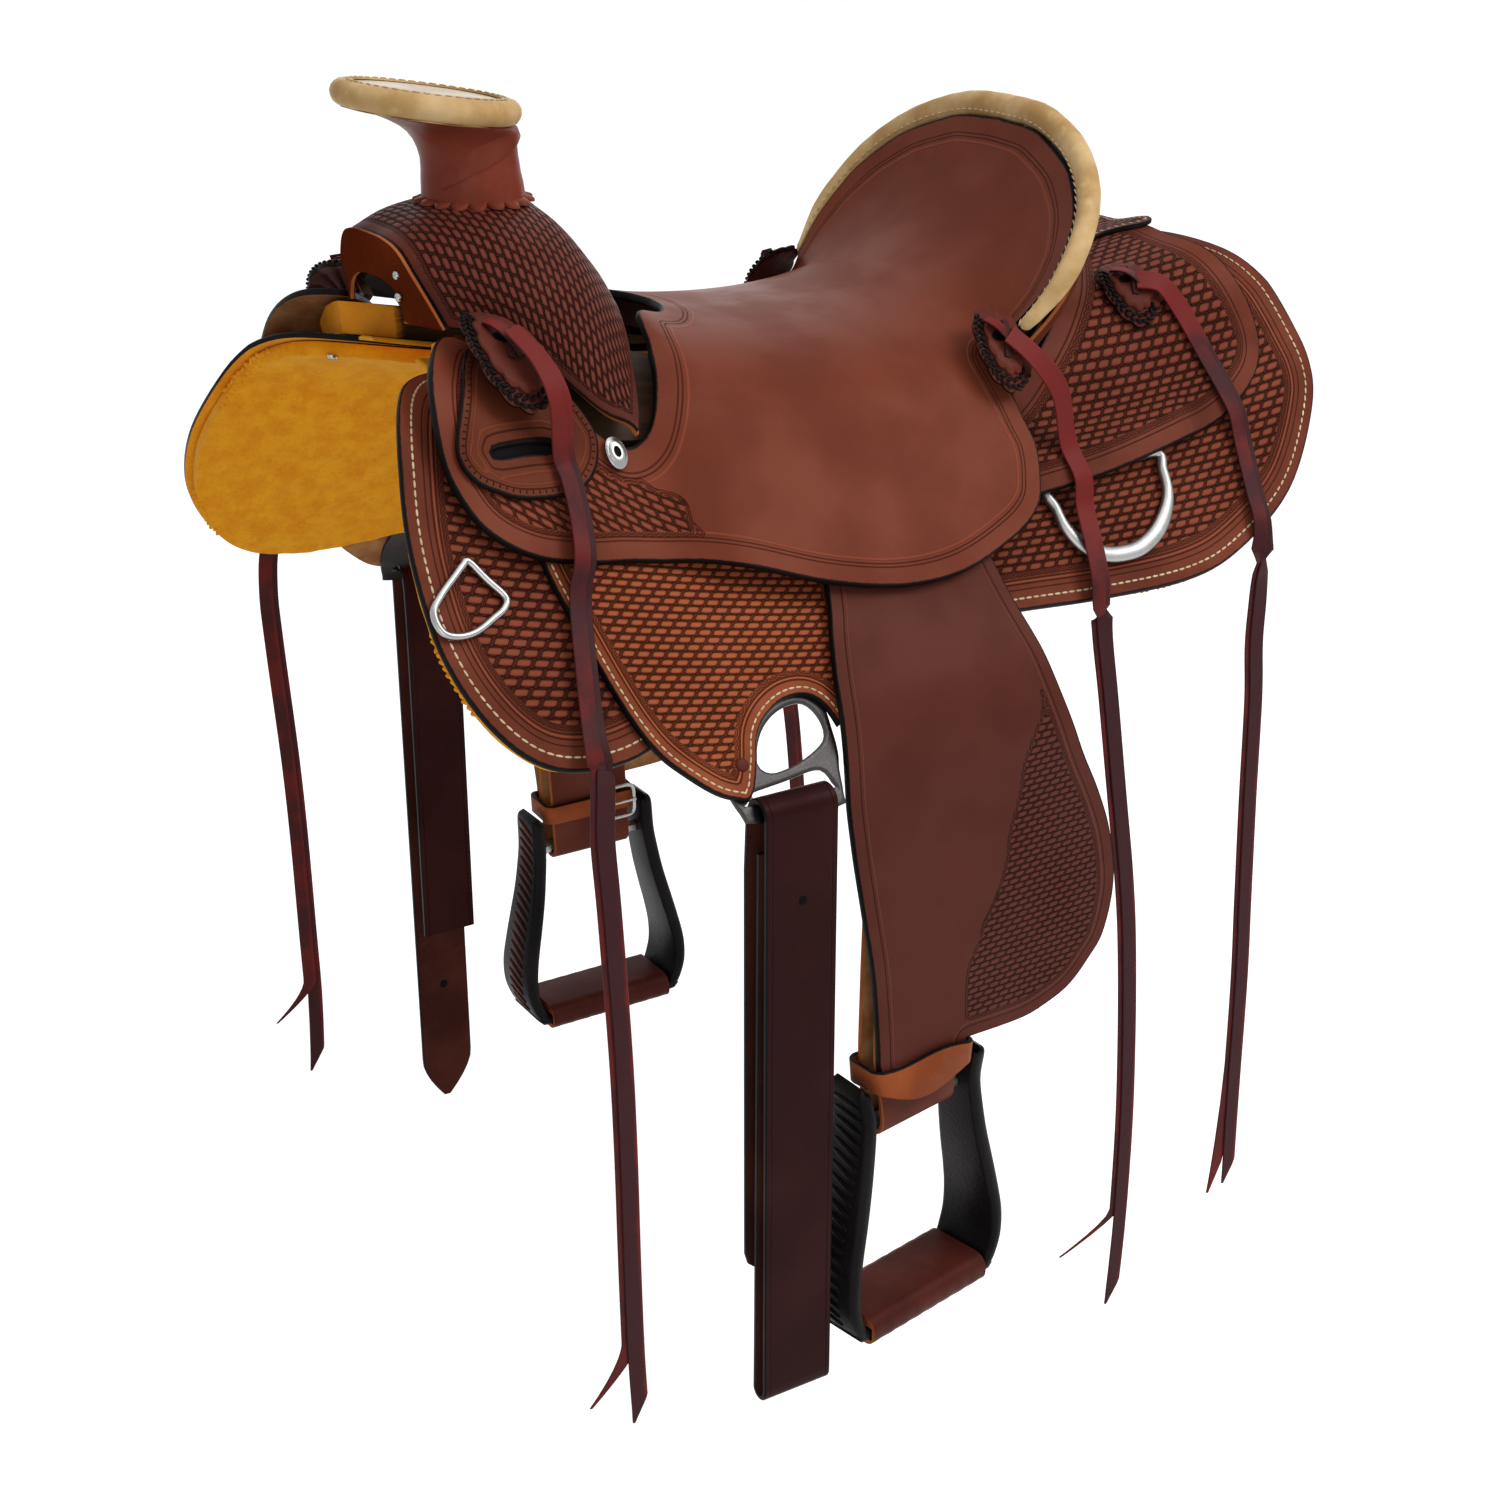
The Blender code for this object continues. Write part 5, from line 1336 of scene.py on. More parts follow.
def swell(v, g):
    """v runs from 0 at the front edge to 1 behind."""
    return Vector(place_over(FIFTHS, [arch_point(knots, g) for knots in ARCHES], v))


surface, faces, flat = grid_of(49, 97, swell)
numbers = {"flat": flat, "panel": flat[:, 2] - 9.0, "along": flat[:, 0]}
hide("swell_hide", surface, faces, numbers, [SWELL_LEATHER, FLESH, TAN_EDGE], 4.0, "swell_cover", outer=-1)
print("swell cover:", len(flat), "points")


# %% [markdown]
# In front the gullet is lined with a leather that runs from the swell's edge inwards. Its lower corners end
# on the tree bars, so the height of the bars is looked up there.

# %% Gullet
def on_bar(x, y, h):
    """Height of the layer h over the bar, straight above a place."""
    t = 0
    while drape(x, t, h + bump_of(max(48, t)), OFF).y < abs(y) and t < 200:
        t += 1
    return drape(x, t, h + bump_of(max(48, t)), OFF).z


def arch_inside(g):
    """The inner edge of the gullet's front face."""
    p, crown = arch_point(ARCHES[0], g), ARCHES[0][0][2]
    low = on_bar(min(-150.0, max(-257.0, p.x)), p.y * 0.6, 18.4)
    opening = max(2.0, min(24.0, crown - 26 - low))
    return Vector((-263.5, p.y * 0.6, low + opening * (1 - abs(2 * g - 1) ** 2.4)))


def gullet(v, g):
    return (arch_point(ARCHES[0], g) - Vector((0.6, 0, 0))).lerp(arch_inside(g), v)


surface, faces, flat = grid_of(9, 65, gullet)
hide(
    "gullet_hide", surface, faces, {"flat": flat}, [GULLET_LEATHER, FLESH, TAN_EDGE], 3.4, "gullet_lining",
    start=-3.6)
print("gullet lined")


# %% [markdown]
# The horn's wrap is one soft piece drawn round the neck and up under the cap. Its foot is cut in scallops
# and lies on the swell. Where the wrap overlaps, its cut edge winds half round the neck.

# %% Horn wrap
ROUND = around(180)
NECK = [
    (-198.5, 142, 31, 3), (-199, 148, 30.2, 3.5), (-199.5, 154, 30, 4), (-200.6, 159, 30.4, 5),
    (-202, 164, 31.5, 6), (-204, 168, 33.2, 7), (-206.5, 171, 35.5, 8), (-210, 174, 39, 8.6),
    (-213, 176, 42, 9), (-216.5, 178, 45, 9), (-219.5, 179.4, 47, 9), (-221, 181.2, 47, 9),
]
NECK_RADIUS = [(139, 32.4), (147, 30.6), (154, 30.2), (162, 31.2), (170, 35.0), (176, 41.5), (182, 46.5)]
NECK_MIDDLE = [(139, -198.2), (154, -199.5), (164, -202), (171, -206.5), (176, -213), (182, -221)]
LAP = ((0, -0.4), (0, 1.1), (1.2, 1.5), (7, 1.1), (13, -0.4))


def neck_ring(x, z, r, tilt):
    a, found = math.radians(tilt), []
    for v in ROUND:
        fore = r * math.cos(v)
        found.append(Vector((x + fore * math.cos(a), r * math.sin(v), z - fore * math.sin(a))))
    return found


def scallops(grow, lift):
    """The foot's outline on the swell, grown in 18 scallops."""
    found = []
    for v in ROUND:
        cut = grow * abs(math.sin(v * 9)) ** 0.7
        x, y = -198 + (31.4 + cut) * math.cos(v), (30.4 + cut) * math.sin(v)
        on_swell = 134.2 - 0.0036 * y * y - 0.12 * max(0, x + 200) - 0.10 * max(0, -200 - x)
        found.append(Vector((x, y, on_swell + lift)))
    return found


foot = [neck_ring(-198, 134.7, 2, 0)] + [
    scallops(*s) for s in ((6.0, -0.4), (6.0, 1.0), (5.2, 1.7), (0.4, 2.4))]
piece("horn_neck", loft(foot + [neck_ring(*s) for s in NECK]), [HORN_LEATHER], node="horn_wrap")
overlap = []
for k in range(41):
    a, start, tilt = math.radians(-150 + 3.25 * k), 139 + 0.85 * k, math.radians(3 + 0.125 * k)
    ring = []
    for w, h in LAP:
        z = start + w
        r, x = over(NECK_RADIUS, z) + h, over(NECK_MIDDLE, z)
        ring.append(Vector((
            x + r * math.cos(a), r * math.sin(a), min(z, 180.5) - r * math.cos(a) * math.sin(tilt))))
    overlap.append(ring)
piece("horn_wrap_edge", loft(overlap), [HORN_LEATHER])
print("horn wrapped")

# %% [markdown]
# The cap is a disc of rawhide, rolled and stitched round its rim. Everything on it is turned round one
# tilted axis, as on a lathe, with the faintest unevenness in the roll.

# %% Horn cap
CAP = Vector((-226, 0, 190))
TILT = math.radians(9)
UP = Vector((math.sin(TILT), 0, math.cos(TILT)))
ACROSS = Vector((math.cos(TILT), 0, -math.sin(TILT)))
DISC = [(0.5, -6.6), (47.6, -6.6), (47.6, 4.9), (46, 5.6), (40, 6.2), (20, 7.0), (0.5, 7.2)]
ROLL = [
    (48.2, -6.6), (50.2, -7.5), (52.4, -7.5), (54.6, -6.0), (56.2, -3.4), (56.95, -0.4), (56.4, 2.6),
    (54.8, 5.0), (52.6, 6.6), (50.4, 7.1), (48.4, 6.6), (45.6, 7.2), (44.6, 7.4), (44.2, 6.4), (48.0, 4.4),
]
FLANGE = [(38, -7.2), (46, -7.7), (49.0, -7.9), (49.4, -8.6), (46, -9.0), (38, -8.6)]


def on_cap(r, v, h):
    """A place on the cap, at an angle v and a height h."""
    return CAP + UP * h + (ACROSS * math.cos(v) + Vector((0, 1, 0)) * math.sin(v)) * r


def lathe(profile, n, uneven=0.0, ends=False):
    """A shape turned round the cap's axis: profile of (radius, height)."""
    rings = []
    for r, h in profile:
        waves = [math.sin(5 * v + r) + math.sin(11 * v + 2 * h) for v in around(n)]
        rings.append([on_cap(r * (1 + uneven * wave / 2), v, h) for v, wave in zip(around(n), waves)])
    return loft(rings, ends)


piece("horn_cap_disc", lathe(DISC, 96, ends=True), [CAP_TOP], slot="rawhide", node="horn_cap", sharp=50)
piece("horn_cap_roll", lathe(ROLL, 128, 0.002), [RAW], slot="rawhide", node="horn_cap_binding", sharp=50)
piece("horn_cap_flange", lathe(FLANGE, 96, 0.02), [RAW], slot="rawhide", sharp=50)
rawhide_stitches.append(([on_cap(47.0, v, 7.6) for v in [*around(96), 0]], [UP] * 97))
print("horn capped,", round(2 * ROLL[5][0]), "mm across")


# %% [markdown]
# ## Fenders and stirrup leathers
#
# Below the knee the leathers are twisted so that the stirrup faces forward. So everything here is drawn
# upright, with y measured outwards, and one function turns it to its side: below the knee on the near side
# by 11 degrees.

# %% Turning what hangs
FACE_Y = HANG.at(340)[0]
PIN = Vector((-26, FACE_Y - 6.8, -438.5))
YAW, LEAN = {"near": 11.0, "off": 0.0}, {"near": 0.0, "off": 0.04}


def turner(label, side):
    """Places what hangs on one side, from x, y outwards and z."""
    def turn(x, y, z):
        a = math.radians(YAW[label]) * ease(-388, -436, z)
        dx, dy = x - PIN.x, y - PIN.y
        turned_x = PIN.x + dx * math.cos(a) + dy * math.sin(a)
        turned_y = PIN.y - dx * math.sin(a) + dy * math.cos(a)
        return Vector((turned_x + LEAN[label] * max(0.0, -z - 10), side * turned_y, z))

    return turn


TURN = {label: turner(label, side) for label, side in SIDES}
print("the stirrup pin hangs at z", PIN.z)


# %% [markdown]
# A strap is a long strip seen from its edge: its middle follows a path in y and z, and its two edges are
# given along the way, so that it can narrow to a point. Bends are short arcs.

# %% Straps
def bend(y, z, r, a0, a1, n=12):
    angles = [math.radians(a0 + (a1 - a0) * k / n) for k in range(n + 1)]
    return [(y + r * math.cos(a), z + r * math.sin(a)) for a in angles]


def fuller(path, steps):
    """More points on a line, none of the given ones lost. steps tells how many a stretch of some length
    gets."""
    found = []
    for a, b in zip(path, path[1:]):
        n = steps(math.dist(a, b))
        found += [tuple(p + (q - p) * k / n for p, q in zip(a, b)) for k in range(n)]
    return found + [path[-1]]


def strap(name, path, edges, thick, place, finishes, body, slot, node_):
    """edges(mark, length) gives the strap's two edges in x, and place(x, y, z) where a point goes."""
    path = fuller(path, lambda length: max(1, round(length / 8)))
    marks = marks_of(path)
    rings, flat = [], []
    for i, ((y, z), mark) in enumerate(zip(path, marks)):
        a, b = path[max(0, i - 1)], path[min(len(path) - 1, i + 1)]
        d = 2 * math.dist(a, b) / thick
        ny, nz = (a[1] - b[1]) / d, (b[0] - a[0]) / d
        x0, x1 = edges(mark, marks[-1])
        half = (x1 - x0) / 2
        eased = min(5, half)
        row = [
            (x0, 0.0), (x0 + 0.8, 0.8), (x0 + eased, eased), (x0 + half, half), (x1 - eased, eased),
            (x1 - 0.8, 0.8),
            (x1, 0.0)]
        section = [(x, d_, -1 if d_ else -0.6) for x, d_ in row] + [
            (x, d_, 1 if d_ else 0.6) for x, d_ in row[::-1]]
        rings.append([place(x, y + q * ny, z + q * nz) for x, _, q in section])
        flat += [(x, mark, d_) for x, d_, _ in section]

    def which(face):
        columns = {i % 14 for i in face}
        return 2 if len(face) > 4 or columns & {0, 6, 7, 13} else 0 if min(columns) > 7 else 1

    return piece(name, loft(rings), finishes, body, slot, node_, which, {"flat": np.array(flat)}, 35)


half_turn = bend(0, 0, 10, 0, 180)
print("a half turn on a 10 mm radius is", round(marks_of(half_turn)[-1], 1), "mm long")

# %% [markdown]
# A fender keeps the sweat off the rider's leg. Its stamped field is shaped behind by a scroll. The stirrup
# leather runs down its inner face, round the stirrup's bolt and up again.

# %% Fenders and stirrup leathers
FENDER = [
    (-54, 138, 1), (-66, 215), (-75, 246), (-84, 284), (-88, 330), (-83, 373), (-74, 423), (-66, 468),
    (-61, 524), (-61, 548, 1), (9, 548, 1), (9.5, 532, 1), (52, 531), (73, 526), (93, 517), (109, 501),
    (121, 483), (127, 448), (121, 410), (109, 378), (94, 347), (79, 309), (71, 275), (60, 224),
    (50, 138, 1),
]
FENDER_FIELD = [
    (64, 300, 1), (62, 318), (54, 330), (47, 347), (45, 366), (38, 392), (37, 410), (29, 436), (20, 452),
    (18, 462), (10, 478), (8, 492), (10, 540, 1), (160, 540, 1), (160, 290, 1),
]
LOW = {"near": 4.7, "off": 4.4}
falls = [-384, -392, -400, -408, -416, -424, -432]
path = [(y + 1.8 * math.sin(a), z + 1.8 * math.cos(a)) for y, z, a in map(HANG.at, range(128, 341, 8))]
path += [(FACE_Y + 1.8, z) for z in falls] + bend(PIN.y, PIN.z + 1.2, 8.6, 0, -180)
path += [(FACE_Y - 15.4, z) for z in falls[::-1]] + [(FACE_Y - 14.4, -330), (FACE_Y - 12.2, -262)]
for label, side in SIDES:
    turn, at = TURN[label], laid_on(HANG, OFF)
    leather_piece(
        f"fender_{label}", curve(FENDER), lambda x, s, h, turn=turn: turn(*at(x, s, h)),
        LOW[label], LOW[label] + 3.8, [FENDER_LEATHER, FLESH, BLACK_EDGE],
        f"fender_{label}", "fender_leather", 15.5, curve(FENDER_FIELD, 5))
    STIRRUP_STRAP = plain_leather(f"stirrup_strap_{label}", (112, 58, 44), (88, 44, 34), 0.45)
    strap(
        f"leather_strap_{label}", path, lambda mark, length: (-60, 8), 3.6, turn,
        [STIRRUP_STRAP, FLESH, TAN_EDGE],
        f"fender_{label}", "fender_leather", f"stirrup_leather_{label}")
print("fenders hung")

# %% [markdown]
# A stirrup is a bent board, here covered with black leather whose edges are laced together down the outside
# of each leg. The board's section is a rounded oblong, swept from one top round under the foot to the other.
# Where the foot rests, a second leather is wrapped round it.

# %% Stirrups
LEG = [
    (48.5, -409, 3.0, 14), (49, -412, 5.2, 16.5), (49.5, -436, 5.5, 17), (51.5, -454, 5.5, 18),
    (55, -476, 5.5, 19.5), (60, -499, 5.4, 21.5), (65, -521, 5.2, 23), (68.5, -541, 5.0, 24.5),
    (68.5, -558, 4.8, 25), (65.5, -570, 4.6, 25), (61, -579.5, 4.4, 24.5), (56, -583, 4.2, 24),
    (0, -583, 4.2, 24),
]
TREAD_RINGS = 25


def oblong(hx, hy, r, n):
    """A rounded oblong of half sizes hx and hy."""
    found = []
    for cx, cy, a0 in (
            (hx - r, hy - r, 0), (-hx + r, hy - r, 90), (-hx + r, -hy + r, 180), (hx - r, -hy + r, 270)):
        angles = [math.radians(a0 + 90 * k / n) for k in range(n + 1)]
        found += [(cx + r * math.cos(v), cy + r * math.sin(v)) for v in angles]
    return found


leg = through(LEG, 4)
stations = [(-w, z, half, depth) for w, z, half, depth in leg] + leg[-2::-1]
legs = []
for i, (w, z, half, depth) in enumerate(stations):
    a, b = stations[max(0, i - 1)], stations[min(len(stations) - 1, i + 1)]
    gap = math.hypot(b[0] - a[0], b[1] - a[1])
    legs.append((w, z, half, depth, (b[1] - a[1]) / gap, (a[0] - b[0]) / gap))
for label, side in SIDES:
    turn = TURN[label]
    board = [
        [turn(PIN.x + w + nw * p, PIN.y + q, z + nz * p) for p, q in oblong(half, depth, half * 0.75, 3)]
        for w, z, half, depth, nw, nz in legs]
    piece(
        f"stirrup_board_{label}", loft(board), [STIRRUP_LEATHER], f"stirrup_{label}", "black_wood",
        f"stirrup_{label}", sharp=50)
    outer, inner = [], []
    for k in range(TREAD_RINGS):
        x, wrap = PIN.x - 54.5 + 109 * k / 24, 1 + 0.01 * math.sin(k * 2.1)
        outer.append([
            turn(x, PIN.y + p * wrap, -582 + q + (1.6 * (1 - (p / 27) ** 2) if q > 0 else 0))
            for p, q in oblong(27.0, 10.0, 8.5, 8)])
        inner.append([turn(x, PIN.y + p, -583 + q) for p, q in oblong(24.5, 4.7, 0.8, 8)])
    cut = [r in (TREAD_RINGS - 1, 2 * TREAD_RINGS - 1) for r in range(2 * TREAD_RINGS) for _ in outer[0]]
    piece(
        f"tread_wrap_{label}", loft(outer + inner[::-1], ends=False), [TREAD_LEATHER, TAN_EDGE],
        f"stirrup_{label}",
        "tread_leather", f"stirrup_tread_{label}", cut, sharp=50)
print("stirrups made")

# %% [markdown]
# ## Stitching and lacing
#
# A stitch, a thong of lacing, a tuft of wool: all are small rounded bars set in steps along a line. Geometry
# Nodes place them. The tree turns a line of edges into a curve, puts a point on each step, and stands a
# stretched ball on it, turned by the line's own direction and by the way that is up there.

# %% A tree for what repeats along a line
SIZES = {"Step": 0.0052, "Length": 0.0042, "Thickness": 0.0009, "Flatness": 0.6, "Lean": 0.0}
REPEAT = bpy.data.node_groups.new("bars along a line", "GeometryNodeTree")
REPEAT.interface.new_socket("Lines", in_out="INPUT", socket_type="NodeSocketGeometry")
for key, value in SIZES.items():
    connect(value, REPEAT.interface.new_socket(key, in_out="INPUT", socket_type="NodeSocketFloat"))
REPEAT.interface.new_socket("Finish", in_out="INPUT", socket_type="NodeSocketMaterial")
REPEAT.interface.new_socket("Bars", in_out="OUTPUT", socket_type="NodeSocketGeometry")
enter = {socket.name: Value(socket) for socket in REPEAT.nodes.new("NodeGroupInput").outputs}
line = node("GeometryNodeMeshToCurve", enter["Lines"])
steps = node("GeometryNodeResampleCurve", line, None, None, enter["Step"], mode="LENGTH")
up = node("GeometryNodeInputNamedAttribute", "up", tree=REPEAT, data_type="FLOAT_VECTOR")
along = node("GeometryNodeInputTangent", tree=REPEAT)
facing = node("FunctionNodeAxesToRotation", up, along, primary_axis="Z", secondary_axis="X")
leaning = node("FunctionNodeEulerToRotation", node("ShaderNodeCombineXYZ", None, None, enter["Lean"]))
turned = node("FunctionNodeRotateRotation", facing, leaning, rotation_space="LOCAL")
ball = node("GeometryNodeMeshUVSphere", 8, 5, 0.5, tree=REPEAT)
lying = node("GeometryNodeTransform", ball, None, (0, math.pi / 2, 0))
size = node(
    "ShaderNodeCombineXYZ", enter["Length"], enter["Thickness"], enter["Thickness"] * enter["Flatness"])
bar = node("GeometryNodeTransform", lying, None, None, size)
bars = node("GeometryNodeInstanceOnPoints", steps, None, bar, None, None, turned)
smooth = node("GeometryNodeSetShadeSmooth", node("GeometryNodeRealizeInstances", bars))
painted = node("GeometryNodeSetMaterial", smooth, None, enter["Finish"])
connect(painted, REPEAT.nodes.new("NodeGroupOutput").inputs[0])
IDS = {item.name: item.identifier for item in REPEAT.interface.items_tree if item.in_out == "INPUT"}
print("repeat tree:", len(REPEAT.nodes), "nodes, with", ", ".join(IDS))


# %% [markdown]
# The tree's result is read back as a plain mesh, one for each row of stitches and the body it moves with. A
# row beside an edge follows the pattern at an even distance, and stops where the leather goes under another.

# %% Rows along lines
def repeat(name, lines, finish_, body="saddle", slot="skirt_leather", **sizes):
    """One plain mesh of bars. lines is a list of (points, ups) in millimetres."""
    mesh = bpy.data.meshes.new(name + "_line")
    points, ups, edges = [], [], []
    for line, up in lines:
        edges += [(len(points) + i, len(points) + i + 1) for i in range(len(line) - 1)]
        points += [tuple(p * MM) for p in line]
        ups += [tuple(v) for v in up]
    mesh.from_pydata(points, edges, [])
    layer = mesh.attributes.new("up", "FLOAT_VECTOR", "POINT")
    layer.data.foreach_set("vector", np.array(ups, np.float32).ravel())
    guide = bpy.data.objects.new(name + "_line", mesh)
    bpy.context.scene.collection.objects.link(guide)
    modifier = guide.modifiers.new("bars", "NODES")
    modifier.node_group = REPEAT
    for key, value in {**sizes, "Finish": finish_}.items():
        modifier[IDS[key]] = value
    made = bpy.data.meshes.new_from_object(guide.evaluated_get(bpy.context.evaluated_depsgraph_get()))
    made.name = name
    bpy.data.objects.remove(guide)
    return fitted(bpy.data.objects.new(name, made), body, slot)


def beside_edge(outline, inset, at, height, keep=None):
    """Lines inset from an outline and laid on the leather, with the way up. keep(x, t) tells where there are
    stitches."""
    loop = evenly(outline, 4.0)
    way = normals_beside(loop)
    if not inside(loop[:1] + way[:1] * 2, loop)[0]:
        way = -way
    line = loop + way * inset
    ok = nearest(line, loop)[0] > inset * 0.96
    if keep:
        ok &= np.array([keep(x, t) for x, t in line])
    order = [*range(len(line)), 0] if ok.all() else np.roll(np.arange(len(line)), -int(np.argmin(ok)))
    runs = [[]]
    for i in order:
        if ok[i]:
            runs[-1].append(line[i])
        elif runs[-1]:
            runs.append([])
    found = []
    for run in runs:
        if len(run) > 2:
            heights = [height(x, t) if callable(height) else height for x, t in run]
            points = [at(x, t, h) for (x, t), h in zip(run, heights)]
            tips = [at(x, t, h + 2) for (x, t), h in zip(run, heights)]
            found.append((points, [(tip - p).normalized() for tip, p in zip(tips, points)]))
    return found


print("rows can be made")

# %% [markdown]
# The skirts are stitched to their sheepskins all round, the rigging leather to the skirt, and the rawhide to
# the dish and the horn's cap. All of it is cream thread, five or six millimetres to a stitch.

# %% Stitch the skirts, rigging and rawhide
for label, side in SIDES:
    at = drape_on(side)
    rows = beside_edge(flared_on(label, SKIRT), 7.6, at, 15.1, keep=lambda x, t: t > 60)
    repeat(f"skirt_stitches_{label}", rows, THREAD, Step=0.0056, Length=0.0049, Thickness=0.0015)
    rows = beside_edge(curve(RIGGING), 4.6, at, 20.1, keep=lambda x, t: t > 160 and x < -62)
    repeat(f"rigging_stitches_{label}", rows, THREAD, Step=0.005, Length=0.0043, Thickness=0.0013)
repeat(
    "rawhide_stitches", rawhide_stitches, THREAD, slot="rawhide", Step=0.0062, Length=0.005,
    Thickness=0.0015)
rows = beside_edge(joiner, 4.2, across, above(joiner_h, 3.2))
repeat("joiner_stitches", rows, THREAD, Step=0.005, Length=0.004, Thickness=0.001)
print("stitched")

# %% [markdown]
# The seam down each stirrup leg is laced with thongs that cross it at a slant: black lace on the near
# stirrup, where the photograph shows it, and brown on the other.

# %% Lace the stirrups
LACES = {"near": LACE_LEATHER, "off": LACE_BROWN}
for label, side in SIDES:
    turn = TURN[label]
    for flip, key in ((-1, "front"), (1, "back")):
        points, ups = [], []
        for w, z, half, depth, nw, nz in sorted(legs, key=lambda leg: -leg[1]):
            if w * flip > 40 and -572 < z < -414:
                out = 1 if nw * flip > 0 else -1
                point, tip = (
                    turn(PIN.x + w + nw * out * away, PIN.y, z + nz * out * away)
                    for away in (half + 0.3, half + 3))
                points.append(point)
                ups.append((tip - point).normalized())
        repeat(
            f"stirrup_lacing_{key}_{label}", [(points, ups)], LACES[label], f"stirrup_{label}",
            "black_wood",
            Step=0.0082, Length=0.026, Thickness=0.0046, Flatness=0.55, Lean=1.25)
print("stirrups laced")

# %% [markdown]
# ## Straps and hardware
#
# The latigo on the near side ties the cinch, and the billet on the off side buckles it. Both hang doubled
# over the bar of their rigging plate.

# %% Latigo and billet
BAR_Y, BAR_Z = drape(-130, 338.5, 14.1, OFF)[1:]


def from_bar(*places):
    """Places given from the bar they hang on."""
    return [(BAR_Y + y, BAR_Z + z) for y, z in places]


def latigo_edges(mark, length):
    """The end behind is cut on a slant."""
    return -155.5 + 30 * max(0.0, 1 - mark / 26), -105.0


def billet_edges(mark, length):
    """The billet's tip is round-pointed, and its hidden end is cut square."""
    tip = max(0.0, 1 - (length - mark) / 34) ** 1.6
    return -153.0 + 17 * tip, -110.0 - 20 * tip


def upright(side):
    return lambda x, y, z: Vector((x, side * y, z))


latigo = from_bar((-13.6, -345), (-13.4, -40), (-11.6, -10)) + bend(BAR_Y, BAR_Z - 0.5, 9.6, 160, 0)
latigo += from_bar((9.6, -30), (9.4, -404)) + bend(BAR_Y + 3.6, BAR_Z - 408, 5.8, -15, -165, 8)
latigo += from_bar((-1.6, -380), (1.0, -60), (1.4, -24))
billet = from_bar((-11.6, -300), (-11.8, -40), (-10.6, -8)) + bend(BAR_Y, BAR_Z - 0.5, 9.4, 160, 0)
billet += from_bar((9.0, -40), (7.0, -400), (7.0, -460))
STRAP_FINISHES = [STRAP_LEATHER, STRAP_BACK, BLACK_EDGE]
strap(
    "latigo_strap", latigo, latigo_edges, 3.4, upright(NEAR), STRAP_FINISHES, "latigo", "strap_leather",
    "near_latigo")
strap(
    "billet_strap", billet, billet_edges, 3.6, upright(OFF), STRAP_FINISHES, "billet", "strap_leather",
    "off_billet")
print("latigo", round(marks_of(latigo)[-1]), "mm, billet", round(marks_of(billet)[-1]), "mm")

# %% [markdown]
# A hobble strap holds each stirrup leather together above the stirrup. It is a wide band, shaped lower in
# front, with a rounded wire buckle behind it.

# %% Hobble straps and buckles
BAND_Y = FACE_Y - 4.6


def tube(path, radius, up, closed=False, n=20):
    """Rings round a path. radius is one number, or for each point one across and one up."""
    rings, last = [], len(path) - 1
    for i, p in enumerate(path):
        before, after = (i - 1, (i + 1) % len(path)) if closed else (max(0, i - 1), min(last, i + 1))
        along = (path[after] - path[before]).normalized()
        aside = along.cross(up).normalized()
        out = aside.cross(along).normalized()
        ra, rb = radius[i] if isinstance(radius, list) else (radius, radius)
        rings.append([p + aside * ra * math.cos(v) + out * rb * math.sin(v) for v in around(n)])
    return loft(rings, ends=not closed)


def hobble_ring(x, y, xo, yo):
    """The band's section at one place of its inside (x, y) and its outside (xo, yo)."""
    front = ease(-17, 17, y)
    wave = math.sin(math.pi * min(1, max(0, (x + 38) / 76)))
    top = -397.3 + front * (3 - 2.5 * math.sin(2 * math.pi * (x + 44) / 80))
    low = -413 - front * (-2 + 13 * wave)
    ex, ey = (xo - x) * 0.22, (yo - y) * 0.22
    return (
        (x, y, low + 0.7), (x + ex, y + ey, low), (xo - ex, yo - ey, low), (xo, yo, low + 0.8),
        (xo, yo, top - 0.8), (xo - ex, yo - ey, top), (x + ex, y + ey, top), (x, y, top - 0.7))


def buckle_place(v):
    """A place on the buckle's frame, a circle pulled out towards a square."""
    w, z = (size * math.copysign(abs(a) ** 0.42, a) for size, a in ((14, math.cos(v)), (13.5, math.sin(v))))
    return PIN.x + 22 + w, BAND_Y - 20.0, -405 + z


band_inside, band_outside = (
    fuller(loop + loop[:1], lambda length: 10 if length > 20 else 1)[:-1]
    for loop in (oblong(37.9, 14.6, 5, 8), oblong(40.9, 17.6, 8, 8)))
tongue = ((-13.4, 0.6), (-6, 1.2), (0, 1.4), (7, 1.2), (15, 0.8))
for label, side in SIDES:
    turn, body = TURN[label], f"fender_{label}"
    sections = [hobble_ring(*a, *b) for a, b in zip(band_inside, band_outside)]
    rings = [[turn(PIN.x + x, BAND_Y + y, z) for x, y, z in section] for section in sections]
    piece(
        f"hobble_band_{label}", loft(rings, ends=False), [HOBBLE_LEATHER, BLACK_EDGE], body, "tan_leather",
        f"hobble_strap_{label}", lambda f: {i % 8 for i in f} in ({4, 5}, {5, 6}, {6, 7}))
    frame_line = [turn(*buckle_place(v)) for v in around(48)]
    piece(
        f"buckle_frame_{label}", tube(frame_line, 1.7, Vector((0, side, 0)), True, 14), [NICKEL], body,
        "steel",
        f"hobble_buckle_{label}", sharp=60)
    middle = [turn(PIN.x + 22 + w, BAND_Y - 20.9 - h, -405) for w, h in tongue]
    piece(
        f"buckle_tongue_{label}", tube(middle, 1.2, Vector((0, 0, 1)), n=10), [NICKEL], body, "steel",
        sharp=60)
print("straps buckled")

# %% [markdown]
# The dees are bent wire. The front one is thin and carries the breast collar; the rear one is cast and
# fattens towards its bow. The rigging plate is sheet steel with a ring and a slot for the straps.

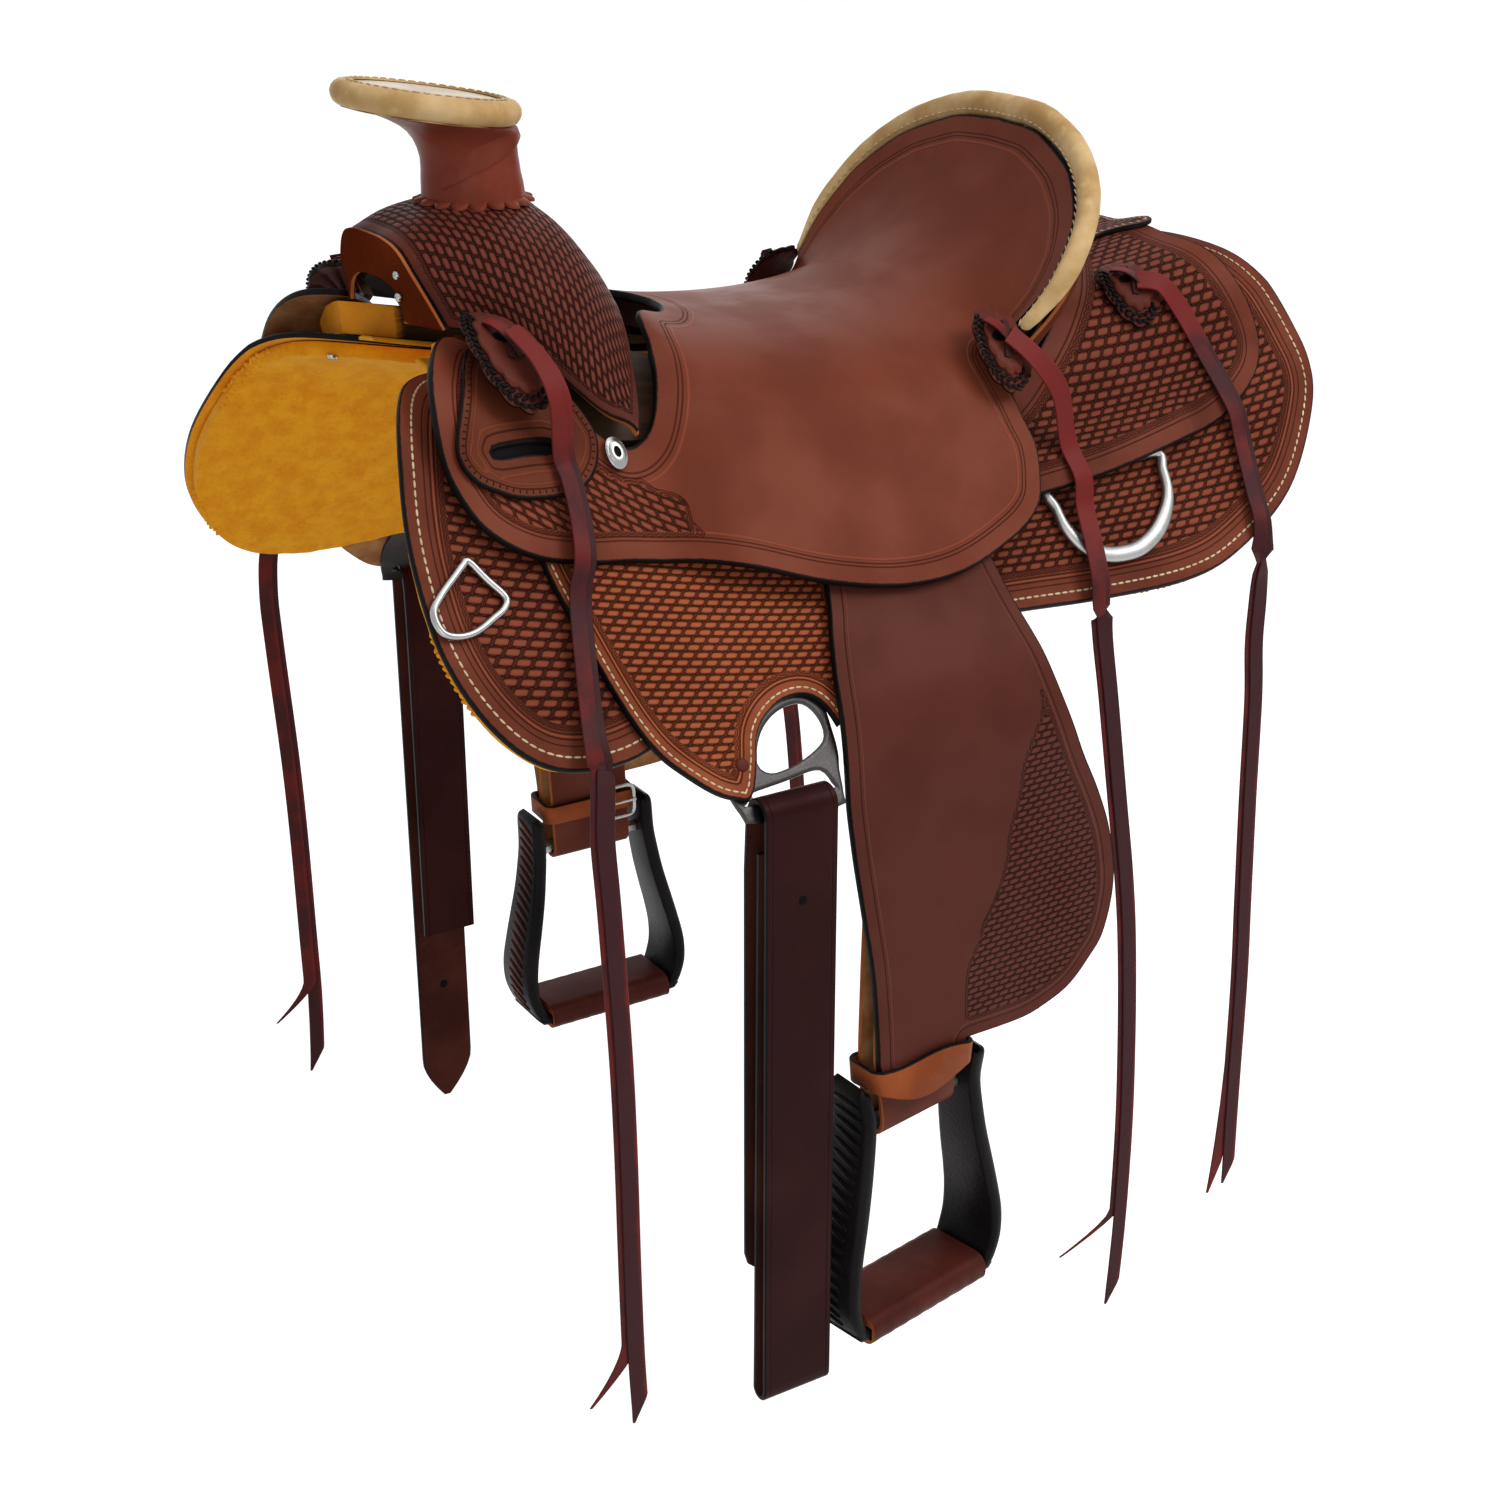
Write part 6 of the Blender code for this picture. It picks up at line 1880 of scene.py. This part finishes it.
# %% Dees and plates
FRONT_DEE = [
    (-290, 182), (-282, 191.5), (-273.5, 201), (-276, 207), (-284, 212), (-297, 219), (-309, 221.5),
    (-318, 219), (-320, 209), (-312, 199.5), (-301, 190), (-294, 184),
]
REAR_DEE = [
    (126, 177), (170, 176), (216, 177), (217.5, 190), (216, 203), (210, 214), (198, 225), (182, 232),
    (168, 233), (152, 230), (138, 221), (129, 207), (126.5, 192),
]
PLATE = [
    (-166, 278, 1), (-172, 300), (-170, 322), (-165, 338), (-158, 344), (-100, 344), (-94, 338), (-91, 322),
    (-87, 306), (-86, 260, 1), (-110, 263), (-135, 270),
]
RING = [
    (-144, 309), (-138, 295), (-128, 285), (-115, 279), (-102, 278), (-95, 284), (-92, 294), (-95, 303),
    (-108, 310), (-124, 315), (-138, 316),
]
SLOT = [
    (-159, 331), (-156, 326), (-130, 322.5), (-110, 319.5), (-102, 321), (-99, 328), (-102, 333),
    (-157, 333),
]
front_dee, rear_dee = (through(dee, 5, True) for dee in (FRONT_DEE, REAR_DEE))
fat = [(3.4 + 2.2 * ease(195, 228, t), 3.4) for x, t in rear_dee]
slope = math.radians(53)
for label, side in SIDES:
    at, up = drape_on(side), Vector((0, side * math.sin(slope), math.cos(slope)))
    wire = tube([at(x, t, 18.0) for x, t in front_dee], 2.3, up, True, 16)
    body = f"front_dee_{label}"
    piece(f"front_dee_wire_{label}", wire, [NICKEL], body, "steel", body, sharp=60)
    wire = tube([at(x, t, 19.2) for x, t in rear_dee], fat, up, True)
    piece(f"rear_dee_wire_{label}", wire, [STEEL], "saddle", "steel", f"rear_dee_{label}", sharp=60)
    leather_piece(
        f"rigging_plate_{label}", curve(PLATE, 3), at, 12.9, 15.3, [PLATE_STEEL] * 3, slot="steel",
        cutouts=[curve(RING, 3), curve(SLOT, 3)], roll=0.7)
print("dees bent, plates cut")

# %% [markdown]
# ## Rosettes, keeper and concho
#
# A rosette is two discs of leather with scalloped edges, the lower one bound with a black braid. The string
# comes up through two slits in its middle. Each is drawn round its own middle and bent onto what it lies on.

# %% Round ornaments
def over_seat(side):
    return lambda x, t, h: drape(x, t, seat_h(x, t) + h, side)


def over_bar(base, rise_of_bar):
    """Laying at a height that follows some of the tree bar's rise."""
    return lambda side: lambda x, t, h: drape(x, t, base + rise_of_bar * bump_of(t) + h, side)


def disc(
        name, at, middle, profile, n, finishes, which_of=lambda row: 0, scallops=0, slot="strap_leather",
        node_=None, sharp=40):
    """profile is (radius, height), from the middle underneath round to the top; which_of gives a row's
    finish."""
    rings = []
    for r, h in profile:
        ring = []
        for v in around(n):
            dent = 1.6 * (1 - abs(math.cos(v * scallops / 2))) if r > 8 and scallops else 0
            q = max(0.05, r - dent)
            ring.append(at(middle[0] + q * math.cos(v), middle[1] + q * math.sin(v), h))
        rings.append(ring)
    return piece(
        name, loft(rings), finishes, slot=slot, node=node_,
        which=lambda f: which_of(max(i // n for i in f)),
        sharp=sharp)


PLACES = {
    "front": ((-236, 93), 25, 15.0, {"near": 4.2, "off": 1.0}, over_seat),
    "mid": ((104, 108), 19, 11.0, {"near": 11.0, "off": 11.0}, over_bar(38.6, 0.85)),
    "rear": ((236, 90), 20, 1.6, {"near": 1.6, "off": 1.6}, over_bar(20.3, 1)),
}
print("places for rosettes:", ", ".join(PLACES))

# %% [markdown]
# The front rosettes have twelve scallops and stand on the seat's front jockeys; the smaller ones have ten.
# The braid is two rows of slanting bars that lean towards each other.

# %% Rosettes
BRAID = {"Step": 0.0046, "Length": 0.0058, "Thickness": 0.0030, "Flatness": 0.8}
half_round = [math.radians(55 + 2.5 * k) for k in range(73)]
for label, side in SIDES:
    for place, ((x0, t0), r, low, under, laid) in PLACES.items():
        at = laid(side)
        profile = [
            (0, under[label]), (r - 7, low), (r - 1.0, low), (r - 0.2, low + 0.6), (r, low + 2.4),
            (r - 0.8, low + 3.2),
            (r - 6.2, low + 3.5), (r - 6.4, low + 3.6), (r - 6.2, low + 5.6), (r - 7.0, low + 6.6),
            (r - 9, low + 6.9),
            (0, low + 7.0)]
        disc(
            f"rosette_{place}_disc_{label}", at, (x0, t0), profile, 96, [ROSETTE_LEATHER, LACE_LEATHER],
            lambda row: 2 < row < 5, 12 if r > 20 else 10, node_=f"rosette_{place}_{label}")
        for row, q, lean in (("a", r - 4.9, 0.6), ("b", r - 1.9, -0.6)):
            line, tips = (
                [at(x0 + q * math.cos(v), t0 + q * math.sin(v), low + h) for v in half_round]
                for h in (3.9, 6))
            ups = [(tip - p).normalized() for tip, p in zip(tips, line)]
            repeat(
                f"rosette_{place}_braid_{row}_{label}", [(line, ups)], LACE_LEATHER, slot="strap_leather",
                **BRAID,
                Lean=lean)
print("rosettes made")

# %% [markdown]
# In front of the near stirrup leather sits the latigo keeper, a leaf of leather with a slot for the tail of
# the latigo; the black under the slot is painted shade. A black border is stamped round it. On each front
# jockey a small nickel concho covers the screw that holds the seat, and the black in its hollow middle is
# painted shade.

# %% Keeper and conchos
KEEPER = [
    (-262, 92), (-270, 106), (-283, 129), (-277, 142), (-264, 148), (-246, 151), (-216, 147), (-197, 135),
    (-190, 121), (-194, 111), (-205, 97), (-218, 82), (-236, 76), (-252, 82),
]
KEEPER_SLOT = [
    (-259, 131), (-262, 129), (-258, 127), (-240, 124), (-223, 123), (-220, 125), (-223, 127), (-240, 128.5)]
SLOT_SHADE_SHEET = [
    (-268, 134), (-271, 128), (-262, 122), (-240, 118), (-217, 117), (-211, 125), (-219, 132), (-240, 134)]
CONCHO = [
    (0, 2.4), (6.7, 2.4), (7.1, 2.8), (7.1, 3.9), (6.5, 4.5), (5.4, 4.6), (4.9, 5.3), (3.2, 5.7),
    (2.4, 5.6), (2.2, 4.6), (0, 4.6),
]
near_seat = over_seat(NEAR)
leather_piece(
    "latigo_keeper", curve(KEEPER), near_seat, 1.0, 4.2, [KEEPER_LEATHER, FLESH, BLACK_EDGE],
    cutouts=[curve(KEEPER_SLOT, 3)], step=3.5, roll=1.2)
# Under the keeper's slot lies a thin black sheet: painted shade.
leather_piece(
    "keeper_slot_floor", curve(SLOT_SHADE_SHEET), near_seat, 0.2, 0.8, [SHADE_AND_BORDER_BLACK] * 3, step=6.0, roll=0.3)
border = beside_edge(curve(KEEPER), 3.6, near_seat, 4.25)
repeat(
    "keeper_border", border, SHADE_AND_BORDER_BLACK, Step=0.0042, Length=0.0026, Thickness=0.0009, Flatness=0.5,
    Lean=1.57)
for label, side in SIDES:
    # The concho's hollow middle is black: painted shade.
    disc(
        f"concho_cap_{label}", over_seat(side), (-180, 127), CONCHO, 64, [NICKEL, SHADE_AND_BORDER_BLACK],
        lambda row: row >= 9,
        slot="steel", node_=f"concho_{label}", sharp=50)
print("keeper and conchos set")


# %% [markdown]
# ## Sheepskin
#
# Under each skirt lies a sheepskin, its wool brushed short and dyed gold. The solid is a plain sheet, so a
# new piece takes its place: its wool side is pushed out and in by a few soft waves, and tufts of wool stand
# out past the leather.

# %% Sheepskins
FLEECE_TOP = 10.0
LINING = [(-256, 30, 1), (-256, 52, 1), (-225, 40), (-150, 32, 1), (-150, 24, 1), (-225, 26)]


def wool_side(x, t):
    wave = 0.5 * math.sin(x * 0.21 + 2 * math.sin(t * 0.17)) + 0.4 * math.sin(t * 0.26 + x * 0.05)
    return 0.7 + 0.6 * (wave + 0.3 * math.sin(x * 0.47 - t * 0.39))


def in_tufts(height):
    return lambda x, t: t > 60 and math.sin(x * 0.083 + height) + math.sin(t * 0.061 + x * 0.021) > 0.85


for label, side in SIDES:
    at, outline = drape_on(side), flared_on(label, FLEECE)
    leather_piece(
        f"skirt_fleece_{label}", outline, at, wool_side, FLEECE_TOP, [WOOL] * 3, slot="sheepskin", step=5.5,
        rows=(1.5, 4.0, 7.0), roll=2.5)
    tufts = []
    for inset, height in ((0.6, 2.2), (0.2, 4.8), (0.4, 7.4)):
        for line, ups in beside_edge(outline, inset, at, height, in_tufts(height)):
            tousled = []
            for i, up in enumerate(ups):
                aside = Vector((math.sin(i * 2.4), math.sin(i * 5.1), math.sin(i * 3.3)))
                tousled.append((up * 0.5 + aside * 0.6).normalized())
            tufts.append((line, tousled))
    repeat(
        f"wool_tufts_{label}", tufts, WOOL, slot="sheepskin", Step=0.0042, Length=0.0062, Thickness=0.0034,
        Flatness=1.1, Lean=0.9)
    leather_piece(
        f"bar_lining_{label}", curve(LINING), at, 12.4, 15.3, [WOOL] * 3, slot="sheepskin", roll=1.2)
print("sheepskin laid")

# %% [markdown]
# The tree shows only where the leather leaves gaps: pale wood under the seat, a rawhide-covered fork in the
# gullet. There they lie in deep shadow, so the bars, the fork, the cantle's core and the ground seat are
# coloured dark brown to near black: painted shade. These solids have the right shape, so they stay and only
# get their finishes.

# %% The solids that stay
STAYS = {
    "tree_bar_near": SHADED_TREE_WOOD, "tree_bar_off": SHADED_TREE_WOOD, "fork": SHADE_DARK_WOOD, "cantle_core": SHADE_DARK_WOOD,
    "ground_seat": SHADED_GROUND_LEATHER, "stirrup_bolt_near": STEEL, "stirrup_bolt_off": STEEL,
}
for name, made in STAYS.items():
    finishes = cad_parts[name].data.materials
    finishes.clear()
    finishes.append(made)
print("finished in place:", ", ".join(STAYS))


# %% [markdown]
# ## Knots, rivets and holes
#
# The small things a saddler leaves behind. On each rosette the string comes up through a slit, crosses over
# itself and goes down again, so two short strips are humped over a slit that is a black disc of painted
# shade.

# %% Slits and knots on the rosettes
HUMP = ((-1, -0.4), (-0.9, -0.9), (0.9, -0.9), (1, -0.4), (1, 0.4), (0.9, 0.9), (-0.9, 0.9), (-1, 0.4))


def hump(name, at, start, end, low, high, wide, finishes=(STRING_LEATHER, STRING_EDGE), red=1.0):
    """A short strip that rises from the leather, crosses its slit and goes down again."""
    rings, tones = [], []
    dx, dt = end[0] - start[0], end[1] - start[1]
    for k in range(13):
        u = k / 12
        x, t = start[0] + dx * u, start[1] + dt * u
        h = low + (high - low) * math.sin(math.pi * (0.12 + 0.8 * u))
        p = at(x, t, h)
        up = (at(x, t, h + 1) - p).normalized()
        along = (at(x + dx * 0.05, t + dt * 0.05, h) - p).normalized()
        aside = along.cross(up).normalized() * wide / 2 * (0.8 + 0.2 * math.sin(math.pi * u))
        twist = 0.0875 * math.sin(2.2 * u) * wide
        rings.append([p + aside * a + up * (b + a * twist) for a, b in HUMP])
        tones += [red * (1 - u)] * len(HUMP)
    return piece(
        name, loft(rings), finishes, slot="strap_leather", numbers={"red": tones},
        which=lambda f: len(f) > 4 or bool({i % 8 for i in f} & {0, 3}))


for label, side in SIDES:
    for place, ((x0, t0), r, low, under, laid) in PLACES.items():
        at = laid(side)
        # The slit is a black disc: painted shade.
        disc(
            f"slit_{place}_{label}",
            lambda x, t, h, at=at, x0=x0, t0=t0: at(x0 + (x - x0) * 1.9, t0 - 3 + (t - t0) * 0.55, h),
            (x0, t0),
            [(0, low + 6.6), (4.4, low + 6.9), (4.6, low + 7.25), (3.8, low + 7.3), (0, low + 7.15)], 32,
            [SHADE_AND_BORDER_BLACK])
        hump(f"knot_{place}_{label}", at, (x0 - 8, t0 - 10), (x0 + 5, t0 + 5), low + 6.6, low + 11.5, 9.0)
        hump(
            f"twist_{place}_{label}", at, (x0 + 5, t0 - 8), (x0 - 3, t0 + 6), low + 6.4, low + 9.2, 5.0,
            red=0.2)
print("strings knotted")


# %% [markdown]
# A rivet holds the rigging at its arch, two slotted screws show in the gullet and one in the sheepskin,
# their slots black as painted shade. The punched holes in the straps are only black discs a hair above the
# leather, because no light reaches into a real one: they are painted shade.

# %% Rivets, screws and punched holes
def stud(name, at, r, height, finish_, body="saddle", slot="steel", slotted=False):
    """A low domed head on a place given by at(across, up the slope, out), in millimetres from its middle."""
    rim_low, low = (0.45, 0.4) if slotted else (1.02, 1.02)
    profile = [
        (0, -1.0), (r, -1.0), (r, height * 0.35), (r * 0.82, height * 0.8), (r * 0.5, height),
        (r * 0.22, height),
        (r * 0.2, height * rim_low), (0, height * low)]
    widths = [(max(0.02, q), h) for q, h in profile]
    rings = [[at(q * math.cos(v), q * math.sin(v), h) for v in around(28)] for q, h in widths]
    # A slotted head's slot is black: painted shade.
    return piece(
        name, loft(rings), [finish_, SHADE_AND_BORDER_BLACK], body, slot, sharp=50,
        which=lambda f: slotted and min(i // 28 for i in f) >= 6)


def hole(name, x, y, z, out, body):
    stud(
        name, lambda a, b, h: Vector((x + a, y + out * h * 0.1, z + b)), 3.4, 0.6, SHADE_AND_BORDER_BLACK, body,
        "strap_leather")


for label, side in SIDES:
    at = drape_on(side)
    stud(
        f"arch_rivet_{label}", lambda a, b, h, at=at: at(-157.4 + a, 309 + b, 20 + h), 4.2, 1.8,
        ROSETTE_LEATHER)
for count, (y, z) in enumerate(((-38.1, 97.8), (-39.2, 85.0)), 1):
    stud(
        f"gullet_screw_{count}", lambda a, b, h, y=y, z=z: Vector((-268.3 - h, y + a, z + b)), 2.6, 1.5,
        NICKEL, slotted=True)
stud("fleece_screw", lambda a, b, h: drape(-270 + a, 66 + b, 0.2 - h, OFF), 3.6, 1.6, NICKEL, slotted=True)
hump("cord_scrap", drape_on(NEAR), (-154, 323), (-152.5, 336), 8.0, 10.0, 2.6, (THREAD, THREAD))
ENDS = (("out", 1), ("in", -1))
for count, z in enumerate((-392, -444, -496, -550), 1):
    y = BAR_Y + 7.0 + 2.0 * max(0.0, 1 - (BAR_Z - z) / 400)
    for end, out in ENDS:
        hole(f"billet_hole_{count}_{end}", -131.5, y + out * 1.85, z, out, "billet")
for end, out in ENDS:
    hole(f"latigo_hole_{end}", -130, NEAR * (BAR_Y + 9.5 + out * 1.75), -250, NEAR * out, "latigo")
print("holes punched and rivets set")

# %% [markdown]
# ## Light and floor
#
# A white sweep and soft lights, as in a catalogue. The sweep and the world are white only to the camera and
# in reflections, so that they add little light of their own.

# %% Floor and world
FLOOR_Z, FLOOR_HALF = -0.72, 8
bpy.context.scene.view_settings.view_transform = "Standard"


def seen_rays(tree):
    """1 for the rays that see the background: the camera's own, and those that metal and glass throw on."""
    camera_ray, glossy, through_glass = (
        node("ShaderNodeLightPath", tree=tree, out=f"Is {kind} Ray")
        for kind in ("Camera", "Glossy", "Transmission"))
    return camera_ray.most(glossy).most(through_glass)


FLOOR, shader = finish(
    "floor", 0.9, Base_Color=(0.9, 0.9, 0.9, 1), Specular_IOR_Level=0.0, Emission_Strength=1.0)
connect(seen_rays(FLOOR.node_tree) * 0.74, shader.inputs["Emission Color"])
floor_mesh = bpy.data.meshes.new("floor")
corners = [(x * FLOOR_HALF, y * FLOOR_HALF, FLOOR_Z) for x, y in ((-1, -1), (1, -1), (1, 1), (-1, 1))]
floor_mesh.from_pydata(corners, [], [(0, 1, 2, 3)])
floor_mesh.materials.append(FLOOR)
floor = bpy.data.objects.new("floor", floor_mesh)
bpy.context.scene.collection.objects.link(floor)

world = bpy.data.worlds.new("studio")
bpy.context.scene.world = world
world.use_nodes = True
soft = world.node_tree.nodes["Background"]
soft.inputs["Color"].default_value = (1, 1, 1, 1)
soft.inputs["Strength"].default_value = 0.36
white = node("ShaderNodeBackground", (1, 1, 1, 1), 1.0, tree=world.node_tree)
seen = node("ShaderNodeMixShader", seen_rays(world.node_tree), Value(soft.outputs[0]), white)
connect(seen, world.node_tree.nodes["World Output"].inputs["Surface"])
print("floor", 2 * FLOOR_HALF, "m wide at", FLOOR_Z)


# %% [markdown]
# One large lamp in front and to the right gives the soft highlights on the leather. A weak one overhead and
# another in front keep the shadows under the skirts open.

# %% Lamps
def lamp(name, size, power, place, target=(0, 0, -0.2)):
    data = bpy.data.lights.new(name, "AREA")
    data.size, data.energy = size, power
    made = bpy.data.objects.new(name, data)
    made.location = place
    made.rotation_euler = (Vector(target) - Vector(place)).to_track_quat("-Z", "Y").to_euler()
    bpy.context.scene.collection.objects.link(made)


lamp("key", 1.5, 35.0, (1.15, -1.5, 1.9))
lamp("overhead", 1.6, 9.0, (-0.3, -0.5, 2.2))
lamp("front", 1.4, 9.0, (-1.5, -2.3, -0.1))
print("lamps lit")
